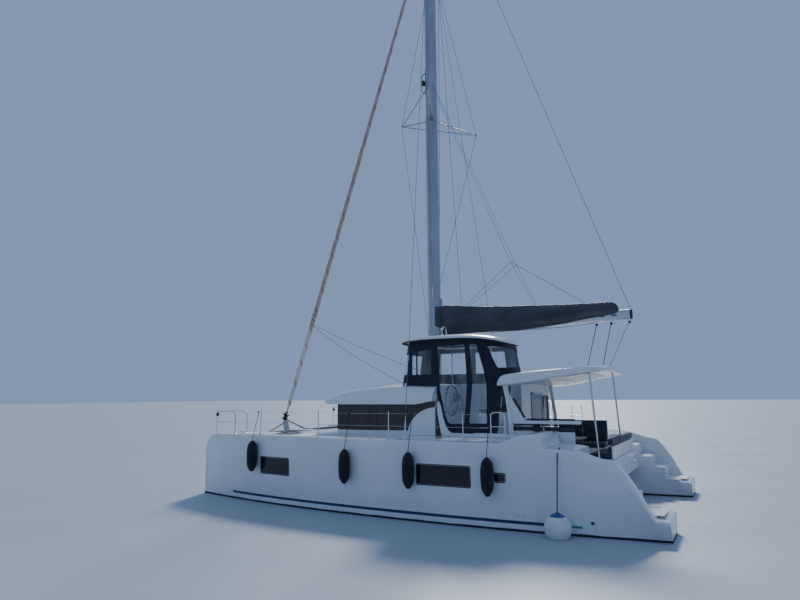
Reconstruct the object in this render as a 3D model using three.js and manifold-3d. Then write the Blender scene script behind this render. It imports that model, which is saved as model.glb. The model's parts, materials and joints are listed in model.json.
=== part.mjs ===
// Cruising catamaran afloat, in millimetres. +X is the bow, +Y is port, +Z is up.
// The origin is on the waterline, on the centreline, half way between bow and stern.
import * as THREE from 'three';
import { mergeVertices } from 'three/addons/utils/BufferGeometryUtils.js';
import Module from 'manifold-3d';

const wasm = await Module();
wasm.setup();

// Hulls
const HULL_LENGTH = 12720;
const HALF_LENGTH = HULL_LENGTH / 2;
const HULL_Y = 2930;
const WATER_HALF = 878;
const DECK_HALF = 905;
const STEM_HALF = 34;
const WIDEST_AT = 0.62;
const DECK_Z = 1780;
const CANOE_DEPTH = 620;
const GAP = 0.3;
const INNER_Y = HULL_Y - DECK_HALF - GAP;

// Bridgedeck and saloon
const SOLE_Z = 1000;
const BRIDGE_BOTTOM = 780;
const BRIDGE_AFT = -5050;
const BRIDGE_FRONT = 3620;
const SHELF_X = 2150;
const WALL_Y = 2200;
const WALL_THICK = 50;
const EAVE_Z = 2570;
const CEILING_Z = 2900;
const ROOF_HALF = 2340;
const BULKHEAD_X = -2600;
const WELL_FRONT = -760;
const WELL_SIDE = 550;
const SEAT_Z = SOLE_Z + 440;
const DOOR_WIDTH = 900;
const DOOR_Y = -1250;
const DOOR_HEIGHT = 1830;

// Helm station
const WHEEL = { x: -1000, y: 1500, z: 2660, radius: 410, rim: 15 };
const HARDTOP = {
  x: -1145, y: 1250, halfLength: 1545, halfWidth: 870, z: 4340, crest: -900, sag: 110, thick: 95,
};
const RING = {
  x: -1190, y: 1250, halfLength: 1400, halfWidth: 750, flare: 0.15, foot: 2940, head: 4220,
};
const HELM_AFT = -2800;
const COAMING_Y = 2299;
const COAMING_TOP = 1890;
const CURTAIN_HEAD = 3100;

// Rig
const MAST = { x: 179, halfChord: 190, halfWidth: 105, foot: 3160, top: 20400 };
const SPREADER_Z = 11400;
const SPREADER_TIP = { x: -770, y: 1869 };
const STRUT_LENGTH = 1078;
const STAY_TOP = { x: 400, z: 17950 };
const STAY_FOOT = { x: 5812, z: 2120 };
const BOOM = { hinge: -75, start: -125, end: -5440, z: 4660, rise: 0.032, halfHeight: 130, halfWidth: 85 };
const BAG = { start: -110, end: -5110 };

// Under water
const KEEL = { x: -350, rootLength: 2700, footLength: 2250, half: 150, foot: -1250 };
const DRIVE_X = -4250;
const PROP = { x: -4520, z: -760, radius: 235 };
const RUDDER = { x: -5640, top: -262, foot: -1140, chord: 560, half: 34 };

const FINISH = {
  gelcoat: { color: 0xd9dde2, roughness: 0.25, metalness: 0 },
  bottom: { color: 0x161b24, roughness: 0.8, metalness: 0 },
  nonskid: { color: 0xc9cdd2, roughness: 0.7, metalness: 0 },
  tinted: { color: 0x1c1720, roughness: 0.06, metalness: 0 },
  clear: { color: 0xc4ccd2, roughness: 0.05, metalness: 0 },
  canvas: { color: 0x141a2a, roughness: 0.85, metalness: 0 },
  cushion: { color: 0x1d2230, roughness: 0.8, metalness: 0 },
  alloy: { color: 0x8f959c, roughness: 0.35, metalness: 0.9 },
  stainless: { color: 0xc7ccd1, roughness: 0.15, metalness: 1 },
  bronze: { color: 0x9b7b45, roughness: 0.35, metalness: 0.9 },
  sailcloth: { color: 0xb3a296, roughness: 0.8, metalness: 0 },
  net: { color: 0x24272c, roughness: 0.9, metalness: 0 },
  wood: { color: 0x6a4a33, roughness: 0.5, metalness: 0 },
  cover: { color: 0x10131f, roughness: 0.9, metalness: 0 },
  buoy: { color: 0xd8dadc, roughness: 0.4, metalness: 0 },
};

const catamaran = new THREE.Group();

function toSolid(geometry) {
  const plain = geometry.clone();
  plain.deleteAttribute('normal');
  plain.deleteAttribute('uv');
  const merged = mergeVertices(plain, 0.001);
  return new wasm.Manifold(new wasm.Mesh({
    numProp: 3,
    vertProperties: new Float32Array(merged.attributes.position.array),
    triVerts: new Uint32Array(merged.index.array),
  }));
}

function toGeometry(solid) {
  const mesh = solid.getMesh();
  const geometry = new THREE.BufferGeometry();
  geometry.setAttribute('position', new THREE.BufferAttribute(new Float32Array(mesh.vertProperties), 3));
  geometry.setIndex(new THREE.BufferAttribute(new Uint32Array(mesh.triVerts), 1));
  geometry.computeVertexNormals();
  return geometry;
}

function add(name, solid, finish) {
  const mesh = new THREE.Mesh(toGeometry(solid), new THREE.MeshStandardMaterial(FINISH[finish]));
  mesh.name = name;
  catamaran.add(mesh);
}

function join(...solids) {
  return solids.reduce((whole, piece) => whole.add(piece));
}

// A box between two corners.
function block(x0, x1, y0, y1, z0, z1) {
  const geometry = new THREE.BoxGeometry(Math.abs(x1 - x0), Math.abs(y1 - y0), Math.abs(z1 - z0));
  geometry.translate((x0 + x1) / 2, (y0 + y1) / 2, (z0 + z1) / 2);
  return toSolid(geometry);
}

function shapeOf(points) {
  return new THREE.Shape(points.map(([a, b]) => new THREE.Vector2(a, b)));
}

// A side profile, given as x and z, that runs athwart from y0 to y1.
function profile(points, y0, y1) {
  const geometry = new THREE.ExtrudeGeometry(shapeOf(points), { depth: y1 - y0, bevelEnabled: false });
  geometry.rotateX(Math.PI / 2);
  geometry.translate(0, y1, 0);
  return toSolid(geometry);
}

// A plan outline, given as x and y, that stands from z0 to z1.
function outline(points, z0, z1) {
  const geometry = new THREE.ExtrudeGeometry(shapeOf(points), { depth: z1 - z0, bevelEnabled: false });
  geometry.translate(0, 0, z0);
  return toSolid(geometry);
}

// A round bar between two points.
function rod(from, to, radius, sides = 8) {
  const a = new THREE.Vector3(...from);
  const b = new THREE.Vector3(...to);
  const geometry = new THREE.CylinderGeometry(radius, radius, a.distanceTo(b), sides);
  const turn = new THREE.Quaternion().setFromUnitVectors(new THREE.Vector3(0, 1, 0), b.clone().sub(a).normalize());
  geometry.applyQuaternion(turn);
  geometry.translate(...a.add(b).multiplyScalar(0.5).toArray());
  return toSolid(geometry);
}

// A bent tube through a list of points.
function bentTube(points, radius, sides = 8, steps = 16) {
  const path = new THREE.CatmullRomCurve3(points.map((p) => new THREE.Vector3(...p)), false, 'centripetal');
  const section = new THREE.Shape();
  section.absarc(0, 0, radius, 0, Math.PI * 2);
  return toSolid(new THREE.ExtrudeGeometry(section, { steps, curveSegments: sides / 2, extrudePath: path }));
}

// A body turned about an upright axis, from a profile of radius and height.
function turned(rows, x, y, z, sides = 16) {
  const geometry = new THREE.LatheGeometry(rows.map(([r, h]) => new THREE.Vector2(r, h)), sides);
  geometry.rotateX(Math.PI / 2);
  geometry.translate(x, y, z);
  return toSolid(geometry);
}

// A skin over a row of sections that have the same number of points, with both ends closed.
function loft(sections) {
  const count = sections[0].length;
  const vertices = sections.flat();
  const triangles = [];
  for (let s = 0; s < sections.length - 1; s += 1) {
    for (let i = 0; i < count; i += 1) {
      const a = s * count + i;
      const b = s * count + (i + 1) % count;
      triangles.push(a, b, b + count, a, b + count, a + count);
    }
  }
  [[0, true], [sections.length - 1, false]].forEach(([s, first]) => {
    const middle = sections[s].reduce((sum, p) => sum.map((v, k) => v + p[k] / count), [0, 0, 0]);
    const centre = vertices.push(middle) - 1;
    for (let i = 0; i < count; i += 1) {
      const a = s * count + i;
      const b = s * count + (i + 1) % count;
      triangles.push(...(first ? [centre, b, a] : [centre, a, b]));
    }
  });
  let volume = 0;
  const [p, q, r] = [new THREE.Vector3(), new THREE.Vector3(), new THREE.Vector3()];
  for (let t = 0; t < triangles.length; t += 3) {
    p.set(...vertices[triangles[t]]);
    q.set(...vertices[triangles[t + 1]]);
    r.set(...vertices[triangles[t + 2]]);
    volume += p.dot(q.cross(r));
  }
  if (volume < 0) {
    triangles.reverse();
  }
  const geometry = new THREE.BufferGeometry();
  geometry.setAttribute('position', new THREE.Float32BufferAttribute(vertices.flat(), 3));
  geometry.setIndex(triangles);
  return toSolid(geometry);
}

// The value at x from a table of [x, value] rows that run from bow to stern.
function along(table, x) {
  const last = table.findIndex(([at]) => at <= x);
  if (last <= 0) {
    return table[last === 0 ? 0 : table.length - 1][1];
  }
  const [x0, v0] = table[last - 1];
  const [x1, v1] = table[last];
  return v0 + (v1 - v0) * (x0 - x) / (x0 - x1);
}

// Half breadth of a hull at x, from its widest half breadth, its bow's fullness and its stern's share.
function halfBreadth(x, widest, fullness, sternShare) {
  const t = (HALF_LENGTH - x) / HULL_LENGTH;
  if (t < WIDEST_AT) {
    return Math.max(STEM_HALF, widest * (1 - (1 - t / WIDEST_AT) ** fullness));
  }
  return widest * (1 - (1 - sternShare) * ((t - WIDEST_AT) / (1 - WIDEST_AT)) ** 2);
}

const waterHalf = (x) => halfBreadth(x, WATER_HALF, 2.3, 0.536);
const deckHalf = (x) => halfBreadth(x, DECK_HALF, 2.9, 0.72);

function canoeDepth(x) {
  return x > 0
    ? CANOE_DEPTH - 270 * (x / HALF_LENGTH) ** 2
    : CANOE_DEPTH - 560 * (-x / HALF_LENGTH) ** 1.8;
}

// Height of the deck edge: x, z. The stern slopes down to the bathing platform.
const SHEER = [
  [6360, 1380], [6300, 1520], [6200, 1640], [6050, 1710], [5800, 1738], [5300, 1745], [4000, DECK_Z],
  [-3050, DECK_Z], [-3330, 1880], [-3550, 1955], [-3820, 1970], [-3920, 1880], [-4010, 1700], [-4500, 1672],
  [-4750, 1625], [-5160, 1505], [-5400, 1462], [-5520, 1350], [-5690, 1125], [-5830, 900], [-5990, 600],
  [-6090, 425], [-6330, 410], [-6360, 380],
];
const STATIONS = [
  ...SHEER.map(([x]) => x), 4800, 3300, 2500, 1700, 800, -200, -1200, -2200,
].sort((a, b) => b - a);

// One cross section of a hull about its own centreline, from the keel up one side and down the other.
function hullSection(x, side) {
  const water = waterHalf(x);
  const deck = deckHalf(x);
  const depth = canoeDepth(x);
  const sheer = along(SHEER, x);
  const edge = Math.min(70, deck * 0.4);
  const half = [
    [0.5 * water, -0.95 * depth], [0.82 * water, -0.66 * depth], [0.95 * water, -0.3 * depth], [water, 0],
    [water + 0.6 * (deck - water), 0.45 * sheer], [deck - 4, 0.8 * sheer], [deck, 0.955 * sheer],
    [deck - edge * 0.3, 0.99 * sheer], [deck - edge, sheer],
  ];
  const section = [[0, -depth], ...half, ...half.toReversed().map(([y, z]) => [-y, z])];
  return section.map(([y, z]) => [x, side * HULL_Y + y, z]);
}

// Steps cut into the stern: forward edge, aft edge, tread height.
const STEPS = [
  [-4620, -5020, 1330],
  [-5020, -5380, 1060],
  [-5380, -5720, 780],
  [-5720, -6500, 470],
];
const STEP_OUTER = 470;

// Hull windows and ports: name of the place, forward end, aft end, bottom, top.
const HULL_WINDOWS = [
  [3740, 2690, 780, 1195],
  [-1130, -2420, 825, 1255],
];
const WINDOW_RECESS = 12;

function makeHull(side) {
  let hull = loft(STATIONS.map((x) => hullSection(x, side)));
  STEPS.forEach(([front, aft, tread]) => {
    const inner = side * (HULL_Y - 1200);
    const outer = side * (HULL_Y + STEP_OUTER);
    hull = hull.subtract(block(aft, front, inner, outer, tread, 2200));
  });
  HULL_WINDOWS.forEach(([front, aft, bottom, top]) => {
    const face = HULL_Y + deckHalf((front + aft) / 2) - WINDOW_RECESS;
    hull = hull.subtract(block(aft, front, side * face, side * (face + 200), bottom, top));
  });
  const bore = rod([RUDDER.x, side * HULL_Y, -600], [RUDDER.x, side * HULL_Y, 100], 26, 16);
  return hull.subtract(bore);
}

const hulls = { port: makeHull(1), starboard: makeHull(-1) };
const SIDES = [['port', 1], ['starboard', -1]];
SIDES.forEach(([name]) => add(`${name}_hull`, hulls[name], 'gelcoat'));

// What is left of a solid outside a hull that is pushed towards it by the running gap.
function clearOfHulls(solid, dx, dy, dz) {
  return solid
    .subtract(hulls.port.translate([dx, -dy, dz]))
    .subtract(hulls.starboard.translate([dx, dy, dz]));
}

// A symmetric foil section: chord along x from its leading edge, half thickness across.
function foil(lead, chord, half, y, z) {
  const rows = [[0, 0], [0.05, 0.55], [0.2, 0.95], [0.35, 1], [0.6, 0.75], [0.85, 0.3], [1, 0.04]];
  const upper = rows.map(([c, h]) => [lead - c * chord, y + h * half, z]);
  const lower = rows.slice(1).toReversed().map(([c, h]) => [lead - c * chord, y - h * half, z]);
  return [...upper, ...lower];
}

SIDES.forEach(([name, side]) => {
  const y = side * HULL_Y;
  const keel = loft([
    foil(KEEL.x + KEEL.rootLength / 2, KEEL.rootLength, KEEL.half, y, -400),
    foil(KEEL.x + KEEL.footLength / 2 + 60, KEEL.footLength, KEEL.half * 0.85, y, KEEL.foot),
  ]);
  add(`${name}_keel`, clearOfHulls(keel, 0, 0, -GAP), 'bottom');

  const leg = loft([
    foil(DRIVE_X + 170, 330, 55, y, -200),
    foil(DRIVE_X + 120, 260, 45, y, PROP.z),
  ]);
  const bulb = new THREE.LatheGeometry([
    [0, -140], [48, -140], [60, -100], [68, 0], [62, 110], [35, 190], [0, 210],
  ].map(([r, h]) => new THREE.Vector2(r, h)), 12);
  bulb.rotateZ(-Math.PI / 2);
  bulb.rotateX(Math.PI / 12);
  bulb.translate(DRIVE_X - 60, y, PROP.z);
  const drive = join(leg, toSolid(bulb), block(DRIVE_X - 117, DRIVE_X + 83, y - 11, y + 11, PROP.z - 240, PROP.z - 7));
  add(`${name}_saildrive`, clearOfHulls(drive, 0, 0, -GAP), 'alloy');

  const rudder = join(
    loft([
      foil(RUDDER.x + 150, RUDDER.chord, RUDDER.half, y, RUDDER.foot),
      foil(RUDDER.x + 150, RUDDER.chord, RUDDER.half, y, RUDDER.top),
    ]),
    rod([RUDDER.x, y, -500], [RUDDER.x, y, 60], 25, 16),
  );
  add(`${name}_rudder`, rudder, 'bottom');
});

// Each propeller has a hub and three blades, and turns about its shaft.
SIDES.forEach(([name, side]) => {
  const y = side * HULL_Y;
  const shaftEnd = DRIVE_X - 200 - GAP;
  let propeller = rod([shaftEnd, y, PROP.z], [PROP.x - 60, y, PROP.z], 42, 12);
  for (let blade = 0; blade < 3; blade += 1) {
    const shape = new THREE.Shape();
    shape.moveTo(-38, 20);
    shape.quadraticCurveTo(-95, 150, 0, PROP.radius);
    shape.quadraticCurveTo(95, 150, 38, 20);
    const geometry = new THREE.ExtrudeGeometry(shape, { depth: 12, bevelEnabled: false, curveSegments: 5 });
    geometry.translate(0, 0, -6);
    geometry.rotateY(side * 0.6 + Math.PI / 2);
    geometry.rotateX(Math.PI / 2 + blade * Math.PI * 2 / 3);
    geometry.translate(PROP.x, y, PROP.z);
    propeller = propeller.add(toSolid(geometry));
  }
  add(`${name}_propeller`, propeller, 'bronze');
});

// Bridgedeck: the sole from the stern beam to the saloon's front, and the foredeck ahead of it.
const BRIDGE_PROFILE = [
  [BRIDGE_AFT, BRIDGE_BOTTOM], [2300, BRIDGE_BOTTOM], [3000, 930], [3400, 1200], [BRIDGE_FRONT, 1560],
  [BRIDGE_FRONT, DECK_Z], [SHELF_X, DECK_Z], [SHELF_X, SOLE_Z], [BRIDGE_AFT, SOLE_Z],
];
add('bridgedeck', clearOfHulls(profile(BRIDGE_PROFILE, -2500, 2500), 0, GAP, 0), 'gelcoat');

// The front of the saloon in plan: an arc through the middle and both corners.
function frontArc(middleX, cornerX, halfWidth, points = 9) {
  const rise = middleX - cornerX;
  return Array.from({ length: points }, (_, i) => {
    const y = halfWidth * (1 - 2 * i / (points - 1));
    return [cornerX + rise * (1 - Math.abs(y / halfWidth) ** 2.4), y];
  });
}

function saloonPlan(inset, aftX) {
  const half = WALL_Y - inset;
  return [[aftX, -half], ...frontArc(2760 - inset, 2150 - inset, half).toReversed(), [aftX, half]];
}

const WALL_TOP = EAVE_Z - GAP;
const CHEEK_AFT = -840;
let walls = outline(saloonPlan(0, -2650), DECK_Z + GAP, WALL_TOP)
  .subtract(outline(saloonPlan(WALL_THICK, -2800), DECK_Z - 1, WALL_TOP + 1));
// Window openings: the front row, then the sides.
walls = walls.subtract(block(2100, 2900, -1900, -980, 1900, 2500));
walls = walls.subtract(block(2100, 2900, -880, -60, 1900, 2500));
walls = walls.subtract(block(2100, 2900, 60, 880, 1900, 2500));
walls = walls.subtract(block(2100, 2900, 980, 1900, 1900, 2500));
walls = walls.subtract(block(1160, 1980, -2300, 2300, 1900, 2500));
walls = walls.subtract(block(220, 1040, -2300, 2300, 1900, 2500));
// The port wall stops at the helm station with a rounded cheek.
walls = walls.subtract(block(-2700, CHEEK_AFT, 1500, 2300, 1700, 2600));
// Bulkheads round the helm well and across the back of the saloon.
const helmFront = block(WELL_FRONT, WELL_FRONT + WALL_THICK, WELL_SIDE, WALL_Y - 20, DECK_Z + GAP, WALL_TOP);
const helmFrontUpper = block(WELL_FRONT, WELL_FRONT + WALL_THICK, WELL_SIDE, 1990, DECK_Z + GAP, CEILING_Z - GAP);
const helmSide = block(BULKHEAD_X, WELL_FRONT + WALL_THICK, WELL_SIDE - WALL_THICK, WELL_SIDE,
  SOLE_Z + GAP, CEILING_Z - GAP);
const bulkhead = block(BULKHEAD_X, BULKHEAD_X + WALL_THICK, -INNER_Y, WELL_SIDE, SOLE_Z + GAP, CEILING_Z - GAP);
const bulkheadWing = block(BULKHEAD_X, BULKHEAD_X + WALL_THICK, -WALL_Y, -2000, DECK_Z + GAP, WALL_TOP);
const doorTrack = block(BULKHEAD_X - 40, BULKHEAD_X + 1, DOOR_Y - 50, WELL_SIDE, SOLE_Z + GAP, SOLE_Z + 12 - GAP);
const doorway = block(BULKHEAD_X - 50, BULKHEAD_X + 100, DOOR_Y, DOOR_Y + DOOR_WIDTH, SOLE_Z + 12, SOLE_Z + DOOR_HEIGHT);
walls = join(
  walls.subtract(block(-2700, BULKHEAD_X, -2300, 2300, 1700, 2700)),
  helmFront, helmFrontUpper, helmSide, bulkhead, bulkheadWing, doorTrack,
).subtract(doorway);
walls = walls.subtract(block(BULKHEAD_X - 50, BULKHEAD_X + 100, -2000, DOOR_Y - 100, 1900, 2750));

// Dark glazing: one band round the outside of the front and sides. A white cheek with a rounded
// front covers its aft end, so that only a narrow strip goes on above it.
const CHEEK = [
  [-1200, 1700], [-60, 1700], [-60, 1900], [-130, 2090], [-250, 2240], [-420, 2370], [-600, 2450], [-1200, 2530],
];
function glazingBand(thick, bottom, top) {
  const outer = outline(saloonPlan(-thick - GAP, CHEEK_AFT), bottom, top);
  return outer.subtract(outline(saloonPlan(-GAP, -1300), bottom - 1, top + 1)).subtract(profile(CHEEK, -2400, 2400));
}
add('saloon_glazing', glazingBand(12, 1880, WALL_TOP - GAP), 'tinted');

add('saloon_door', block(BULKHEAD_X - 30, BULKHEAD_X - 6, DOOR_Y - 40, DOOR_Y + DOOR_WIDTH + 40,
  SOLE_Z + 12, SOLE_Z + DOOR_HEIGHT + 30), 'tinted');

// Roof of the saloon: a crowned shell with a deep eave. Columns: x, eave height, shoulder height, crown height.
const ROOF_ROWS = [
  [3060, EAVE_Z + 40, 2700, 2720],
  [2850, EAVE_Z, 2760, 2800],
  [2400, EAVE_Z, 2850, 2920],
  [1700, EAVE_Z, 2960, 3040],
  [900, EAVE_Z, 3050, 3110],
  [0, EAVE_Z, 3065, 3130],
  [-700, EAVE_Z, 2970, 3110],
  [BULKHEAD_X + GAP, EAVE_Z, 2970, 3100],
];
function roofSection([x, eave, shoulder, crown], inset) {
  const half = ROOF_HALF - inset;
  const rows = [
    [half, eave], [half, eave + 110], [half - 130, shoulder - 90], [half - 420, shoulder - 10], [half * 0.4, crown - 12],
  ];
  return [...rows, [0, crown], ...rows.toReversed().map(([y, z]) => [-y, z])].map(([y, z]) => [x, y, z]);
}
const roofPlan = [
  [-2700, -ROOF_HALF - 10], ...frontArc(3060, 2480, ROOF_HALF + 10).toReversed(), [-2700, ROOF_HALF + 10],
];
const roofHollow = join(
  profile([[-2800, 2400], [2080, 2400], [2080, 2640], [1800, 2760], [-2800, 2760]], -2120, 2120),
  profile([[-2800, 2700], [1900, 2700], [1500, 2820], [1100, CEILING_Z], [-2800, CEILING_Z]], -1850, 1850),
);
const roofHollowFront = outline(saloonPlan(110, -2800), 2400, 2640);
const roof = loft(ROOF_ROWS.map((row) => roofSection(row, 0)))
  .intersect(outline(roofPlan, 2400, 3300))
  .subtract(roofHollowFront)
  .subtract(roofHollow)
  .subtract(block(-2700, WELL_FRONT - 60, WELL_SIDE, 2500, 2400, 3300));
add('saloon_roof', roof, 'gelcoat');
add('saloon_walls', walls.subtract(roof.translate([0, 0, -GAP])), 'gelcoat');

// Furniture seen through the glass.
add('saloon_seat', join(
  block(300, 1900, -1950, -1350, SOLE_Z + GAP, SEAT_Z),
  block(1300, 1900, -1950, 300, SOLE_Z + GAP, SEAT_Z),
  block(1880, 2100, -1950, 300, SOLE_Z + GAP, 1740),
), 'cushion');
add('saloon_table', join(
  block(350, 1150, -1200, -250, SOLE_Z + 700, SOLE_Z + 730),
  rod([750, -700, SOLE_Z + GAP], [750, -700, SOLE_Z + 710], 45, 10),
), 'wood');
add('galley_unit', join(
  block(-600, 1200, 1400, INNER_Y, SOLE_Z + GAP, 1740),
  block(-600, -100, 700, 1450, SOLE_Z + GAP, 1740),
), 'nonskid');

// Helm station: floor, side coaming and console in one moulding.
const RING_FOOT = CURTAIN_HEAD - 10;
const LEAN = (COAMING_Y - (RING.y + RING.halfWidth)) / (RING_FOOT - COAMING_TOP);
// A profile that leans inboard above the coaming's top.
function leaningProfile(points, y0, y1) {
  const geometry = new THREE.ExtrudeGeometry(shapeOf(points), { depth: y1 - y0, bevelEnabled: false });
  geometry.rotateX(Math.PI / 2);
  geometry.translate(0, y1, -COAMING_TOP);
  geometry.applyMatrix4(new THREE.Matrix4().makeShear(0, 0, 0, 0, 0, -LEAN));
  geometry.translate(0, 0, COAMING_TOP);
  return toSolid(geometry);
}
const helmCoaming = join(
  profile([[-1060, DECK_Z + GAP], [-1035, COAMING_TOP], [-1900, COAMING_TOP], [-2980, COAMING_TOP - 20],
    [-2980, DECK_Z + GAP]], COAMING_Y - 50, COAMING_Y),
  leaningProfile([
    [-1035, COAMING_TOP - 1], [-924, 2257], [-860, 2530], [-850, 2640], [-905, 2664], [-977, 2528], [-1063, 2259],
    [-1147, 2074], [-1251, 1918], [-1290, COAMING_TOP - 1],
  ], COAMING_Y - 50, COAMING_Y),
);
const helmBase = block(HELM_AFT, WELL_FRONT - GAP, WELL_SIDE + GAP, INNER_Y, SOLE_Z + GAP, DECK_Z + 20);
const helmFloor = join(
  block(HELM_AFT, WELL_FRONT - GAP, WELL_SIDE + GAP, 2100, DECK_Z + GAP, DECK_Z + 20),
  block(HELM_AFT, -1060, 2000, COAMING_Y, DECK_Z + GAP, DECK_Z + 20),
);
const helmConsole = profile([
  [WELL_FRONT - 60 - GAP, DECK_Z + 10], [WELL_FRONT - 60 - GAP, 3060], [WELL_FRONT - 150, 3080],
  [WELL_FRONT - 190, 2980], [WELL_FRONT - 150, 2300], [WELL_FRONT - 220, DECK_Z + 10],
], WELL_SIDE + 80, 1900);
const wheelBoss = rod([WELL_FRONT - 100, WHEEL.y, WHEEL.z], [WHEEL.x + 40 + GAP, WHEEL.y, WHEEL.z], 60, 12);
add('helm_moulding', join(helmCoaming, helmBase, helmFloor, helmConsole, wheelBoss), 'gelcoat');

add('helm_seat', join(
  block(-2350, -1900, 800, 1820, DECK_Z + 20 + GAP, 2350),
  block(-2350, -1850, 780, 1840, 2350 - 1, 2470),
  profile([[-2360, 2400], [-2230, 2400], [-2330, 3060], [-2430, 3060]], 780, 1840),
), 'cushion');

function makeWheel() {
  const rim = new THREE.TorusGeometry(WHEEL.radius - WHEEL.rim, WHEEL.rim, 8, 28);
  rim.rotateY(Math.PI / 2);
  rim.translate(WHEEL.x, WHEEL.y, WHEEL.z);
  let wheel = join(toSolid(rim), rod([WHEEL.x - 30, WHEEL.y, WHEEL.z], [WHEEL.x + 40, WHEEL.y, WHEEL.z], 55, 12));
  for (let spoke = 0; spoke < 6; spoke += 1) {
    const angle = spoke * Math.PI / 3;
    const reach = WHEEL.radius - WHEEL.rim;
    const tip = [WHEEL.x, WHEEL.y + reach * Math.sin(angle), WHEEL.z + reach * Math.cos(angle)];
    wheel = wheel.add(rod([WHEEL.x, WHEEL.y, WHEEL.z], tip, 9, 6));
  }
  return wheel;
}
add('helm_wheel', makeWheel(), 'stainless');

// Rounded outline of the hardtop or the ring of canvas under it, drawn in from its edge by inset.
function roundedPlan(shape, inset, stretch = 1) {
  return Array.from({ length: 28 }, (_, i) => {
    const angle = (i + 0.5) * Math.PI / 14;
    const [c, s] = [Math.cos(angle), Math.sin(angle)];
    const power = 0.45;
    return [
      shape.x + (shape.halfLength - inset) * stretch * Math.sign(c) * Math.abs(c) ** power,
      shape.y + (shape.halfWidth - inset) * Math.sign(s) * Math.abs(s) ** power,
    ];
  });
}
// The hardtop sags towards its front and back edges.
function hardtopHeight(x) {
  const share = (x - HARDTOP.crest) / HARDTOP.halfLength;
  return HARDTOP.z - HARDTOP.sag * Math.abs(share) ** 3;
}
function hardtopLayer(inset, dz) {
  return roundedPlan(HARDTOP, inset).map(([x, y]) => [x, y, hardtopHeight(x) + dz]);
}
const hardtop = loft([
  hardtopLayer(60, -HARDTOP.thick), hardtopLayer(0, -HARDTOP.thick * 0.6), hardtopLayer(30, -20),
  hardtopLayer(200, 22), hardtopLayer(700, 45),
]);
add('helm_hardtop', hardtop, 'gelcoat');

// Posts and rail that carry the hardtop. Columns: x, y, foot height.
const POSTS = [
  [-640, 1880, 2940], [-1620, 1880, DECK_Z + 20 + GAP], [-2250, 1880, DECK_Z + 20 + GAP],
  [-640, 620, 3060],
];
const RAIL_Z = 4100;
const railCorners = [[-500, 1880], [-2250, 1880], [-2250, 620], [-500, 620]];
let frame = railCorners.map((corner, i) => {
  const next = railCorners[(i + 1) % railCorners.length];
  return rod([...corner, RAIL_Z], [...next, RAIL_Z], 18);
}).reduce((whole, piece) => whole.add(piece));
railCorners.forEach(([x, y]) => {
  frame = frame.add(rod([x, y, RAIL_Z - 30], [x, y, hardtopHeight(x) - HARDTOP.thick - 4], 26));
});
POSTS.forEach(([x, y, foot]) => {
  frame = frame.add(rod([x, y, foot], [x, y, RAIL_Z], 19));
});
add('helm_frame', frame.subtract(hardtop.translate([0, 0, -GAP])).subtract(roof.translate([0, 0, GAP])), 'stainless');

// Cockpit roof: cambered, and narrower towards its rounded aft end. Columns: x, half width, under edge, top edge.
const COCKPIT_ROOF = [
  [-2600, 2420, 3010, 3120], [-2680, 2420, 3018, 3250], [-2900, 2420, 3030, 3295], [-3420, 2360, 3090, 3345],
  [-4100, 2120, 3220, 3400], [-4600, 1860, 3290, 3430], [-4800, 1660, 3315, 3425], [-4880, 1400, 3345, 3405],
];
const cockpitRoof = loft(COCKPIT_ROOF.map(([x, half, under, top]) => {
  const side = [
    [half - 60, under], [half, under + 0.35 * (top - under)], [half - 70, top], [half * 0.55, top + 58],
  ];
  return [[0, under + 50], ...side, [0, top + 85], ...side.toReversed().map(([y, z]) => [-y, z])]
    .map(([y, z]) => [x, y, z]);
}));
add('cockpit_roof', cockpitRoof, 'gelcoat');
// Canvas enclosure of the helm: walls that lean out towards their foot, with windows cut out and
// a clear wall just inside them. The port side goes on down to the coaming.
function enclosureShell(inset) {
  const foot = roundedPlan(RING, inset, 1 + RING.flare).map(([x, y]) => [x, y, RING.foot]);
  const head = roundedPlan(RING, inset).map(([x, y]) => [x, y, RING.head]);
  return loft([foot, head]);
}
const curtainProfile = [
  [-2520, COAMING_TOP + 1], [-1300, COAMING_TOP + 1], [-1262, 1912], [-1156, 2080], [-1071, 2265], [-985, 2536],
  [-912, 2674], [-845, 2650], [-845, CURTAIN_HEAD], [-2520, CURTAIN_HEAD],
];
function enclosureWall(inset, thick) {
  const ring = enclosureShell(inset).subtract(enclosureShell(inset + thick));
  const curtain = leaningProfile(curtainProfile, COAMING_Y - inset - thick, COAMING_Y - inset);
  return ring
    .subtract(block(-2550, -840, 600, 3000, 2900, RING_FOOT))
    .subtract(block(-3400, -2550, 0, 3000, 2900, 3060))
    .add(curtain)
    .subtract(hardtop.translate([0, 0, -GAP]))
    .subtract(cockpitRoof.translate([0, 0, GAP]))
    .subtract(roof.translate([0, 0, GAP]));
}
// Windows of the canvas on the port side, as x and z.
const PORT_WINDOWS = [
  [[-200, 3330], [-70, 3330], [-70, 3950], [-200, 3970]],
  [[-660, 3325], [-235, 3330], [-235, 3965], [-660, 3980]],
  [[-1620, 2090], [-1300, 2090], [-1200, 2140], [-1120, 2320], [-1026, 2585], [-900, 2930], [-850, 3300], [-830, 4040],
    [-1600, 4060]],
  [[-2250, 2100], [-1800, 2100], [-1750, 4060], [-1930, 4060], [-2110, 3430]],
  [[-2780, 3470], [-2480, 3450], [-2210, 4010], [-2700, 3960]],
];
const ringSide = RING.y + RING.halfWidth;
const ledge = block(-2515, -2000, ringSide - 190, ringSide - 2, RING_FOOT + 2, RING_FOOT + 8);
let canvas = enclosureWall(0, 10).add(ledge.subtract(enclosureShell(0)));
PORT_WINDOWS.forEach((points) => {
  canvas = canvas.subtract(profile(points, 1700, 3000));
});
canvas = canvas.subtract(block(-2200, -400, 0, 900, 3290, 3960));
canvas = canvas.subtract(block(-3400, 500, 700, 1800, 3450, 3900));
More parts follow.
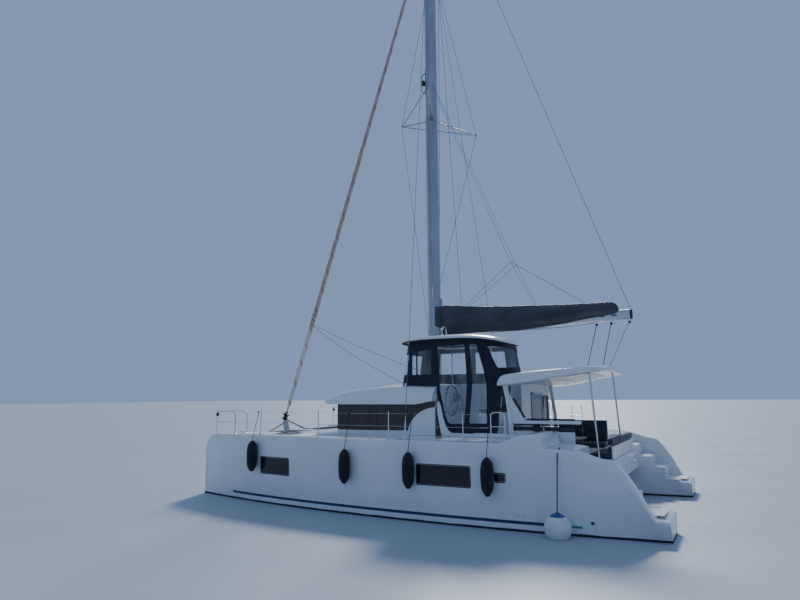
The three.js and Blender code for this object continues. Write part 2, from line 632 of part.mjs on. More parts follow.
const largest = (solid) => solid.decompose().sort((a, b) => b.volume() - a.volume())[0];
add('helm_enclosure', largest(canvas), 'canvas');
const clearWall = enclosureWall(10 + GAP, 5).subtract(canvas.translate([0, -GAP, 0]));
add('helm_windows', largest(clearWall), 'clear');

SIDES.forEach(([name, side]) => {
  const foot = [-4747, side * 1560, SOLE_Z + GAP];
  const post = join(
    rod([foot[0], foot[1], foot[2] + 4], [-4600, side * 1560, 3420], 24),
    rod(foot, [foot[0], foot[1], foot[2] + 10], 36, 10),
  );
  const clear = clearOfHulls(post.subtract(cockpitRoof.translate([0, 0, -GAP])), 0, 0, GAP);
  add(`${name}_roof_post`, largest(clear), 'stainless');
});

// Cockpit seats and table.
add('cockpit_aft_seat', join(
  block(-5040, -4480, -1500, 1500, SOLE_Z + GAP, SEAT_Z),
  block(-5040, -4900, -1500, 1500, SEAT_Z - 1, 1780),
), 'cushion');
add('cockpit_port_seat', join(
  block(-4300, HELM_AFT - GAP, 1450, INNER_Y, SOLE_Z + GAP, SEAT_Z),
  block(-4300, HELM_AFT - GAP, 1900, INNER_Y, SEAT_Z - 1, 2060),
), 'cushion');
add('cockpit_starboard_seat', join(
  block(-4300, -2900, -INNER_Y, -1450, SOLE_Z + GAP, SEAT_Z),
  block(-4300, -2900, -INNER_Y, -1900, SEAT_Z - 1, 2060),
), 'cushion');
add('cockpit_table', join(
  block(-4200, -3200, 250, 1250, SOLE_Z + 700, SOLE_Z + 730),
  rod([-3700, 750, SOLE_Z + GAP], [-3700, 750, SOLE_Z + 710], 50, 10),
), 'wood');

// Bow: crossbeam with its strut, walkway, nets and anchor.
const BEAM = { x: 5700, z: 1560, radius: 90 };
const beam = join(
  rod([BEAM.x, -2900, BEAM.z], [BEAM.x, 2900, BEAM.z], BEAM.radius, 14),
  rod([BEAM.x, -1100, BEAM.z + 60], [BEAM.x + 10, 0, BEAM.z + 420], 28),
  rod([BEAM.x, 1100, BEAM.z + 60], [BEAM.x + 10, 0, BEAM.z + 420], 28),
  block(BEAM.x - 60, BEAM.x + 200, -45, 45, BEAM.z, BEAM.z + 440),
  block(BEAM.x - 80, BEAM.x + 210, -50, -36, BEAM.z - 210, BEAM.z),
  block(BEAM.x - 80, BEAM.x + 210, 36, 50, BEAM.z - 210, BEAM.z),
  rod([BEAM.x + 180, -45, BEAM.z - 185], [BEAM.x + 180, 45, BEAM.z - 185], 20),
);
add('forward_crossbeam', clearOfHulls(beam, 0, GAP, 0), 'alloy');
const WALKWAY = { half: 190, bottom: 1655, top: 1700 };
add('walkway', join(
  block(BRIDGE_FRONT + GAP, BEAM.x - 62, -WALKWAY.half, WALKWAY.half, WALKWAY.bottom, WALKWAY.top),
  block(BRIDGE_FRONT + GAP, BEAM.x - 95, -60, 60, 1500, WALKWAY.bottom + 1),
), 'gelcoat');
SIDES.forEach(([name, side]) => {
  const inner = side * (WALKWAY.half + GAP);
  const rows = [BRIDGE_FRONT + GAP, 4100, 4600, 5100, BEAM.x - 110];
  const edge = rows.map((x) => [x, side * (HULL_Y - deckHalf(x) - 25)]);
  const points = [[rows[0], inner], ...edge, [rows.at(-1), inner]];
  add(`${name}_net`, outline(side > 0 ? points.toReversed() : points, 1664, 1682), 'net');
});
const SHANK_Z = BEAM.z - 185 + 20 + GAP;
add('anchor', join(
  block(BEAM.x - 520, BEAM.x + 300, -14, 14, SHANK_Z, SHANK_Z + 60),
  profile([[6000, SHANK_Z + 60], [5960, SHANK_Z - 40], [6130, SHANK_Z - 260], [6200, SHANK_Z - 250], [6060, SHANK_Z + 20]],
    -14, 14),
  loft([
    [[6010, -20, SHANK_Z - 20], [6010, 20, SHANK_Z - 20], [6030, 20, SHANK_Z - 40], [6030, -20, SHANK_Z - 40]],
    [[6110, -170, SHANK_Z - 190], [6110, 170, SHANK_Z - 190], [6135, 170, SHANK_Z - 200], [6135, -170, SHANK_Z - 200]],
    [[6170, -20, SHANK_Z - 330], [6170, 20, SHANK_Z - 330], [6190, 20, SHANK_Z - 330], [6190, -20, SHANK_Z - 330]],
  ]),
), 'stainless');

// Guardrails: a pulpit at the bow, posts, and two wires along each side.
const RAIL_POSTS = [3850, 1750, -350, -2250];
const RAIL_HEIGHT = 640;
SIDES.forEach(([name, side]) => {
  const edgeY = (x) => side * (HULL_Y + Math.max(40, deckHalf(x) - 95));
  const top = (x) => along(SHEER, x) + RAIL_HEIGHT;
  const inboard = side * (HULL_Y - 190);
  let rail = bentTube([
    [5000, edgeY(5000), along(SHEER, 5000)], [5010, edgeY(5000), top(5000) - 60], [5300, edgeY(5300), top(5300)],
    [5950, side * (HULL_Y + 60), top(5950)], [5980, side * HULL_Y, top(5950)], [5950, side * (HULL_Y - 60), top(5950)],
    [5300, inboard, top(5300)], [5010, inboard, top(5000) - 60], [5000, inboard, along(SHEER, 5000)],
  ], 14, 6, 24);
  rail = rail.add(rod([5950, side * (HULL_Y + 60), 1600], [5950, side * (HULL_Y + 60), top(5950)], 13));
  const posts = [5005, ...RAIL_POSTS];
  posts.slice(1).forEach((x) => {
    rail = rail.add(rod([x, edgeY(x), along(SHEER, x)], [x, edgeY(x), top(x)], 13));
  });
  posts.slice(1).forEach((x, i) => {
    const from = posts[i];
    [40, 330].forEach((drop) => {
      rail = rail.add(rod([from, edgeY(from), top(from) - drop], [x, edgeY(x), top(x) - drop], 5, 6));
    });
  });
  const end = posts.at(-1);
  rail = join(
    rail,
    rod([end, edgeY(end), top(end) - 40], [-2900, edgeY(-2900), top(-2900) - 40], 5, 6),
    rod([end, edgeY(end), top(end) - 330], [-2900, edgeY(-2900), top(-2900) - 330], 5, 6),
    bentTube([
      [-2900, edgeY(-2900), DECK_Z], [-2900, edgeY(-2900), top(-2900) - 60], [-2960, edgeY(-2900), top(-2900)],
      [-3160, edgeY(-2900), top(-2900)], [-3220, edgeY(-2900), top(-2900) - 60], [-3220, edgeY(-2900), DECK_Z + 120],
    ], 13, 6, 14),
  );
  add(`${name}_guardrail`, rail.subtract(hulls[name].translate([0, 0, GAP])), 'stainless');
});

// Mast with its bracing: two swept spreaders, one strut ahead and three pairs of wires.
function mastOutline(z) {
  return Array.from({ length: 14 }, (_, i) => {
    const angle = i * Math.PI / 7;
    return [MAST.x + MAST.halfChord * Math.cos(angle), MAST.halfWidth * Math.sin(angle), z];
  });
}
const mast = join(
  loft([mastOutline(MAST.foot), mastOutline(MAST.top)]),
  block(MAST.x - 330, MAST.x + 330, -60, 60, MAST.top - 40, MAST.top + 20),
);
add('mast', mast, 'alloy');

// Bracing wires: tip, foot on the mast, head on the mast.
const BRACING = [
  { tip: [MAST.x + SPREADER_TIP.x, SPREADER_TIP.y, SPREADER_Z + 60], foot: [MAST.x, 60, 5600], head: [MAST.x, 60, 17300] },
  { tip: [MAST.x + SPREADER_TIP.x, -SPREADER_TIP.y, SPREADER_Z + 60], foot: [MAST.x, -60, 5600], head: [MAST.x, -60, 17300] },
  { tip: [MAST.x + STRUT_LENGTH, 0, SPREADER_Z + 40], foot: [MAST.x + 180, 0, 4500], head: [MAST.x + 180, 0, 15500] },
];
let bracing = null;
BRACING.forEach(({ tip, foot, head }) => {
  const pieces = join(
    rod([MAST.x, 0, SPREADER_Z], tip, 34),
    rod(foot, tip, 6, 6),
    rod(tip, head, 6, 6),
  );
  bracing = bracing ? bracing.add(pieces) : pieces;
});
const collar = loft([mastOutline(SPREADER_Z - 90), mastOutline(SPREADER_Z + 90)].map((ring) => ring.map(([x, y, z]) => [
  MAST.x + (x - MAST.x) * 1.08, y * 1.12, z,
])));
const slimmerMast = loft([mastOutline(3000), mastOutline(MAST.top)].map((ring) => ring.map(([x, y, z]) => [
  MAST.x + (x - MAST.x) * 1.002, y * 1.004, z,
])));
add('mast_bracing', join(bracing, collar).subtract(slimmerMast), 'alloy');

SIDES.forEach(([name, side]) => {
  const foot = [-720, side * (HULL_Y + 700), DECK_Z + GAP];
  const shroud = rod(foot, [MAST.x, side * 90, 18000], 8, 6);
  add(`${name}_shroud`, shroud.subtract(slimmerMast).subtract(hulls[name].translate([0, 0, GAP])), 'stainless');
});

// Furled headsail on its stay, and the drum below it. Columns: share of the length, radius.
const SAIL_ROWS = [[0.01182, 30], [0.03, 62], [0.12, 72], [0.5, 66], [0.9, 48], [0.955, 30], [0.995, 12]];
const stayFoot = new THREE.Vector3(STAY_FOOT.x, 0, STAY_FOOT.z);
const stayTop = new THREE.Vector3(STAY_TOP.x, 0, STAY_TOP.z);
const stayLine = stayTop.clone().sub(stayFoot);
const stayAcross = new THREE.Vector3(0, 1, 0);
const stayFront = stayAcross.clone().cross(stayLine.clone().normalize());
function stayRing(share, radius, sides = 10) {
  const centre = stayFoot.clone().addScaledVector(stayLine, share);
  return Array.from({ length: sides }, (_, i) => {
    const angle = i * Math.PI * 2 / sides;
    return centre.clone()
      .addScaledVector(stayAcross, radius * Math.cos(angle))
      .addScaledVector(stayFront, radius * Math.sin(angle)).toArray();
  });
}
add('furled_headsail', loft(SAIL_ROWS.map(([share, radius]) => stayRing(share, radius))).subtract(slimmerMast), 'sailcloth');
const drum = loft([[-0.0076, 30], [-0.006, 105], [-0.0035, 112], [-0.001, 70], [0.005, 70], [0.007, 108], [0.0095, 100],
  [0.0118, 40]].map(([share, radius]) => stayRing(share, radius, 14)));
add('headsail_furler', drum.subtract(beam.translate([0, 0, GAP])), 'stainless');

// Boom and the folded mainsail in its bag.
function boomZ(x) {
  return BOOM.z + (BOOM.start - x) * BOOM.rise;
}
function boomSection(x) {
  return Array.from({ length: 12 }, (_, i) => {
    const angle = i * Math.PI / 6;
    return [x, BOOM.halfWidth * Math.cos(angle), boomZ(x) + BOOM.halfHeight * Math.sin(angle)];
  });
}
const PIN_RADIUS = 12;
const boom = join(
  loft([boomSection(BOOM.start), boomSection(BOOM.end)]),
  block(BOOM.start - 20, BOOM.hinge, -14, 14, BOOM.z - 38, BOOM.z + 38),
  rod([BOOM.hinge, 0, BOOM.z - 38], [BOOM.hinge, 0, BOOM.z + 38], 26, 12),
).subtract(rod([BOOM.hinge, 0, BOOM.z - 60], [BOOM.hinge, 0, BOOM.z + 60], PIN_RADIUS + 1, 16));
add('boom', boom, 'alloy');
// Bag sections: x, half width, height of its top, lower edge of the flap down the boom's side.
const BAG_ROWS = [
  [BAG.start, 25, 5455, 4810], [-250, 95, 5440, 4560], [-560, 165, 5410, 4565], [-1730, 205, 5300, 4572],
  [-2990, 210, 5240, 4610], [-3600, 195, 5210, 4660], [-4310, 180, 5185, 4765], [-4900, 140, 5180, 4835],
  [BAG.end, 100, 5060, 4880],
];
const bagBase = (x) => boomZ(Math.min(x, BOOM.start)) + BOOM.halfHeight + GAP;
const bagBody = loft(BAG_ROWS.map(([x, half, top]) => {
  const base = bagBase(x);
  const height = top - base;
  return [[half * 0.7, 0], [half, height * 0.3], [half * 0.75, height * 0.75], [half * 0.2, height],
    [-half * 0.2, height], [-half * 0.75, height * 0.75], [-half, height * 0.3], [-half * 0.7, 0],
  ].map(([y, z]) => [x, y, base + z]);
}));
// The flaps hang clear of the boom, from the bag's sides to just above its under side.
const bagFlaps = [1, -1].map((side) => loft(BAG_ROWS.slice(1).map(([x, half, top, low]) => {
  const inner = BOOM.halfWidth + GAP + 2;
  const outer = Math.max(inner + 12, half * 0.72);
  const head = bagBase(x) + 0.2 * (top - bagBase(x));
  return [[inner, low], [inner + 12, low], [outer, head], [inner * 0.9, head]].map(([y, z]) => [x, side * y, z]);
})));
const boomRoom = loft([-150, BAG.end - 100].map((x) => {
  const half = BOOM.halfWidth + GAP;
  const top = boomZ(x) + BOOM.halfHeight + GAP;
  return [[half, 4300], [half, top], [-half, top], [-half, 4300]].map(([y, z]) => [x, y, z]);
}));
add('sail_bag', join(bagBody, ...bagFlaps.map((flap) => flap.subtract(boomRoom))), 'canvas');
const mastAft = MAST.x - MAST.halfChord;
add('gooseneck', join(
  block(mastAft - 34, mastAft + 30, -35, 35, BOOM.z - 60, BOOM.z + 60),
  block(BOOM.hinge - 20, mastAft, -35, 35, BOOM.z - 60, BOOM.z - 45),
  block(BOOM.hinge - 20, mastAft, -35, 35, BOOM.z + 45, BOOM.z + 60),
  rod([BOOM.hinge, 0, BOOM.z - 50], [BOOM.hinge, 0, BOOM.z + 50], PIN_RADIUS, 16),
).subtract(slimmerMast), 'alloy');

// Fenders that hang against the port side: x and height of their middle.
const FENDERS = [[3940, 1220], [760, 1130], [-990, 1130], [-2870, 1090]];
const FENDER_ROWS = [[0, -410], [60, -380], [125, -270], [145, -60], [145, 100], [115, 300], [50, 390], [0, 410]];
FENDERS.forEach(([x, z], i) => {
  const near = turned(FENDER_ROWS, x, HULL_Y + deckHalf(x) + 150, z, 12);
  const seat = near.minGap(hulls.port, 100) - GAP;
  add(`fender_${i + 1}`, near.translate([0, -seat, 0]), 'cover');
});
const buoy = new THREE.SphereGeometry(285, 14, 10);
buoy.translate(-4330, HULL_Y + waterHalf(-4330) + 298, 200);
add('ball_fender', toSolid(buoy), 'buoy');

// Lids: bow lockers, the anchor locker and the engine rooms.
SIDES.forEach(([name, side]) => {
  const y = side * HULL_Y;
  add(`${name}_bow_hatch`, block(3000, 3560, y - 260, y + 260, DECK_Z + GAP, DECK_Z + 40), 'tinted');
  add(`${name}_engine_hatch`, block(-5000, -4650, y - side * 540, y + side * 430, 1330 + GAP, 1360), 'nonskid');
});
add('anchor_locker_lid', block(2950, 3450, -320, 320, DECK_Z + GAP, DECK_Z + 30), 'nonskid');

export default catamaran;
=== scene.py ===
import json
import math

import bmesh
import bpy
from mathutils import Matrix, Vector, geometry, noise


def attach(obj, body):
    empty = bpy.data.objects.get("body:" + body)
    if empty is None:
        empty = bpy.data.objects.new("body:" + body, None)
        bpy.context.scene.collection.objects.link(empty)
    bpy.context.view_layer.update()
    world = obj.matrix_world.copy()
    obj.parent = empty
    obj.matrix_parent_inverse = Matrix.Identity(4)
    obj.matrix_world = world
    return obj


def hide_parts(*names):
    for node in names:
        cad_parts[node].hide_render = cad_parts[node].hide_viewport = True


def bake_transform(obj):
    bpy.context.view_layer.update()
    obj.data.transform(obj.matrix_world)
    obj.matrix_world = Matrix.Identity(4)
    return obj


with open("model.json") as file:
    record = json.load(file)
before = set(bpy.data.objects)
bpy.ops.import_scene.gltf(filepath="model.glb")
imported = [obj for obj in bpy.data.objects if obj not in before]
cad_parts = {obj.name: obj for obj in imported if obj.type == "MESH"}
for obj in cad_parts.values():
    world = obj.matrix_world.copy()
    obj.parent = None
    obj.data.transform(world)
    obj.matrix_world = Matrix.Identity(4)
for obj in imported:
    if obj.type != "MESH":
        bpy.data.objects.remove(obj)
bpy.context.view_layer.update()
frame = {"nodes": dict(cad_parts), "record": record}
nodes = frame["nodes"]
print("frame loaded with", len(nodes), "nodes")


# Puts new data into the scene as an object
def addObject(name, data):
    obj = bpy.data.objects.new(name, data)
    bpy.context.collection.objects.link(obj)
    return obj


# Camera: place in metres, angles in degrees, focal length in pixels of a frame 800 px wide
cameraView = {
    "place": (-7.677, 16.464, 2.816),
    "heading": 28.79,
    "tilt": 8.86,
    "roll": -0.40,
    "focal": 608.2,
    "frameWidth": 800,
}


def makeCamera():
    heading, tilt, roll = (math.radians(cameraView[k]) for k in ("heading", "tilt", "roll"))
    ahead = Vector((
        math.sin(heading) * math.cos(tilt),
        -math.cos(heading) * math.cos(tilt),
        math.sin(tilt),
    ))
    level = Vector((ahead.y, -ahead.x, 0)).normalized()
    upright = level.cross(ahead)
    right = level * math.cos(roll) + upright * math.sin(roll)
    up = upright * math.cos(roll) - level * math.sin(roll)
    data = bpy.data.cameras.new("photo_camera")
    data.sensor_width = 36
    data.lens = cameraView["focal"] / cameraView["frameWidth"] * data.sensor_width
    data.clip_end = 2000
    camera = addObject("photo_camera", data)
    turn = Matrix((right, up, -ahead)).transposed().to_4x4()
    camera.matrix_world = Matrix.Translation(cameraView["place"]) @ turn
    bpy.context.scene.camera = camera


makeCamera()


# One socket of a node tree, so that maths on it reads as an expression
class Value:
    def __init__(self, graph, socket):
        self.graph = graph
        self.socket = socket

    def out(self, key):
        return Value(self.graph, self.socket.node.outputs[key])

    def maths(self, operation, first, second):
        return self.graph.node("ShaderNodeMath", {"operation": operation}, [first, second])

    def __add__(self, other):
        return self.maths("ADD", self, other)

    def __radd__(self, other):
        return self.maths("ADD", other, self)

    def __sub__(self, other):
        return self.maths("SUBTRACT", self, other)

    def __rsub__(self, other):
        return self.maths("SUBTRACT", other, self)

    def __mul__(self, other):
        return self.maths("MULTIPLY", self, other)

    def __rmul__(self, other):
        return self.maths("MULTIPLY", other, self)

    def __lt__(self, other):
        return self.maths("LESS_THAN", self, other)


# A node tree that is built in Python
class Graph:
    def __init__(self, tree):
        self.tree = tree

    def feed(self, socket, value):
        if isinstance(value, Value):
            self.tree.links.new(value.socket, socket)
        elif isinstance(value, (tuple, list)) and len(value) == 3 and socket.type == "RGBA":
            socket.default_value = (*value, 1)
        else:
            socket.default_value = value

    def node(self, kind, settings=None, inputs=()):
        made = self.tree.nodes.new(kind)
        for key, setting in (settings or {}).items():
            if key == "stops":
                self.setStops(made.color_ramp, setting)
            else:
                setattr(made, key, setting)
        pairs = inputs.items() if isinstance(inputs, dict) else enumerate(inputs)
        for key, value in pairs:
            self.feed(made.inputs[key], value)
        return Value(self, made.outputs[0]) if len(made.outputs) else None

    def setStops(self, ramp, stops):
        while len(ramp.elements) < len(stops):
            ramp.elements.new(0.5)
        for element, (place, tone) in zip(ramp.elements, stops):
            element.position = place
            element.color = (tone, tone, tone, 1) if isinstance(tone, (int, float)) else (*tone, 1)


# A material round the standard shader, with the noises and ramps that feed it
class Finish(Graph):
    def __init__(self, name, base, roughness, metallic=0.0, **constants):
        self.material = bpy.data.materials.new(name)
        self.material.use_nodes = True
        super().__init__(self.material.node_tree)
        self.shader = self.tree.nodes["Principled BSDF"]
        self.set("Base Color", base)
        self.set("Roughness", roughness)
        self.set("Metallic", metallic)
        for key, value in constants.items():
            self.set(key.replace("_", " "), value)
        self.where = self.node("ShaderNodeTexCoord").out("Object")

    def set(self, key, value):
        self.feed(self.shader.inputs[key], value)

    def axis(self, name):
        return self.node("ShaderNodeSeparateXYZ", {}, [self.where]).out(name)

    def uv(self, name):
        place = self.node("ShaderNodeTexCoord").out("UV")
        return self.node("ShaderNodeSeparateXYZ", {}, [place]).out(name)

    def noise(self, scale, detail=3, stretch=(1, 1, 1), where=None):
        place = self.node("ShaderNodeMapping", {}, {"Vector": where or self.where, "Scale": stretch})
        return self.node(
            "ShaderNodeTexNoise", {}, {"Vector": place, "Scale": scale, "Detail": detail},
        ).out("Fac")

    def ramp(self, value, stops):
        return self.node("ShaderNodeValToRGB", {"stops": stops}, [value])

    # Clouds of noise that drive one input of the shader through a ramp
    def cloud(self, key, scale, detail, stops, stretch=(1, 1, 1)):
        self.set(key, self.ramp(self.noise(scale, detail, stretch), stops))

    def sine(self, value):
        return self.node("ShaderNodeMath", {"operation": "SINE"}, [value])

    def band(self, value, low, high, soft):
        rise = self.node(
            "ShaderNodeMapRange", {}, {"Value": value, "From Min": low - soft, "From Max": low + soft},
        )
        fall = self.node(
            "ShaderNodeMapRange", {}, {"Value": value, "From Min": high - soft, "From Max": high + soft},
        )
        return rise - fall

    def mix(self, share, first, second):
        return self.node("ShaderNodeMix", {"data_type": "RGBA"}, {0: share, 6: first, 7: second}).out(2)

    def bump(self, height, strength, distance):
        settings = {"Height": height, "Strength": strength, "Distance": distance}
        self.set("Normal", self.node("ShaderNodeBump", {}, settings))

    # Darker and lighter clouds over the base colour, and a little change of gloss
    def weather(self, dark, light, scale, roughLow, roughHigh):
        clouds = self.noise(scale, 5)
        tone = self.ramp(clouds, [(0.3, dark), (0.7, light)])
        self.set("Base Color", tone)
        gloss = self.node("ShaderNodeMapRange", {}, {
            "Value": self.noise(scale * 3.1, 4), "From Min": 0.3, "From Max": 0.7,
            "To Min": roughLow, "To Max": roughHigh,
        })
        self.set("Roughness", gloss)
        return tone


# Crossing threads of a cloth
def weave(finish, pitch, strength, distance, place=None):
    split = finish.node("ShaderNodeSeparateXYZ", {}, [place or finish.where])
    turn = 2 * math.pi / pitch
    ridges = [finish.sine(split.out(axis) * turn) for axis in ("X", "Y", "Z")]
    finish.bump(ridges[0] * ridges[2] + ridges[1] * 0.5, strength, distance)


# Weathered finishes: name, base, roughness and metallic, other constants,
# dark tone, light tone, scale and roughness range, scale, detail, strength and depth of the bump
weathered = {
    "gelcoat": (
        ("gelcoat", (0.8, 0.82, 0.84), 0.2), {"Coat_Weight": 0.35, "Coat_Roughness": 0.05},
        ((0.76, 0.78, 0.795), (0.83, 0.845, 0.855), 1.4, 0.16, 0.3), (60, 2, 0.05, 0.002),
    ),
    "bottomPaint": (
        ("bottom_paint", (0.02, 0.025, 0.04), 0.85), {},
        ((0.012, 0.016, 0.028), (0.035, 0.04, 0.045), 5, 0.7, 0.95), (90, 4, 0.3, 0.003),
    ),
    "boomPaint": (
        ("boom_alloy", (0.55, 0.57, 0.6), 0.35, 0.35), {},
        ((0.5, 0.52, 0.55), (0.62, 0.64, 0.66), 4, 0.28, 0.42), None,
    ),
    "zinc": (
        ("galvanised", (0.45, 0.46, 0.47), 0.5, 0.8), {},
        ((0.32, 0.33, 0.34), (0.5, 0.51, 0.52), 12, 0.4, 0.65), (60, 4, 0.3, 0.002),
    ),
    "bronze": (
        ("bronze", (0.5, 0.37, 0.17), 0.35, 0.9), {},
        ((0.38, 0.29, 0.16), (0.56, 0.42, 0.2), 9, 0.28, 0.5), None,
    ),
    "legPaint": (
        ("drive_paint", (0.1, 0.11, 0.13), 0.5), {},
        ((0.07, 0.08, 0.095), (0.13, 0.14, 0.16), 8, 0.4, 0.6), (70, 3, 0.2, 0.002),
    ),
    "whiteVinyl": (
        ("white_vinyl", (0.78, 0.79, 0.8), 0.35), {"Coat_Weight": 0.2},
        ((0.68, 0.69, 0.69), (0.82, 0.83, 0.84), 6, 0.28, 0.5), (35, 4, 0.15, 0.003),
    ),
    "blueVinyl": (
        ("blue_vinyl", (0.02, 0.07, 0.28), 0.4), {"Coat_Weight": 0.2},
        ((0.015, 0.05, 0.2), (0.03, 0.09, 0.32), 8, 0.32, 0.5), None,
    ),
    "black": (
        ("black_trim", (0.015, 0.015, 0.018), 0.45), {},
        ((0.011, 0.011, 0.014), (0.024, 0.024, 0.028), 10, 0.35, 0.55), None,
    ),
    "netRope": (
        ("net_rope", (0.05, 0.052, 0.058), 0.85), {},
        ((0.035, 0.036, 0.042), (0.08, 0.082, 0.09), 20, 0.75, 0.92), None,
    ),
}
# Woven cloths: name, base and roughness, sheen and its roughness, noise, ramp of the base colour, weave
cloths = {
    "canvas": (
        ("canvas", (0.014, 0.017, 0.034), 0.88), (0.08, 0.4), (2.3, 5),
        [(0.3, (0.01, 0.013, 0.026)), (0.72, (0.021, 0.026, 0.047))], (1, 1, 1), (0.0022, 0.35, 0.0006),
    ),
    "bagCloth": (
        ("bag_cloth", (0.06, 0.064, 0.078), 0.9), (0.3, 0.35), (1.6, 6),
        [(0.3, (0.038, 0.041, 0.053)), (0.75, (0.1, 0.106, 0.125))], (0.5, 1, 1.6), (0.0022, 0.35, 0.0006),
    ),
    "seatCloth": (
        ("seat_cloth", (0.05, 0.055, 0.07), 0.85), (0.3, 0.35), (6, 5),
        [(0.3, (0.028, 0.032, 0.05)), (0.7, (0.055, 0.06, 0.08))], (1, 1, 1), (0.003, 0.4, 0.0008),
    ),
    "paleCloth": (
        ("pale_cloth", (0.6, 0.58, 0.54), 0.85), (0.2, 0.4), (5, 5),
        [(0.3, (0.5, 0.48, 0.44)), (0.7, (0.64, 0.62, 0.58))], (1, 1, 1), (0.003, 0.4, 0.0008),
    ),
}


def makeFinishes():
    made = {}
    for key, (start, constants, wear, relief) in weathered.items():
        made[key] = Finish(*start, **constants)
        made[key].weather(*wear)
        if relief:
            scale, detail, strength, depth = relief
            made[key].bump(made[key].noise(scale, detail), strength, depth)
    for key, (start, sheen, clouds, stops, stretch, threads) in cloths.items():
        made[key] = Finish(*start, Sheen_Weight=sheen[0], Sheen_Roughness=sheen[1])
        made[key].cloud("Base Color", *clouds, stops, stretch)
        weave(made[key], *threads)
    made["canvas"].cloud("Roughness", 9, 3, [(0.3, 0.8), (0.7, 0.95)])

    # Hull: boot stripe, dark bottom paint below the waterline and a faint water stain above it
    paint = Finish("hull_paint", (0.8, 0.82, 0.84), 0.2, Coat_Weight=0.35, Coat_Roughness=0.05)
    height = paint.axis("Z")
    length = paint.axis("X")
    topside = paint.ramp(paint.noise(1.2, 5), [(0.3, (0.76, 0.78, 0.795)), (0.7, (0.83, 0.845, 0.855))])
    streaks = paint.noise(3, 4, (3, 3, 0.35))
    stain = paint.band(height, -0.5, 0.36, 0.22) * paint.ramp(streaks, [(0.45, 0.0), (0.8, 0.35)])
    topside = paint.mix(stain, topside, (0.56, 0.54, 0.47))
    stripe = paint.band(height, 0.15, 0.215, 0.002) * paint.band(length, -4.35, 4.96, 0.004)
    tip = paint.band(height, 0.155, 0.2, 0.002) * paint.band(length, -4.74, -4.36, 0.004)
    topside = paint.mix(stripe, topside, (0.018, 0.035, 0.11))
    topside = paint.mix(tip, topside, (0.05, 0.33, 0.2))
    waterline = paint.noise(2.2, 3) * 0.03 + height
    below = waterline < 0.062
    growth = paint.ramp(paint.noise(7, 6), [(0.35, (0.012, 0.016, 0.028)), (0.75, (0.03, 0.036, 0.04))])
    paint.set("Base Color", paint.mix(below, topside, growth))
    paint.set("Roughness", below * 0.6 + 0.2)
    paint.set("Coat Weight", 0.35 - below * 0.35)
    paint.bump(paint.noise(45, 2), 0.05, 0.002)
    made["hullPaint"] = paint

    # Moulded non-skid: a fine diamond pattern
    grip = Finish("non_skid", (0.7, 0.715, 0.73), 0.62)
    grip.weather((0.66, 0.675, 0.69), (0.74, 0.75, 0.76), 2.5, 0.5, 0.7)
    cells = grip.node(
        "ShaderNodeTexVoronoi", {"feature": "DISTANCE_TO_EDGE"}, {"Vector": grip.where, "Scale": 160},
    )
    grip.bump(cells, 0.5, 0.002)
    made["nonSkid"] = grip

    tinted = Finish("tinted_acrylic", (0.026, 0.013, 0.016), 0.05, Alpha=0.9, IOR=1.49, Coat_Weight=0.5)
    tinted.cloud("Base Color", 0.8, 2, [(0.35, (0.024, 0.012, 0.016)), (0.7, (0.04, 0.02, 0.022))])
    tinted.bump(tinted.noise(2.5, 1), 0.06, 0.01)
    made["tinted"] = tinted

    # Thin roof hatches and hull windows: dark and opaque
    smoke = Finish("smoked_acrylic", (0.014, 0.01, 0.026), 0.09, IOR=1.42, Coat_Weight=0.1)
    smoke.cloud("Base Color", 1.1, 2, [(0.35, (0.011, 0.008, 0.022)), (0.7, (0.022, 0.015, 0.034))])
    smoke.bump(smoke.noise(3, 1), 0.08, 0.01)
    made["smoked"] = smoke

    vinyl = Finish("clear_vinyl", (0.72, 0.78, 0.84), 0.08, IOR=1.45, Coat_Weight=0.4)
    ripples = vinyl.noise(5, 3, (1.4, 1.4, 0.25))
    vinyl.cloud("Alpha", 3.2, 4, [(0.35, 0.05), (0.8, 0.2)], (1.5, 1.5, 0.4))
    vinyl.set("Roughness", vinyl.ramp(ripples, [(0.3, 0.06), (0.8, 0.16)]))
    vinyl.bump(ripples, 0.5, 0.02)
    made["vinyl"] = vinyl

    # Headsail cover: tan strip that winds up the roll, paler below, from the piece's own attributes, with
    # painted shade along the edge where each wrap overlaps the next
    sail = Finish("sail_cloth", (0.6, 0.5, 0.44), 0.8, Sheen_Weight=0.15)
    lap = sail.node("ShaderNodeAttribute", {"attribute_name": "lap"}).out("Fac")
    cream = sail.node("ShaderNodeAttribute", {"attribute_name": "cream"}).out("Fac")
    tan = sail.ramp(sail.noise(4, 5), [(0.3, (0.42, 0.3, 0.25)), (0.72, (0.55, 0.42, 0.36))])
    pale = sail.ramp(sail.noise(4, 5), [(0.3, (0.62, 0.58, 0.5)), (0.72, (0.74, 0.7, 0.62))])
    cloth = sail.mix(cream, tan, pale)
    # painted shade: dark brown along the overlapping edge of each wrap
    sail.set("Base Color", sail.mix(lap, cloth, (0.28, 0.21, 0.18)))
    weave(sail, 0.002, 0.25, 0.0005)
    made["sailCloth"] = sail

    alloy = Finish("mast_alloy", (0.42, 0.44, 0.47), 0.38, 0.85)
    alloy.cloud("Base Color", 3, 5, [(0.3, (0.34, 0.36, 0.39)), (0.7, (0.48, 0.5, 0.53))], (1, 1, 0.15))
    alloy.cloud("Roughness", 14, 4, [(0.3, 0.3), (0.7, 0.46)], (1, 1, 0.1))
    made["alloy"] = alloy

    steel = Finish("stainless", (0.7, 0.71, 0.72), 0.16, 1.0)
    steel.cloud("Base Color", 9, 4, [(0.3, (0.6, 0.61, 0.62)), (0.7, (0.76, 0.77, 0.78))])
    steel.cloud("Roughness", 30, 3, [(0.3, 0.1), (0.75, 0.26)])
    made["steel"] = steel

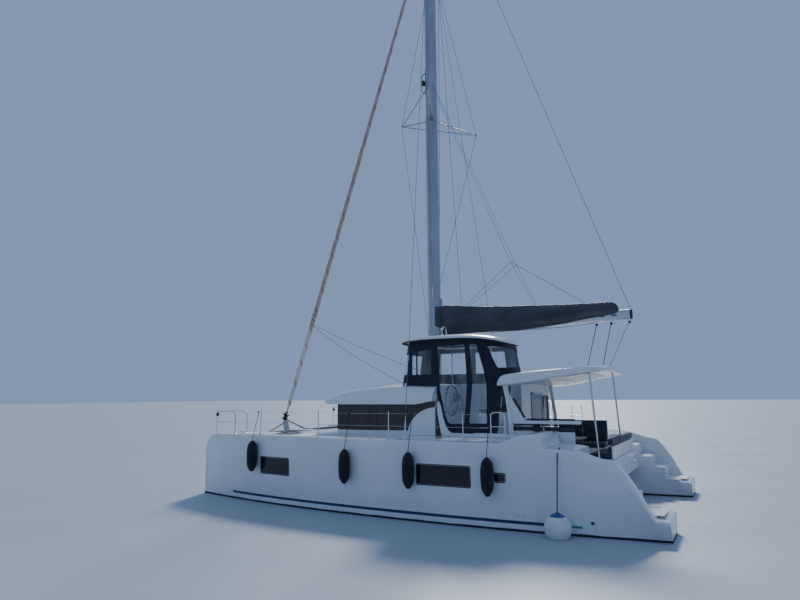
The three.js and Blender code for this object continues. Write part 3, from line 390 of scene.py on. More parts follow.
    cable = Finish("stranded_steel", (0.2, 0.21, 0.23), 0.42, 1.0)
    cable.cloud("Roughness", 9, 3, [(0.3, 0.36), (0.7, 0.5)])
    made["cable"] = cable

    knit = Finish("fender_knit", (0.012, 0.013, 0.026), 0.95, Sheen_Weight=0.35, Sheen_Roughness=0.4)
    knit.cloud("Base Color", 12, 5, [(0.3, (0.008, 0.009, 0.018)), (0.7, (0.022, 0.024, 0.04))])
    knit.bump(knit.sine(knit.axis("Z") * 700) * knit.noise(260, 2), 0.5, 0.002)
    made["knit"] = knit

    # Braided rope: UV runs round and along
    for name, dark, light in (
        ("navyRope", (0.008, 0.011, 0.022), (0.02, 0.026, 0.045)),
        ("whiteRope", (0.5, 0.5, 0.48), (0.66, 0.66, 0.63)),
    ):
        rope = Finish(name, light, 0.8)
        rope.weather(dark, light, 60, 0.7, 0.9)
        strands = rope.uv("X") * (math.pi * 8) + rope.uv("Y") * (math.pi * 90)
        rope.bump(rope.sine(strands), 0.5, 0.002)
        made[name] = rope

    # Table tops: long grain under varnish
    wood = Finish("varnished_wood", (0.3, 0.17, 0.09), 0.3, Coat_Weight=0.5, Coat_Roughness=0.08)
    grain = wood.noise(6, 6, (1.2, 14, 14))
    wood.set(
        "Base Color",
        wood.ramp(grain, [(0.3, (0.2, 0.1, 0.05)), (0.5, (0.32, 0.18, 0.1)), (0.72, (0.4, 0.25, 0.14))]),
    )
    wood.set("Roughness", wood.ramp(grain, [(0.3, 0.24), (0.7, 0.38)]))
    made["wood"] = wood

    for name, tone in (
        ("redLens", (0.5, 0.01, 0.01)), ("greenLens", (0.0, 0.28, 0.1)), ("clearLens", (0.6, 0.63, 0.66)),
    ):
        lens = Finish(name, tone, 0.08, Coat_Weight=0.6)
        lens.set("Base Color", lens.mix(lens.noise(40, 2), tone, tuple(c * 0.7 for c in tone)))
        made[name] = lens

    dial = Finish("dial_glass", (0.01, 0.012, 0.016), 0.06, Coat_Weight=0.6)
    dial.cloud("Base Color", 14, 2, [(0.3, (0.008, 0.01, 0.014)), (0.7, (0.02, 0.024, 0.03))])
    made["dial"] = dial
    return made


finishes = makeFinishes()
print("finishes made:", len(finishes))


# Cosine and sine of an angle, squared up by a power below 1
def squarish(angle, power):
    return [math.copysign(abs(part) ** power, part) for part in (math.cos(angle), math.sin(angle))]


def lerp(a, b, t):
    return a + (b - a) * t


def clamp(value, low=0.0, high=1.0):
    return max(low, min(high, value))


def smoothStep(value):
    t = clamp(value)
    return t * t * (3 - 2 * t)


# Value at x from rows of (x, value) that run from bow to stern, with no overshoot between rows
def along(rows, x):
    if x >= rows[0][0]:
        return rows[0][1]
    if x <= rows[-1][0]:
        return rows[-1][1]
    i = next(k for k in range(len(rows) - 1) if rows[k + 1][0] <= x)
    slopes = []
    for k in (i, i + 1):
        if 0 < k < len(rows) - 1:
            before = (rows[k][1] - rows[k - 1][1]) / (rows[k][0] - rows[k - 1][0])
            after = (rows[k + 1][1] - rows[k][1]) / (rows[k + 1][0] - rows[k][0])
            slopes.append(0 if before * after <= 0 else 2 * before * after / (before + after))
        else:
            near = rows[1] if k == 0 else rows[-2]
            slopes.append((near[1] - rows[k][1]) / (near[0] - rows[k][0]))
    (x0, v0), (x1, v1) = rows[i], rows[i + 1]
    span = x1 - x0
    t = (x - x0) / span
    return (
        v0 * (2 * t**3 - 3 * t**2 + 1) + slopes[0] * span * (t**3 - 2 * t**2 + t)
        + v1 * (3 * t**2 - 2 * t**3) + slopes[1] * span * (t**3 - t**2)
    )


# A smooth line through a few points
def spline(points, steps=8, closed=False):
    pts = [Vector(p) for p in points]
    if closed:
        pts = [pts[-1], *pts, pts[0], pts[1]]
    else:
        pts = [pts[0] * 2 - pts[1], *pts, pts[-1] * 2 - pts[-2]]
    line = []
    for i in range(1, len(pts) - 2):
        p0, p1, p2, p3 = pts[i - 1:i + 3]
        for s in range(steps):
            t = s / steps
            curve = 2 * p1 + (p2 - p0) * t + (2 * p0 - 5 * p1 + 4 * p2 - p3) * t**2
            line.append(0.5 * (curve + (3 * p1 - p0 - 3 * p2 + p3) * t**3))
    if not closed:
        line.append(pts[-2])
    return line


# The same in a plane, as pairs
def flatSpline(points, steps):
    return [(p.x, p.y) for p in spline([(*p, 0) for p in points], steps)]


# A flat outline with its corners rounded
def rounded(points, radius, steps=6):
    pts = [Vector(p) for p in points]
    line = []
    for i, corner in enumerate(pts):
        back = (pts[i - 1] - corner)
        ahead = (pts[(i + 1) % len(pts)] - corner)
        reach = min(radius, back.length * 0.49, ahead.length * 0.49)
        start = corner + back.normalized() * reach
        end = corner + ahead.normalized() * reach
        for s in range(steps + 1):
            t = s / steps
            line.append(start * (1 - t) ** 2 + corner * 2 * t * (1 - t) + end * t * t)
    return line


def rectangle(a0, b0, a1, b1, radius, steps=6):
    return rounded([(a0, b0), (a1, b0), (a1, b1), (a0, b1)], radius, steps)


# Gathers plain solids into one mesh
class Shape:
    def __init__(self):
        self.mesh = bmesh.new()

    def skin(self, points, faces):
        verts = [self.mesh.verts.new(p) for p in points]
        return [self.mesh.faces.new([verts[i] for i in face]) for face in faces]

    def loft(self, rings, closed=True, caps=True):
        count = len(rings[0])
        faces = []
        for r in range(len(rings) - 1):
            for i in range(count if closed else count - 1):
                j = (i + 1) % count
                a, b = r * count + i, r * count + j
                faces.append((a, b, b + count, a + count))
        if caps:
            faces.append(tuple(reversed(range(count))))
            faces.append(tuple(range((len(rings) - 1) * count, len(rings) * count)))
        return self.skin([p for ring in rings for p in ring], faces)

    def bevel(self, faces, width, segments, angle=30):
        limit = math.radians(angle)
        edges = {e for f in faces for e in f.edges if e.calc_face_angle(0) > limit}
        if width > 0:
            bmesh.ops.bevel(self.mesh, geom=list(edges), offset=width, segments=segments, profile=0.5,
                            affect="EDGES", clamp_overlap=True)

    def box(self, low, high, bevel=0.0, segments=3):
        (x0, y0, z0), (x1, y1, z1) = low, high
        ring = [(x0, y0), (x1, y0), (x1, y1), (x0, y1)]
        faces = self.loft([[(x, y, z0) for x, y in ring], [(x, y, z1) for x, y in ring]])
        self.bevel(faces, bevel, segments)

    # A flat outline pushed along an axis: plane names the outline's two axes
    def prism(self, outline, plane, low, high, bevel=0.0, segments=3, angle=30):
        axes = ["xyz".index(c) for c in plane]
        third = 3 - sum(axes)
        rings = []
        for level in (low, high):
            ring = []
            for point in outline:
                place = [0, 0, 0]
                place[axes[0]], place[axes[1]], place[third] = point[0], point[1], level
                ring.append(place)
            rings.append(ring)
        faces = self.loft(rings)
        self.bevel(faces, bevel, segments, angle)

    def tube(self, points, radius, sides=10, closed=False):
        pts = [Vector(p) for p in points]
        count = len(pts)
        ahead = [(pts[(i + 1) % count] - pts[i - 1]) for i in range(count)]
        if not closed:
            ahead[0], ahead[-1] = pts[1] - pts[0], pts[-1] - pts[-2]
        ahead = [a.normalized() for a in ahead]
        side = ahead[0].orthogonal().normalized()
        rings = []
        for i in range(count):
            side = (side - ahead[i] * side.dot(ahead[i])).normalized()
            other = ahead[i].cross(side)
            size = radius[i] if isinstance(radius, (list, tuple)) else radius
            turns = [k * 2 * math.pi / sides for k in range(sides)]
            rings.append([pts[i] + (side * math.cos(a) + other * math.sin(a)) * size for a in turns])
        if closed:
            rings.append(rings[0])
        return self.loft(rings, caps=not closed)

    def rod(self, start, end, radius, sides=16):
        return self.tube([start, end], radius, sides)

    # Rows of (radius, height) turned about an axis through centre
    def lathe(self, rows, centre, axis="z", steps=32, caps=True):
        order = {"x": (1, 2, 0), "y": (2, 0, 1), "z": (0, 1, 2)}[axis]
        rings = []
        for r, h in rows:
            ring = []
            for k in range(steps):
                angle = k * 2 * math.pi / steps
                local = (r * math.cos(angle), r * math.sin(angle), h)
                place = [0, 0, 0]
                for source, target in enumerate(order):
                    place[target] = local[source] + centre[target]
                ring.append(place)
            rings.append(ring)
        return self.loft(rings, caps=caps)

    def ball(self, centre, radius, steps=24):
        rows = [
            (radius * math.sin(math.pi * i / 12), -radius * math.cos(math.pi * i / 12)) for i in range(1, 12)
        ]
        return self.lathe([(radius * 0.02, -radius), *rows, (radius * 0.02, radius)], centre, "z", steps)

    def make(self, name, finish, body="boat", slot="", replaces=(), smooth=40, weld=1e-5):
        bmesh.ops.remove_doubles(self.mesh, verts=self.mesh.verts, dist=weld)
        bmesh.ops.recalc_face_normals(self.mesh, faces=self.mesh.faces)
        for face in self.mesh.faces:
            face.smooth = True
        data = bpy.data.meshes.new(name)
        self.mesh.to_mesh(data)
        self.mesh.free()
        data.set_sharp_from_angle(angle=math.radians(smooth))
        obj = addObject(name, data)
        return dress(obj, finish, body, slot, replaces)


# The part's slot that a finish belongs to, where a piece names no other
slotOf = {
    "gelcoat": "gelcoat", "bottomPaint": "bottom_paint", "legPaint": "drive_metal", "wood": "wood",
    "nonSkid": "deck_plastic", "black": "deck_plastic", "dial": "deck_plastic", "tinted": "tinted_glazing",
    "smoked": "tinted_glazing", "vinyl": "clear_vinyl", "clearLens": "clear_vinyl", "canvas": "canvas",
    "bagCloth": "canvas", "sailCloth": "sailcloth", "navyRope": "sailcloth", "knit": "fender_cover",
    "whiteVinyl": "white_vinyl", "blueVinyl": "white_vinyl", "alloy": "alloy", "boomPaint": "alloy",
    "steel": "stainless", "cable": "stainless", "zinc": "galvanised", "bronze": "bronze",
}


# Gives a piece its material and body; a tool or a stage piece has no body
def dress(obj, finish, body="boat", slot="", replaces=()):
    obj.data.materials.clear()
    obj.data.materials.append(finishes[finish].material)
    if body:
        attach(obj, body)
    if body or slot:
        slot or slotOf[finish]
    if replaces:
        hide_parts(*replaces)
    return obj


# Turns the result of an object's modifiers into its plain mesh
def settle(obj, smooth=40):
    graph = bpy.context.evaluated_depsgraph_get()
    data = bpy.data.meshes.new_from_object(obj.evaluated_get(graph))
    obj.modifiers.clear()
    obj.data = data
    for polygon in data.polygons:
        polygon.use_smooth = True
    data.set_sharp_from_angle(angle=math.radians(smooth))
    return obj


def cutAway(obj, cutter, smooth=40):
    tool = obj.modifiers.new("cut", "BOOLEAN")
    tool.operation = "DIFFERENCE"
    tool.solver = "EXACT"
    tool.object = cutter
    settle(obj, smooth)
    bpy.data.objects.remove(cutter)
    return obj


# Whether a flat loop goes round a point
def holds(loop, point):
    inside = False
    x, y = point
    for (x0, y0), (x1, y1) in zip(loop, [*loop[1:], loop[0]]):
        if (y0 > y) != (y1 > y) and x < x0 + (y - y0) / (y1 - y0) * (x1 - x0):
            inside = not inside
    return inside


# A flat panel with holes, cut into small cells and laid on a surface by place(u, v, out)
def panel(name, loops, place, finish, thick, cell=0.08, out=0.0, smooth=60, **dressing):
    points, edges = [], []
    for loop in loops:
        first = len(points)
        points += [Vector((p[0], p[1])) for p in loop]
        edges += [(first + i, first + (i + 1) % len(loop)) for i in range(len(loop))]
    found = geometry.delaunay_2d_cdt(points, edges, [], 1, 1e-5)
    shape = bmesh.new()
    corners = [shape.verts.new((p.x, p.y, 0)) for p in found[0]]
    for face in found[2]:
        middle = sum((found[0][i] for i in face), Vector((0, 0))) / len(face)
        if sum(holds(loop, middle) for loop in loops) % 2:
            shape.faces.new([corners[i] for i in face])
    bmesh.ops.delete(shape, geom=[v for v in shape.verts if not v.link_faces], context="VERTS")
    for axis in (0, 1):
        values = [v.co[axis] for v in shape.verts]
        low, high = min(values), max(values)
        count = max(1, math.ceil((high - low) / cell))
        normal = (1, 0, 0) if axis == 0 else (0, 1, 0)
        for i in range(1, count):
            at = low + (high - low) * i / count
            where = (at, 0, 0) if axis == 0 else (0, at, 0)
            whole = [*shape.verts, *shape.edges, *shape.faces]
            bmesh.ops.bisect_plane(shape, geom=whole, plane_co=where, plane_no=normal, dist=1e-6)
    top = [(v, v.co.copy()) for v in shape.verts]
    faces = list(shape.faces)
    rims = [e for e in shape.edges if len(e.link_faces) == 1]
    under = {}
    for vert, (u, v, _) in top:
        under[vert] = shape.verts.new(place(u, v, out))
        vert.co = place(u, v, out + thick)
    for face in faces:
        shape.faces.new([under[v] for v in reversed(face.verts)])
    for edge in rims:
        a, b = edge.verts
        shape.faces.new([a, b, under[b], under[a]])
    made = Shape()
    made.mesh.free()
    made.mesh = shape
    return made.make(name, finish, smooth=smooth, **dressing)


# Hulls, in metres: half breadths, sheer and stern steps
hullSize = {
    "length": 12.72,
    "centre": 2.93,
    "waterHalf": 0.878,
    "waterBow": 2.3,
    "waterStern": 0.536,
    "deckHalf": 0.905,
    "deckBow": 2.9,
    "deckStern": 0.72,
    "stemHalf": 0.034,
    "widestAt": 0.62,
    "depth": 0.62,
    "stations": 150,
    "stepOuter": 0.47,
    "knuckle": 0.006,
}
sheerRows = [
    (6.36, 1.38), (6.3, 1.52), (6.2, 1.64), (6.05, 1.71), (5.8, 1.738), (5.3, 1.745), (4.0, 1.78),
    (-3.05, 1.78), (-3.33, 1.88), (-3.55, 1.955), (-3.82, 1.97), (-3.92, 1.88), (-4.01, 1.7), (-4.5, 1.672),
    (-4.75, 1.625), (-5.16, 1.505), (-5.4, 1.462), (-5.52, 1.35), (-5.69, 1.125), (-5.83, 0.9), (-5.99, 0.6),
    (-6.09, 0.425), (-6.33, 0.41), (-6.36, 0.38),
]
stairs = [(-4.62, -5.02, 1.33), (-5.02, -5.38, 1.06), (-5.38, -5.72, 0.78), (-5.72, -6.5, 0.47)]
sides = (("port", 1), ("starboard", -1))


def halfBreadth(x, widest, fullness, stern):
    t = (hullSize["length"] / 2 - x) / hullSize["length"]
    at = hullSize["widestAt"]
    if t < at:
        return max(hullSize["stemHalf"], widest * (1 - (1 - max(t, 0) / at) ** fullness))
    return widest * (1 - (1 - stern) * ((t - at) / (1 - at)) ** 2)


def waterHalf(x):
    return halfBreadth(x, hullSize["waterHalf"], hullSize["waterBow"], hullSize["waterStern"])


def deckHalf(x):
    return halfBreadth(x, hullSize["deckHalf"], hullSize["deckBow"], hullSize["deckStern"])


def keelDepth(x):
    share = abs(x) / (hullSize["length"] / 2)
    return hullSize["depth"] - (0.27 * share**2 if x > 0 else 0.56 * share**1.8)


# Half of a cross section: from the keel line out and up to the deck, as (breadth, height)
def halfSection(x):
    water, deck, depth, sheer = waterHalf(x), deckHalf(x), keelDepth(x), along(sheerRows, x)
    edge = min(0.07, deck * 0.4)
    points = [
        (0, -depth), (0.5 * water, -0.95 * depth), (0.82 * water, -0.66 * depth),
        (0.95 * water, -0.3 * depth), (water, 0), (water + 0.6 * (deck - water), 0.45 * sheer),
        (deck - 0.004, 0.8 * sheer), (deck, 0.955 * sheer), (deck - edge * 0.3, 0.99 * sheer),
        (deck - edge, sheer),
    ]
    line = flatSpline(points, 5)
    # a slight knuckle under the deck edge
    knuckle = 0.815 * sheer
    fine = [(b - (hullSize["knuckle"] if 0.02 < h < knuckle and deck > 0.12 else 0), h) for b, h in line]
    return [*fine, (max(deck - edge - 0.12, 0.004), sheer)]


# How far the topside lies from the hull's centreline at a place
def sideBreadth(x, z):
    line = halfSection(x)
    for (b0, h0), (b1, h1) in zip(line, line[1:]):
        if h0 <= z <= h1 and h1 > h0:
            return b0 + (b1 - b0) * (z - h0) / (h1 - h0)
    return line[-3][0]


def makeHull(name, side):
    middle = side * hullSize["centre"]
    half = hullSize["length"] / 2
    places = {-half, half, *(x for x, _ in sheerRows)}
    for i in range(hullSize["stations"]):
        places.add(round(half - hullSize["length"] * i / (hullSize["stations"] - 1), 3))
    ordered = sorted(places, reverse=True)
    kept = [ordered[0]]
    for x in ordered[1:]:
        if kept[-1] - x > 0.012 or x == -half:
            kept.append(x)
    shape = Shape()
    rings = []
    for x in kept:
        line = halfSection(x)
        ring = [(x, middle + b, h) for b, h in line] + [(x, middle - b, h) for b, h in reversed(line[1:])]
        rings.append(ring)
    shape.loft(rings)
    hull = shape.make(name + "_hull_skin", "hullPaint", None, smooth=32)
    profile = [(stairs[0][0], 2.4)]
    for front, aft, tread in stairs:
        profile += [(front, tread), (aft, tread)]
    profile.append((stairs[-1][1], 2.4))
    knife = Shape()
    low, high = sorted((middle - side * 1.3, middle + side * hullSize["stepOuter"]))
    knife.prism(profile, "xz", low, high, 0.028, 3, 60)
    cutter = knife.make("stern_knife", "gelcoat", None)
    cutAway(hull, cutter, 32)
    return dress(hull, "hullPaint", "boat", "gelcoat", (name + "_hull",))


# Glass panels that lie on the topside: forward end, aft end, bottom, top
hullGlass = {
    "windows": ((3.74, 2.69, 0.78, 1.195), (-1.13, -2.42, 0.825, 1.255)),
    "ports": ((-2.9, -3.2, 0.98, 1.145),),
    "corner": 0.035,
    "border": 0.022,
}


def onHull(side, shift=0.0):
    def place(x, z, out):
        return Vector((x, side * (hullSize["centre"] + sideBreadth(x, z) + out + shift), z))
    return place


def makeHullGlass(name, side):
    for i, (front, aft, bottom, top) in enumerate((*hullGlass["windows"], *hullGlass["ports"])):
        corner = hullGlass["corner"]
        border = hullGlass["border"]
        outer = rectangle(aft - border, bottom - border, front + border, top + border, corner + border)
        inner = rectangle(aft, bottom, front, top, corner)
        panel(
            f"{name}_hull_frame_{i + 1}", [outer, inner], onHull(side), "black", 0.005, 0.1, -0.004,
            slot="gelcoat",
        )
        panel(
            f"{name}_hull_window_{i + 1}",
            [rectangle(aft + 0.004, bottom + 0.004, front - 0.004, top - 0.004, corner)], onHull(side),
            "smoked", 0.009, 0.1, -0.006,
        )


# Moulded non-skid patches on the side decks and foredecks, as (front, aft, inboard share, outboard share)
deckPatches = {
    "rows": (
        (5.05, 3.72, -0.8, 0.72), (2.86, 1.1, -0.55, 0.72), (0.98, -0.62, 0.12, 0.72),
        (-0.8, -2.6, 0.3, 0.72),
    ),
    "corner": 0.06, "thick": 0.003,
}


def makeDeckPatches(name, side):
    middle = side * hullSize["centre"]

    def place(x, v, out):
        reach = deckHalf(x) - 0.07
        return Vector((x, middle + side * v * reach, along(sheerRows, x) + out))

    for i, (front, aft, inner, outer) in enumerate(deckPatches["rows"]):
        loop = rectangle(aft, inner, front, outer, deckPatches["corner"])
        panel(f"{name}_deck_grip_{i + 1}", [loop], place, "nonSkid", deckPatches["thick"], 0.12)
    # treads of the stern steps
    shape = Shape()
    for front, aft, tread in stairs[1:]:
        back = max(aft, -6.28)
        low, high = sorted((middle - side * 0.42, middle + side * (hullSize["stepOuter"] - 0.07)))
        shape.prism(
            rectangle(back + 0.05, low, front - 0.05, high, 0.05), "xy", tread + 0.0005, tread + 0.004,
        )
    shape.make(f"{name}_step_grip", "nonSkid")


def foilRing(lead, chord, half, y, z, count=14):
    upper = []
    for i in range(count + 1):
        c = 0.5 - 0.5 * math.cos(math.pi * i / count)
        t = 5 * (0.2969 * math.sqrt(c) - 0.126 * c - 0.3516 * c**2 + 0.2843 * c**3 - 0.1015 * c**4)
        upper.append((lead - c * chord, y + max(t, 0.01) * half * 2, z))
    lower = [(x, 2 * y - yy, z) for x, yy, z in reversed(upper[1:])]
    return [*upper, *lower]


underWater = {
    "keel": {
        "lead": 1.0, "root": 2.7, "footLead": 0.835, "foot": 2.25, "half": 0.15, "top": -0.4, "bottom": -1.25,
    },
    "rudder": {"lead": -5.49, "chord": 0.56, "half": 0.034, "top": -0.262, "bottom": -1.14, "stock": -5.64},
    "drive": {"x": -4.25, "shaft": -0.76, "propeller": -4.52, "radius": 0.235},
}


def makeUnderWater(name, side):
    y = side * hullSize["centre"]
    keel = underWater["keel"]
    shape = Shape()
    rings = []
    for i in range(8):
        t = i / 7
        rings.append(foilRing(
            lerp(keel["lead"], keel["footLead"], t), lerp(keel["root"], keel["foot"], t),
            keel["half"] * lerp(1, 0.85, t), y, lerp(keel["top"], keel["bottom"], t),
        ))
    shape.loft(rings)
    shape.make(name + "_keel_fin", "bottomPaint", replaces=(name + "_keel",))

    rudder = underWater["rudder"]
    shape = Shape()
    rows = [
        (rudder["top"], 0.97), (rudder["top"] - 0.02, 1), (rudder["bottom"] + 0.03, 1),
        (rudder["bottom"], 0.95),
    ]
    shape.loft([
        foilRing(rudder["lead"] - (1 - k) * 0.1, rudder["chord"] * k, rudder["half"] * k, y, z)
        for z, k in rows
    ])
    shape.rod((rudder["stock"], y, -0.5), (rudder["stock"], y, 0.06), 0.025, 24)
    shape.make(name + "_rudder_blade", "bottomPaint", name + "_rudder", "bottom_paint", (name + "_rudder",))

    drive = underWater["drive"]
    shape = Shape()
    shape.loft([
        foilRing(drive["x"] + 0.17, 0.33, 0.055, y, -0.3), foilRing(drive["x"] + 0.15, 0.3, 0.05, y, -0.5),
        foilRing(drive["x"] + 0.12, 0.26, 0.045, y, drive["shaft"]),
    ])
    bulb = [
        (0.004, 0.21), (0.035, 0.19), (0.055, 0.15), (0.066, 0.05), (0.068, -0.02), (0.06, -0.1),
        (0.048, -0.139),
    ]
    shape.lathe([(r, h - 0.06) for r, h in bulb], (drive["x"], y, drive["shaft"]), "x", 28)
    shape.prism([
        (drive["x"] + 0.08, drive["shaft"] - 0.05), (drive["x"] - 0.02, drive["shaft"] - 0.24),
        (drive["x"] - 0.11, drive["shaft"] - 0.24), (drive["x"] - 0.1, drive["shaft"] - 0.05),
    ], "xz", y - 0.011, y + 0.011, 0.004, 2)
    shape.make(name + "_saildrive_leg", "legPaint", replaces=(name + "_saildrive",))

    # propeller: a hub and three twisted blades
    shape = Shape()
    shape.lathe([(0.042, -4.451), (0.046, -4.5), (0.044, -4.55), (0.03, -4.575), (0.006, -4.58)],
                (0, y, drive["shaft"]), "x", 28)
    for blade in range(3):
        turn = blade * 2 * math.pi / 3
        rings = []
        for s in range(9):
            t = s / 8
            radius = lerp(0.03, drive["radius"], t)
            width = 0.075 * math.sin(math.pi * clamp(0.16 + 0.8 * t)) ** 0.6 + 0.012
            pitch = side * lerp(1.0, 0.45, t)
            ring = []
            for k in range(10):
                a = k * 2 * math.pi / 10
                across, through = math.cos(a) * width, math.sin(a) * lerp(0.009, 0.003, t)
                dx = across * math.sin(pitch) + through * math.cos(pitch)
                dt = across * math.cos(pitch) - through * math.sin(pitch)
                radial = Vector((0, math.cos(turn), math.sin(turn)))
                sideways = Vector((0, -math.sin(turn), math.cos(turn)))
                ring.append(
                    Vector((drive["propeller"] + dx, y, drive["shaft"])) + radial * radius + sideways * dt
                )
            rings.append(ring)
        shape.loft(rings)
    shape.make(name + "_propeller_blades", "bronze", name + "_propeller", "bronze", (name + "_propeller",))


for name, side in sides:
    makeHull(name, side)
    makeHullGlass(name, side)
    makeDeckPatches(name, side)
    makeUnderWater(name, side)
print("hulls made")


# Saloon: wall line in plan, glazing band, roof
saloon = {
    "half": 2.2,
    "front": 2.76,
    "corner": 2.15,
    "aft": -0.84,
    "power": 2.4,
    "glassBottom": 1.885,
    "glassTop": 2.566,
    "roofHalf": 2.34,
    "roofFront": 3.06,
    "roofCorner": 2.48,
    "roofAft": -2.6,
    "eave": 2.57,
    "rim": 0.085,
    "nose": 0.11,
    "shoulder": 0.44,
    "ceiling": 2.9,
    "notchX": -0.82,
    "notchY": 0.55,
}
crownRows = [
    (3.06, 2.72), (2.85, 2.8), (2.4, 2.92), (1.7, 3.04), (0.9, 3.11), (0, 3.13), (-0.7, 3.11), (-2.6, 3.1),
]
# Outline of the white cheek that closes the glazing's aft end, as (x, z)
cheekLine = [
    (-0.06, 1.785), (-0.06, 1.9), (-0.13, 2.09), (-0.25, 2.24), (-0.42, 2.37), (-0.6, 2.45), (-0.84, 2.5),
]


def planArc(front, corner, half, y):
    return corner + (front - corner) * (1 - min(1, abs(y) / half) ** saloon["power"])


# Wall line from the port side's aft end, round the front, to the starboard side's aft end
def wallLine():
    half = saloon["half"]
    points = [
        (saloon["aft"] - 0.3, half), (0.4, half), (1.6, half), (2.02, half), (2.13, half + 0.001),
        (2.168, half - 0.012),
    ]
    for i in range(1, 24):
        y = half * (1 - 2 * i / 24)
        points.append((planArc(saloon["front"], saloon["corner"], half, y), y))
    points += [
        (2.168, 0.012 - half), (2.13, -half - 0.001), (2.02, -half), (1.6, -half), (0.4, -half),
        (saloon["aft"] - 0.3, -half),
    ]
    return [Vector(p) for p in flatSpline(points, 4)]


# A line in plan that gives a place and its outward normal by the length along it
class Path:
    def __init__(self, points, outward):
        self.points = points
        self.reach = [0.0]
        for a, b in zip(points, points[1:]):
            self.reach.append(self.reach[-1] + (b - a).length)
        self.outward = outward

    def find(self, u):
        u = clamp(u, 0, self.reach[-1] - 1e-9)
        low, high = 0, len(self.reach) - 1
        while high - low > 1:
            middle = (low + high) // 2
            if self.reach[middle] <= u:
                low = middle
            else:
                high = middle
        return low, (u - self.reach[low]) / max(self.reach[high] - self.reach[low], 1e-9)

    def at(self, u):
        i, t = self.find(u)
        return self.points[i].lerp(self.points[i + 1], t)

    def normal(self, u):
        i, t = self.find(u)
        count = len(self.points) - 1
        turns = []
        for k in (max(i - 1, 0), i, min(i + 1, count - 1)):
            ahead = self.points[k + 1] - self.points[k]
            turns.append(Vector((ahead.y, -ahead.x)).normalized() * self.outward)
        mixed = turns[0].lerp(turns[1], t + 0.5) if t < 0.5 else turns[1].lerp(turns[2], t - 0.5)
        return mixed.normalized()


wallPath = Path(wallLine(), -1)


def onWall(u, z, out):
    place = wallPath.at(u)
    normal = wallPath.normal(u)
    return Vector((place.x + normal.x * out, place.y + normal.y * out, z))


# Length along the wall line where a side wall passes x
def wallReach(x, side):
    hits = [
        wallPath.reach[i] for i, p in enumerate(wallPath.points)
        if p.y * side > saloon["half"] - 0.3
    ]
    start = hits[0] if side > 0 else hits[-1]
    return start + (x - saloon["aft"] + 0.3) * side


def makeGlazing():
    bottom, top = saloon["glassBottom"], saloon["glassTop"]
    total = wallPath.reach[-1]
    cheekPort = [(wallReach(x, 1), z) for x, z in cheekLine if z > bottom]
    cheekStarboard = [(total - u, z) for u, z in cheekPort]
    # panes between narrow joints, as x places on the port side and shares of the front
    joints = [wallReach(1.12, 1), wallReach(2.02, 1) + 0.135]
    joints += [total / 2 - 1.02, total / 2, total / 2 + 1.02]
    joints += [total - joints[1], total - joints[0]]
    gap = 0.006
    edges = [cheekPort[0][0], *joints, cheekStarboard[0][0]]
    for i, (u0, u1) in enumerate(zip(edges, edges[1:])):
        low, high = u0 + gap, u1 - gap
        if i in (0, len(edges) - 2):
            port = i == 0
            smooth = flatSpline(cheekPort if port else cheekStarboard, 5)
            lift, rest = (wallReach(x, 1) if port else total - wallReach(x, 1) for x in (-0.42, -0.25))
            end = high if port else low
            loop = [*smooth, (smooth[-1][0], 2.645), (lift, 2.585), (rest, top), (end, top), (end, bottom)]
        else:
            loop = rectangle(low, bottom, high, top, 0.02)
        stands = ("saloon_glazing",) if i == 0 else ()
        panel(f"saloon_pane_{i + 1}", [loop], onWall, "tinted", 0.01, 0.09, 0.002, replaces=stands)
    # dark joint strips behind the panes
    for i, u in enumerate(joints):
        panel(
            f"saloon_joint_{i + 1}",
            [[(u - 0.03, bottom), (u + 0.03, bottom), (u + 0.03, top), (u - 0.03, top)]], onWall, "black",
            0.006, 0.012, 0.0, slot="tinted_glazing",
        )


def eaveLift(x):
    return 0.085 * smoothStep((-0.28 - x) / 0.6)


def roofTop(x, y):
    half = saloon["roofHalf"]
    edge = max(half - abs(y), 1e-4)
    ahead = max(planArc(saloon["roofFront"], saloon["roofCorner"], half + 0.01, y) - x, 1e-4)
    crown = along(crownRows, x) - 0.075 * (abs(y) / 1.92) ** 2.2
    low = saloon["eave"] + lerp(saloon["nose"], saloon["rim"], smoothStep(ahead / 0.5)) + eaveLift(x)
    # steep sides with a tight shoulder, a slower rise over the nose
    side = clamp(edge / saloon["shoulder"])
    side = 0.8 * (1 - (1 - clamp(side / 0.5)) ** 1.6) + 0.2 * (1 - (1 - side) ** 3)
    front = 1 - (1 - clamp(ahead / 0.5)) ** 2.4
    rise = (side**-6 + front**-6 - 1) ** (-1 / 6) if side > 1e-3 and front > 1e-3 else 0
    return low + (max(crown, low + 0.03) - low) * min(rise, 1)


def roofUnder(x, y, top):
    half = saloon["roofHalf"]
    edge = max(half - abs(y), 1e-4)
    ahead = max(planArc(saloon["roofFront"], saloon["roofCorner"], half + 0.01, y) - x, 1e-4)
    reach = (edge**-4 + ahead**-4) ** -0.25
    inner = smoothStep((reach - 0.2) / 0.2)
    low = saloon["eave"] + eaveLift(x) * (1 - inner)
    return low + (min(saloon["ceiling"], top - 0.1) - low) * inner


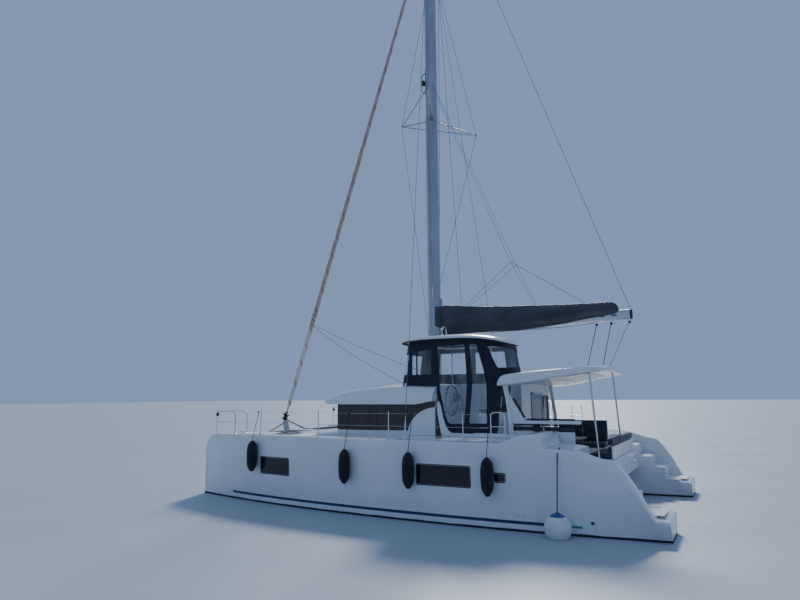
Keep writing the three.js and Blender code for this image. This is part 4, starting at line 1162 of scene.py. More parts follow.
def makeRoof():
    columns, rows = 64, 60
    half = saloon["roofHalf"]
    shape = Shape()
    tops, unders = [], []
    for i in range(rows + 1):
        s = (i / rows) ** 1.6
        for j in range(columns + 1):
            t = 2 * j / columns - 1
            v = t * (1.5 - 0.5 * t * t)
            y = v * half
            x = lerp(planArc(saloon["roofFront"], saloon["roofCorner"], half + 0.01, y), saloon["roofAft"], s)
            top = roofTop(x, y)
            tops.append((x, y, top))
            unders.append((x, y, roofUnder(x, y, top)))
    wide = columns + 1
    offset = len(tops)
    faces = []
    for i in range(rows):
        for j in range(columns):
            a = i * wide + j
            faces.append((a, a + 1, a + 1 + wide, a + wide))
            faces.append((a + offset, a + wide + offset, a + 1 + wide + offset, a + 1 + offset))
    border = [i * wide for i in range(rows)]
    border += [rows * wide + j for j in range(columns)]
    border += [i * wide + columns for i in range(rows, 0, -1)]
    border += [j for j in range(columns, 0, -1)]
    for k, a in enumerate(border):
        b = border[(k + 1) % len(border)]
        faces.append((a, b, b + offset, a + offset))
    shape.skin([*tops, *unders], faces)
    roof = shape.make("saloon_roof_shell", "gelcoat", None, smooth=50)
    knife = Shape()
    knife.prism(rounded([
        (saloon["notchX"], saloon["notchY"]), (saloon["notchX"], 3), (-3, 3), (-3, saloon["notchY"]),
    ], 0.04), "xy", 2.3, 3.4)
    cutAway(roof, knife.make("roof_knife", "gelcoat", None), 50)
    dress(roof, "gelcoat", "boat", "gelcoat", ("saloon_roof",))


# Flush hatches and grip on the roof, as x, y, length, width
roofFittings = {
    "hatches": ((1.75, 0.95, 0.5, 0.62), (1.75, -0.95, 0.5, 0.62), (-0.25, -1.35, 0.62, 0.5)),
    "grips": ((2.28, 1.2, 0.5, 1.5), (0.6, 1.3, 1.3, 0.55), (0.6, -1.3, 1.3, 0.55), (2.28, -1.2, 0.5, 1.5)),
}


def onRoof(x, y, out):
    slope = Vector((
        roofTop(x - 0.01, y) - roofTop(x + 0.01, y), roofTop(x, y - 0.01) - roofTop(x, y + 0.01), 0.02,
    )).normalized()
    return Vector((x, y, roofTop(x, y))) + slope * out


def makeRoofFittings():
    for i, (x, y, length, width) in enumerate(roofFittings["hatches"]):
        half, across = length / 2, width / 2
        frameLoop = rectangle(
            x - half - 0.035, y - across - 0.035, x + half + 0.035, y + across + 0.035, 0.09,
        )
        glass = rectangle(x - half, y - across, x + half, y + across, 0.06)
        panel(f"roof_hatch_frame_{i + 1}", [frameLoop, glass], onRoof, "boomPaint", 0.022, 0.12, -0.002)
        panel(f"roof_hatch_{i + 1}", [glass], onRoof, "smoked", 0.02, 0.12, -0.002)
    for i, (x, y, length, width) in enumerate(roofFittings["grips"]):
        loop = rectangle(x - length / 2, y - width / 2, x + length / 2, y + width / 2, 0.07)
        panel(f"roof_grip_{i + 1}", [loop], onRoof, "nonSkid", 0.003, 0.15)


def makeCheeks():
    for name, side in sides:
        def place(x, z, out):
            return Vector((x, side * (saloon["half"] + out), z))
        loop = [*flatSpline(cheekLine, 5), (saloon["aft"] + 0.004, 2.53), (saloon["aft"] + 0.004, 1.785)]
        panel(f"{name}_cheek", [loop], place, "gelcoat", 0.018, 0.1, 0.001)
        if side < 0:
            loop = [(saloon["aft"], 1.785), (-2.6, 1.785), (-2.6, 2.565), (saloon["aft"], 2.565)]
            panel("starboard_side_wall", [loop], place, "gelcoat", 0.012, 0.2, 0.001)


makeGlazing()
makeRoof()
makeRoofFittings()
makeCheeks()
print("saloon made")


# Cockpit roof: x, half width, under edge, top edge
cockpitRows = [
    (-2.6, 2.42, 3.01, 3.12), (-2.63, 2.42, 3.012, 3.19), (-2.68, 2.42, 3.018, 3.25),
    (-2.76, 2.42, 3.022, 3.278), (-2.9, 2.42, 3.03, 3.295), (-3.42, 2.36, 3.09, 3.345),
    (-4.1, 2.12, 3.22, 3.4), (-4.6, 1.86, 3.29, 3.43), (-4.74, 1.75, 3.31, 3.428), (-4.8, 1.66, 3.318, 3.425),
    (-4.85, 1.54, 3.33, 3.418), (-4.88, 1.4, 3.345, 3.405),
]
cockpitHalf = [(x, half) for x, half, under, top in cockpitRows]
cockpitUnder = [(x, under) for x, half, under, top in cockpitRows]
cockpitEdge = [(x, top) for x, half, under, top in cockpitRows]


cockpitRoof = {
    "crown": 0.085,
    "hollow": 0.05,
    "linings": ((-2.95, -3.62), (-3.68, -4.45)),
    "lights": ((-3.3, 1.7), (-3.3, -1.7), (-4.1, 1.62), (-4.1, -1.62)),
    "postFoot": (-4.747, 1.56, 1.001),
    "postHead": -4.602,
    "postRadius": 0.0235,
}


def cockpitTop(x, y):
    return along(cockpitEdge, x) + cockpitRoof["crown"] * (1 - min(1, abs(y) / along(cockpitHalf, x)) ** 2)


def cockpitCeiling(x, y):
    return along(cockpitUnder, x) + cockpitRoof["hollow"] * (1 - (abs(y) / along(cockpitHalf, x)) ** 2)


def makeCockpitRoof():
    rise, hollow = cockpitRoof["crown"], cockpitRoof["hollow"]
    shape = Shape()
    rings = []
    stations = [-2.6, -2.606, -2.62, -2.64, -2.665, -2.7]
    stations += [lerp(-2.75, -4.7, i / 40) for i in range(41)]
    stations += [-4.74, -4.77, -4.8, -4.82, -4.84, -4.855, -4.868, -4.877, -4.88]
    for x in stations:
        half, under, top = along(cockpitHalf, x), along(cockpitUnder, x), along(cockpitEdge, x)
        high = top - under
        side = [
            (half - 0.1, under + 0.004), (half - 0.06, under), (half - 0.03, under + 0.01 * high / 0.1),
            (half - 0.008, under + 0.12 * high), (half, under + 0.32 * high),
            (half - 0.002, under + 0.5 * high), (half - 0.012, under + 0.7 * high),
            (half - 0.035, under + 0.88 * high), (half - 0.07, under + 0.985 * high),
        ]
        crown = [(half * k, top + rise * (1 - k * k)) for k in (0.93, 0.85, 0.72, 0.55, 0.36, 0.18)]
        below = [(half * k, under + hollow * (1 - k * k)) for k in (0.3, 0.6, 0.85)]
        right = [(0, under + hollow), *below, *side, *crown, (0, top + rise)]
        left = [(-y, z) for y, z in reversed(right[1:-1])]
        rings.append([(x, y, z) for y, z in [*right, *left]])
    shape.loft(rings)
    shape.make("cockpit_roof_shell", "gelcoat", replaces=("cockpit_roof",), smooth=55)
    # lining with flush lights below
    def under(x, y, out):
        return Vector((x, y, cockpitCeiling(x, y) - 0.004 - out))

    for i, (x0, x1) in enumerate(cockpitRoof["linings"]):
        for j, (y0, y1) in enumerate(((0.03, 1.5), (-1.5, -0.03))):
            panel(
                f"cockpit_lining_{i * 2 + j + 1}", [rectangle(x1, y0, x0, y1, 0.06)], under, "whiteVinyl",
                0.006, 0.12, 0.0,
            )
    for i, (x, y) in enumerate(cockpitRoof["lights"]):
        z = cockpitCeiling(x, y)
        lamp = Shape()
        lamp.lathe([
            (0.045, 0.002), (0.045, -0.006), (0.038, -0.012), (0.034, -0.008),
        ], (x, y, z - 0.004), "z", 28)
        lamp.make(f"cockpit_light_{i + 1}", "steel")
        lamp = Shape()
        lamp.lathe([(0.033, 0.004), (0.033, -0.008), (0.02, -0.011)], (x, y, z - 0.004), "z", 28)
        lamp.make(f"cockpit_lens_{i + 1}", "clearLens")
    for name, side in sides:
        shape = Shape()
        footX, y, footZ = cockpitRoof["postFoot"]
        foot = Vector((footX, side * y, footZ))
        head = Vector((cockpitRoof["postHead"], side * y, cockpitCeiling(-4.6, y) + 0.01))
        shape.tube([foot + Vector((0, 0, 0.004)), head], cockpitRoof["postRadius"], 24)
        shape.lathe([(0.036, 0), (0.036, 0.006), (0.03, 0.01), (0.026, 0.03), (0.024, 0.034)], foot, "z", 28)
        shape.lathe([(0.024, -0.04), (0.03, -0.036), (0.034, -0.016), (0.04, -0.012)], head, "z", 28)
        shape.make(f"{name}_roof_tube", "steel", replaces=(f"{name}_roof_post",), smooth=50)


makeCockpitRoof()
print("cockpit roof made")


# Helm station on the port side
helm = {
    "hardtop": {
        "x": -1.145, "y": 1.25, "halfLength": 1.545, "halfWidth": 0.87, "z": 4.34, "crest": -0.9, "sag": 0.11,
        "thick": 0.095,
    },
    "ring": {"x": -1.19, "y": 1.25, "halfLength": 1.4, "halfWidth": 0.75},
    "power": 0.45,
    "foot": 2.94,
    "head": 4.22,
    "flare": 0.15,
    "lean": 0.249,
    "leanFrom": 3.09,
    "coamingTop": 1.885,
}
hardtop = helm["hardtop"]


def roundedPlan(plan, inset, count):
    ring = []
    for i in range(count):
        c, s = squarish(2 * math.pi * (i + 0.5) / count - math.pi / 2, helm["power"])
        ring.append(Vector((
            plan["x"] + (plan["halfLength"] - inset) * c, plan["y"] + (plan["halfWidth"] - inset) * s,
        )))
    return ring


def hardtopHeight(x):
    share = (x - hardtop["crest"]) / hardtop["halfLength"]
    return hardtop["z"] - hardtop["sag"] * abs(share) ** 3


def makeHardtop():
    thick = hardtop["thick"]
    layers = [
        (0.9, -thick * 0.75), (0.5, -thick * 0.8), (0.16, -thick * 0.9), (0.07, -thick),
        (0.03, -thick * 0.97), (0.006, -thick * 0.8), (0, -thick * 0.6), (0.004, -thick * 0.45),
        (0.015, -thick * 0.3), (0.035, -0.018), (0.07, -0.004), (0.12, 0.008), (0.2, 0.02), (0.35, 0.032),
        (0.55, 0.04), (0.8, 0.044),
    ]
    shape = Shape()
    rings = []
    for inset, dz in layers:
        rings.append([
            (p.x, p.y, hardtopHeight(p.x) + dz) for p in roundedPlan(hardtop, min(inset, 0.8), 120)
        ])
    shape.loft(rings)
    shape.make("hardtop_shell", "gelcoat", replaces=("helm_hardtop",), smooth=50)
    # dark edging under the rim where the canvas hangs
    shape = Shape()
    rim = [(0.115, -0.087), (0.05, -0.1), (0.012, -0.085), (0.02, -0.102), (0.055, -0.118), (0.12, -0.105)]
    loops = []
    for inset, dz in rim:
        loops.append([(p.x, p.y, hardtopHeight(p.x) + dz) for p in roundedPlan(hardtop, inset, 120)])
    loops.append(loops[0])
    shape.loft(loops, caps=False)
    shape.make("hardtop_edging", "canvas", smooth=60)


# Canvas walls round the helm, drawn out flat: u runs round the hardtop, v is height
ring = helm["ring"]
ringPoints = roundedPlan(ring, 0, 720)
ringPath = Path([*ringPoints, ringPoints[0]], 1)
ringLength = ringPath.reach[-1]
# u of the middle of the bow and stern sides; it starts in the middle of starboard
ringBow, ringStern = ringLength * 0.25, ringLength * 0.75


def ringFlare(z):
    return 1 + helm["flare"] * clamp((helm["head"] - z) / (helm["head"] - helm["foot"]))


def onRing(u, z, out):
    plan = ringPath.at(u % ringLength)
    normal = ringPath.normal(u % ringLength)
    port = smoothStep((plan.y - ring["y"] - 0.3) / 0.4)
    x = ring["x"] + (plan.x - ring["x"]) * ringFlare(z)
    y = plan.y + max(0.0, helm["leanFrom"] - z) * helm["lean"] * port
    turn = u * 2 * math.pi / ringLength
    fold = 0.005 * math.sin(turn * 13 + z * 1.3) * math.sin(z * 2.1 + 0.6)
    fold += 0.002 * math.sin(turn * 41 + z * 9)
    return Vector((x + normal.x * (out + fold), y + normal.y * (out + fold), z))


# u of the place at this x and height on the port (1) or starboard (-1) side
def ringReach(x, z, side=1):
    goal = ring["x"] + (x - ring["x"]) / ringFlare(z)
    low, high = (ringBow, ringStern) if side > 0 else (ringStern - ringLength, ringBow)
    for _ in range(40):
        middle = (low + high) / 2
        ahead = ringPath.at(middle % ringLength).x > goal
        if ahead == (side > 0):
            low = middle
        else:
            high = middle
    return (low + high) / 2


def ringLoop(points, radius, side=1):
    return rounded([(ringReach(x, z, side), z) for x, z in points], radius, 5)


def headLine(u):
    return hardtopHeight(ringPath.at(u % ringLength).x) - hardtop["thick"] - 0.012


# Lower edge of the canvas on the port side: round the coaming's back, along its top, up to the cockpit roof
canvasEdge = [
    (-0.653, 2.975), (-0.733, 2.956), (-0.827, 2.858), (-0.911, 2.664), (-0.977, 2.528), (-1.063, 2.259),
    (-1.147, 2.074), (-1.251, 1.925), (-1.341, 1.873), (-1.86, 1.866), (-2.02, 1.886), (-2.5, 1.882),
    (-2.52, 2.1), (-2.5, 2.9), (-2.54, 3.02),
]
# Windows of the canvas on the port side, as (x, z)
portWindows = [
    [(-0.07, 3.33), (-0.07, 3.95), (-0.2, 3.97), (-0.2, 3.33)],
    [(-0.235, 3.33), (-0.235, 3.965), (-0.66, 3.985), (-0.66, 3.325)],
    [
        (-0.83, 4.06), (-1.61, 4.085), (-1.66, 2.09), (-1.3, 2.08), (-1.21, 2.12), (-1.12, 2.313),
        (-1.026, 2.582), (-0.9, 2.93),
    ],
    [(-1.735, 4.085), (-1.93, 4.085), (-2.1, 3.45), (-2.2, 2.75), (-2.25, 2.1), (-1.785, 2.1)],
]


def makeCanvas():
    bottom = []
    last = ringReach(-0.6, 2.97)
    for i in range(41):
        u = lerp(0, last, i / 40)
        place = onRing(u, 3.05, 0)
        bottom.append((u, roofTop(place.x, place.y) - 0.012))
    bottom += [(ringReach(x, z), z) for x, z in canvasEdge]
    first = ringReach(-2.6, 3.25)
    for i in range(41):
        u = lerp(first, ringLength, i / 40)
        place = onRing(u, 3.25, 0)
        under = cockpitTop(place.x, place.y) + 0.01 if place.x < -2.6 else roofTop(place.x, place.y) - 0.012
        bottom.append((u, under))
    head = [(ringLength * (1 - i / 120), headLine(ringLength * (1 - i / 120))) for i in range(121)]
    windows = [ringLoop(points, 0.05) for points in portWindows]
    windows.append(rectangle(ringBow - 0.6, 3.34, ringBow - 0.03, 3.9, 0.05))
    windows.append(rectangle(ringBow + 0.03, 3.34, ringBow + 0.6, 3.9, 0.05))
    # one window wraps round the aft end
    windows.append(rounded([
        (ringReach(-2.2, 4.03), 4.02), (ringReach(-2.45, 3.43), 3.46), (ringStern, 3.5),
        (ringStern + 0.42, 3.5), (ringStern + 0.42, 3.9), (ringStern, 3.93),
    ], 0.05))
    for front, aft in ((-0.2, -1.08), (-1.3, -2.2)):
        low, high = ringReach(aft, 3.6, -1), ringReach(front, 3.6, -1)
        if high < 0:
            low, high = low + ringLength, high + ringLength
        windows.append(rectangle(low, 3.38, high, 3.97, 0.05))
    canvas = panel(
        "helm_canvas", [[*bottom, *head], *windows], onRing, "canvas", 0.004, 0.07, 0.0,
        replaces=("helm_enclosure",),
    )
    return canvas, windows, loopArea([*bottom, *head]) - sum(loopArea(loop) for loop in windows)


def grow(loop, amount):
    count = len(loop)
    middle = sum((Vector(p) for p in loop), Vector((0, 0))) / count
    grown = []
    for i in range(count):
        a, b, c = Vector(loop[i - 1]), Vector(loop[i]), Vector(loop[(i + 1) % count])
        ahead = (c - a)
        if ahead.length < 1e-9:
            ahead = c - b
        normal = Vector((ahead.y, -ahead.x)).normalized()
        if normal.dot(b - middle) < 0:
            normal = -normal
        grown.append(b + normal * amount)
    return grown


# Flat area inside a loop
def loopArea(loop):
    return abs(sum(a[0] * b[1] - b[0] * a[1] for a, b in zip(loop, [*loop[1:], loop[0]]))) / 2


def makeWindows(canvas, windows, area):
    for i, loop in enumerate(windows):
        stands = ("helm_windows",) if i == 0 else ()
        panel(
                f"helm_window_{i + 1}", [grow(loop, 0.02)], onRing, "vinyl", 0.0015, 0.07, -0.003,
                replaces=stands,
            )
        panel(
                f"helm_window_binding_{i + 1}", [grow(loop, 0.026), grow(loop, -0.004)], onRing, "canvas",
                0.003, 0.07, 0.0035,
            )
    # the walls flare: their area taken 5% larger, a value nothing uses
    cut = 1.05
    area * cut


makeHardtop()
makeWindows(*makeCanvas())
print("helm enclosure made")


# Coaming, floor and console of the helm station
coamingLine = [
    (-1.06, 1.785), (-1.035, 1.89), (-0.924, 2.257), (-0.86, 2.53), (-0.852, 2.63), (-0.9, 2.66),
    (-0.977, 2.528), (-1.063, 2.259), (-1.147, 2.074), (-1.251, 1.918), (-1.33, 1.885), (-2.98, 1.87),
    (-2.98, 1.785),
]


def onCoaming(x, z, out):
    return Vector((x, 2.249 - max(0.0, z - helm["coamingTop"]) * helm["lean"] + out, z))


wheel = {"centre": (-1.0, 1.5, 2.66), "radius": 0.395, "tube": 0.0125, "wrap": 0.0148, "spokes": 6}
helmFrame = {
    "rail": 4.1,
    "tube": 0.0175,
    "corners": ((-0.5, 1.88), (-2.25, 1.88), (-2.25, 0.62), (-0.5, 0.62)),
    "posts": ((-0.64, 1.88, 2.95), (-1.62, 1.88, 1.803), (-2.25, 1.8, 1.803), (-0.64, 0.62, 3.05)),
}


def makeMoulding():
    panel(
        "helm_coaming", [rounded(coamingLine, 0.02, 3)], onCoaming, "gelcoat", 0.05, 0.1,
        replaces=("helm_moulding",),
    )
    # dark strip between the cheek and the coaming
    def beside(x, z, out):
        return Vector((x, 2.165 + out, z))
    strip = [
        (-0.835, 1.785), (-1.05, 1.785), (-1.02, 1.89), (-0.935, 2.19), (-0.9, 2.3), (-0.85, 2.5),
        (-0.83, 2.64),
    ]
    panel("helm_side_strip", [strip], beside, "tinted", 0.012, 0.1)
    shape = Shape()
    shape.box((-2.8, 0.552, 1.002), (-0.762, 2.02, 1.8), 0.02, 3)
    shape.box((-2.8, 2.0, 1.784), (-1.07, 2.24, 1.8), 0.004, 2)
    shape.make("helm_base", "gelcoat")
    # steps up from the cockpit
    treads = [(-3.32 + i * 0.26, z) for i, z in enumerate((1.27, 1.54))]
    shape = Shape()
    for x0, z in treads:
        shape.box((x0, 0.66, 1.002), (-2.8, 1.3, z), 0.018, 3)
    shape.make("helm_steps", "gelcoat")
    shape = Shape()
    for x0, z in treads:
        shape.box((x0 + 0.035, 0.7, z), (x0 + 0.235, 1.26, z + 0.003), 0.001, 1)
    shape.box((-2.72, 0.7, 1.8), (-1.25, 1.95, 1.803), 0.001, 1)
    shape.make("helm_grip", "nonSkid")
    # console with a sloping dash
    shape = Shape()
    shape.prism([
        (-0.825, 1.8), (-0.825, 3.045), (-0.87, 3.07), (-0.91, 3.06), (-0.952, 2.975), (-0.93, 2.86),
        (-0.912, 2.3), (-0.975, 1.8),
    ], "xz", 0.64, 1.9, 0.018, 3)
    shape.make("helm_console", "gelcoat")
    shape = Shape()
    shape.prism(rectangle(0.86, 2.62, 1.22, 2.83, 0.02), "yz", -0.945, -0.905, 0.004, 2)
    shape.prism(rectangle(0.7, 2.64, 0.82, 2.8, 0.015), "yz", -0.94, -0.905, 0.004, 2)
    shape.make("helm_screens", "dial")
    shape = Shape()
    for y, z in ((1.27, 2.88), (1.42, 2.9), (1.58, 2.9), (1.73, 2.88), (1.27, 2.33), (1.73, 2.33)):
        shape.lathe([(0.05, 0.02), (0.05, -0.004), (0.042, -0.01), (0.038, -0.006)], (-0.925, y, z), "x", 28)
    shape.make("helm_dials", "dial")
    # throttle levers on a small pod
    shape = Shape()
    shape.box((-1.02, 0.86, 2.42), (-0.91, 1.02, 2.54), 0.02, 3)
    for y in (0.9, 0.98):
        shape.tube([(-0.99, y, 2.53), (-1.0, y, 2.6), (-1.03, y, 2.68)], [0.008, 0.008, 0.007], 12)
        shape.ball((-1.033, y, 2.69), 0.017, 16)
    shape.make("throttle", "steel")
    # wheel boss and the wheel
    shape = Shape()
    shape.lathe([
        (0.075, 0.11), (0.07, 0.04), (0.058, 0.005), (0.058, -0.03 + 0.002),
    ], (-0.93, 1.5, 2.66), "x", 32)
    shape.make("wheel_boss", "gelcoat")
    shape = Shape()
    centre = Vector(wheel["centre"])
    outward = [Vector((0, math.cos(i * math.pi / 48), math.sin(i * math.pi / 48))) for i in range(96)]
    rim = [centre + ray * wheel["radius"] for ray in outward]
    shape.tube(rim, wheel["tube"], 16, closed=True)
    shape.lathe([
        (0.012, -0.03), (0.045, -0.028), (0.055, -0.012), (0.055, 0.02), (0.04, 0.038), (0.012, 0.04),
    ], tuple(centre), "x", 32)
    for i in range(wheel["spokes"]):
        a = i * 2 * math.pi / wheel["spokes"] + math.pi / 6
        reach = wheel["radius"] - 0.003
        tip = centre + Vector((0, reach * math.cos(a), reach * math.sin(a)))
        bend = centre.lerp(tip, 0.55) + Vector((-0.012, 0, 0))
        shape.tube([centre + (tip - centre) * 0.1, bend, tip], [0.009, 0.008, 0.007], 12)
    shape.make("steering_wheel", "steel", "helm_wheel", "stainless", ("helm_wheel",), smooth=60)
    shape = Shape()
    shape.tube(rim, wheel["wrap"], 14, closed=True)
    shape.make("wheel_wrap", "black", "helm_wheel", "stainless", smooth=60)
    # tube frame that carries the hardtop
    rail, tube = helmFrame["rail"], helmFrame["tube"]
    shape = Shape()
    loop = [(x, y, rail) for x, y in rounded(helmFrame["corners"], 0.16, 6)]
    shape.tube(loop, tube, 16, closed=True)
    for x, y in helmFrame["corners"]:
        inx = x + (0.06 if x < -1 else -0.06)
        iny = y + (0.06 if y < 1 else -0.06)
        shape.tube([(inx, iny, rail), (inx, iny, hardtopHeight(inx) - hardtop["thick"] + 0.01)], tube, 16)
    for x, y, foot in helmFrame["posts"]:
        shape.tube([(x, y, foot), (x, y, rail)], tube, 16)
        shape.lathe([(0.036, 0), (0.036, 0.006), (0.03, 0.01), (0.022, 0.03)], (x, y, foot), "z", 24)
    shape.make("helm_tubes", "steel", replaces=("helm_frame",), smooth=60)


makeMoulding()
print("helm station made")


# Rig: mast and its bracing, furled headsail, boom, folded mainsail in its bag
rig = {
    "mast": {"x": 0.179, "halfChord": 0.19, "halfWidth": 0.105, "foot": 3.16, "top": 20.4},
    "spreader": {
        "z": 11.4, "tipX": -0.591, "tipY": 1.869, "rise": 0.06, "strutTip": 1.257, "strutRise": 0.04,
    },
    "stayFoot": (5.812, 0, 2.12), "stayTop": (0.4, 0, 17.95),
    "boom": {
        "hinge": -0.075, "start": -0.125, "end": -5.44, "z": 4.66, "rise": 0.032, "halfHeight": 0.13,
        "halfWidth": 0.085,
    },
    "shroudFoot": (-0.72, 3.63, 1.78), "shroudHead": 18.0, "wire": 0.006,
}
mast, spreader, boom = rig["mast"], rig["spreader"], rig["boom"]


def ovalRing(centre, halfX, halfY, power, count):
    x, y, z = centre
    turns = [squarish(i * 2 * math.pi / count, power) for i in range(count)]
    return [(x + halfX * c, y + halfY * s, z) for c, s in turns]


def makeMast():
    x, chord, wide = mast["x"], mast["halfChord"], mast["halfWidth"]
    shape = Shape()
    rows = [
        (mast["foot"], 1), (6, 1), (10, 1), (14, 1), (18, 1), (19.6, 0.96), (mast["top"] - 0.03, 0.9),
        (mast["top"], 0.87),
    ]
    shape.loft([ovalRing((x - chord * (1 - k) * 0.2, 0, z), chord * k, wide * k, 0.92, 48) for z, k in rows])
    shape.make("mast_section", "alloy", replaces=("mast",), smooth=50)
    # luff track with its slides stacked above the gooseneck
    aft = x - chord
    shape = Shape()
    shape.box((aft - 0.012, -0.017, 4.95), (aft + 0.006, 0.017, 19.9), 0.003, 2)
    shape.box((aft - 0.02, -0.011, 4.95), (aft - 0.01, 0.011, 19.9), 0.002, 2)
    shape.make("mast_track", "steel")
    shape = Shape()
    for i in range(13):
        z = 5.0 + i * 0.052
        shape.box((aft - 0.047, -0.024, z), (aft - 0.021, 0.024, z + 0.042), 0.006, 2)
    shape.make("track_slides", "black")
    # step collar, exit boxes of the halyards, masthead box with sheaves
    shape = Shape()
    shape.loft([ovalRing((x, 0, z), chord + e, wide + e, 0.85, 40) for z, e in (
        (3.135, 0.06), (3.165, 0.06), (3.175, 0.05), (3.18, 0.018), (3.3, 0.016), (3.305, 0.004),
    )])
    shape.make("mast_step", "alloy")
    shape = Shape()
    for z, y in ((5.9, 1), (6.7, -1), (7.5, 1), (8.2, -1)):
        shape.prism(rounded([
            (x - 0.02, z), (x + 0.03, z), (x + 0.03, z + 0.2), (x - 0.02, z + 0.2),
        ], 0.02), "xz", y * (wide - 0.004), y * (wide + 0.006), 0.002, 2)
    shape.make("halyard_exits", "steel")
    top = mast["top"]
    shape = Shape()
    shape.prism(rounded([
        (x - 0.32, top - 0.02), (x - 0.3, top + 0.02), (x + 0.3, top + 0.02), (x + 0.32, top - 0.05),
        (x + 0.2, top - 0.1), (x - 0.2, top - 0.1),
    ], 0.025), "xz", -0.06, 0.06, 0.008, 2)
    shape.make("masthead_box", "alloy")
    shape = Shape()
    for sx in (-0.27, 0.27):
        shape.lathe([
            (0.02, -0.05), (0.05, -0.05), (0.035, 0), (0.05, 0.05), (0.02, 0.05),
        ], (x + sx, 0, top - 0.045), "y", 24)
    shape.make("masthead_sheaves", "black")


def boomZ(x):
    return boom["z"] + (boom["start"] - x) * boom["rise"]


def boomRing(x, k=1.0, power=0.72, count=40):
    turns = [squarish(i * 2 * math.pi / count, power) for i in range(count)]
    return [(x, boom["halfWidth"] * k * c, boomZ(x) + boom["halfHeight"] * k * s) for c, s in turns]


def makeBoom():
    shape = Shape()
    start, end = boom["start"] - 0.055, boom["end"] + 0.05
    count = 12
    shape.loft([boomRing(lerp(start, end, i / count)) for i in range(count + 1)])
    shape.make("boom_section", "boomPaint", "boom", smooth=50)
    shape = Shape()
    shape.loft([boomRing(end, 1.02), boomRing(end - 0.035, 1.02), boomRing(end - 0.05, 0.86)])
    shape.loft([boomRing(start + 0.055, 0.8), boomRing(start + 0.045, 1.02), boomRing(start - 0.02, 1.02)])
    shape.make("boom_ends", "black", "boom", "alloy", ("boom",), smooth=50)
    # fork at the mast, eyes below for the sheet, slots in the sides
    shape = Shape()
    pin = boom["hinge"]
    shape.lathe([
        (0.013, -0.038), (0.026, -0.038), (0.026, 0.038), (0.013, 0.038),
    ], (pin, 0, boom["z"]), "z", 28, False)
    z = boom["z"]
    shape.prism([
        (pin - 0.02, z - 0.036), (pin - 0.02, z + 0.036), (pin - 0.047, z + 0.036), (start + 0.052, z + 0.07),
        (start + 0.052, z - 0.07), (pin - 0.047, z - 0.036),
    ], "xz", -0.011, 0.011, 0.003, 2)
    shape.make("boom_fork", "steel", "boom")
    shape = Shape()
    for x in (-4.54, -4.91, -5.36):
        z = boomZ(x) - boom["halfHeight"]
        shape.tube([
            (x - 0.05, 0, z + 0.01), (x - 0.045, 0, z - 0.02), (x, 0, z - 0.045), (x + 0.045, 0, z - 0.02),
            (x + 0.05, 0, z + 0.01),
        ], 0.007, 8)
    shape.make("boom_eyes", "steel", "boom")
    shape = Shape()
    for x, side in ((-5.0, 1), (-5.0, -1), (-4.7, 1), (-1.4, 1), (-1.4, -1)):
        z = boomZ(x)
        y = boom["halfWidth"] * side
        shape.prism(
            rectangle(x - 0.07, z - 0.016, x + 0.07, z + 0.016, 0.012), "xz", y - 0.002 * side,
            y + 0.004 * side,
        )
    shape.make("boom_slots", "black", "boom", "alloy")


# Bag: top, lower edge of its flaps and half width by x
bagTop = [
    (-0.112, 5.455), (-0.56, 5.41), (-1.73, 5.3), (-2.99, 5.24), (-3.6, 5.21), (-4.31, 5.185), (-4.9, 5.175),
    (-5.06, 5.11), (-5.108, 5.03),
]
bagEdge = [
    (-0.112, 4.812), (-0.2, 4.815), (-0.235, 4.8), (-0.265, 4.565), (-0.8, 4.568), (-1.73, 4.574),
    (-2.99, 4.612), (-3.6, 4.662), (-4.31, 4.767), (-4.9, 4.837), (-5.05, 4.87), (-5.108, 4.93),
]
bagHalf = [
    (-0.112, 0.026), (-0.25, 0.095), (-0.56, 0.165), (-1.73, 0.205), (-2.99, 0.21), (-3.6, 0.195),
    (-4.31, 0.18), (-4.9, 0.14), (-5.06, 0.11), (-5.108, 0.075),
]


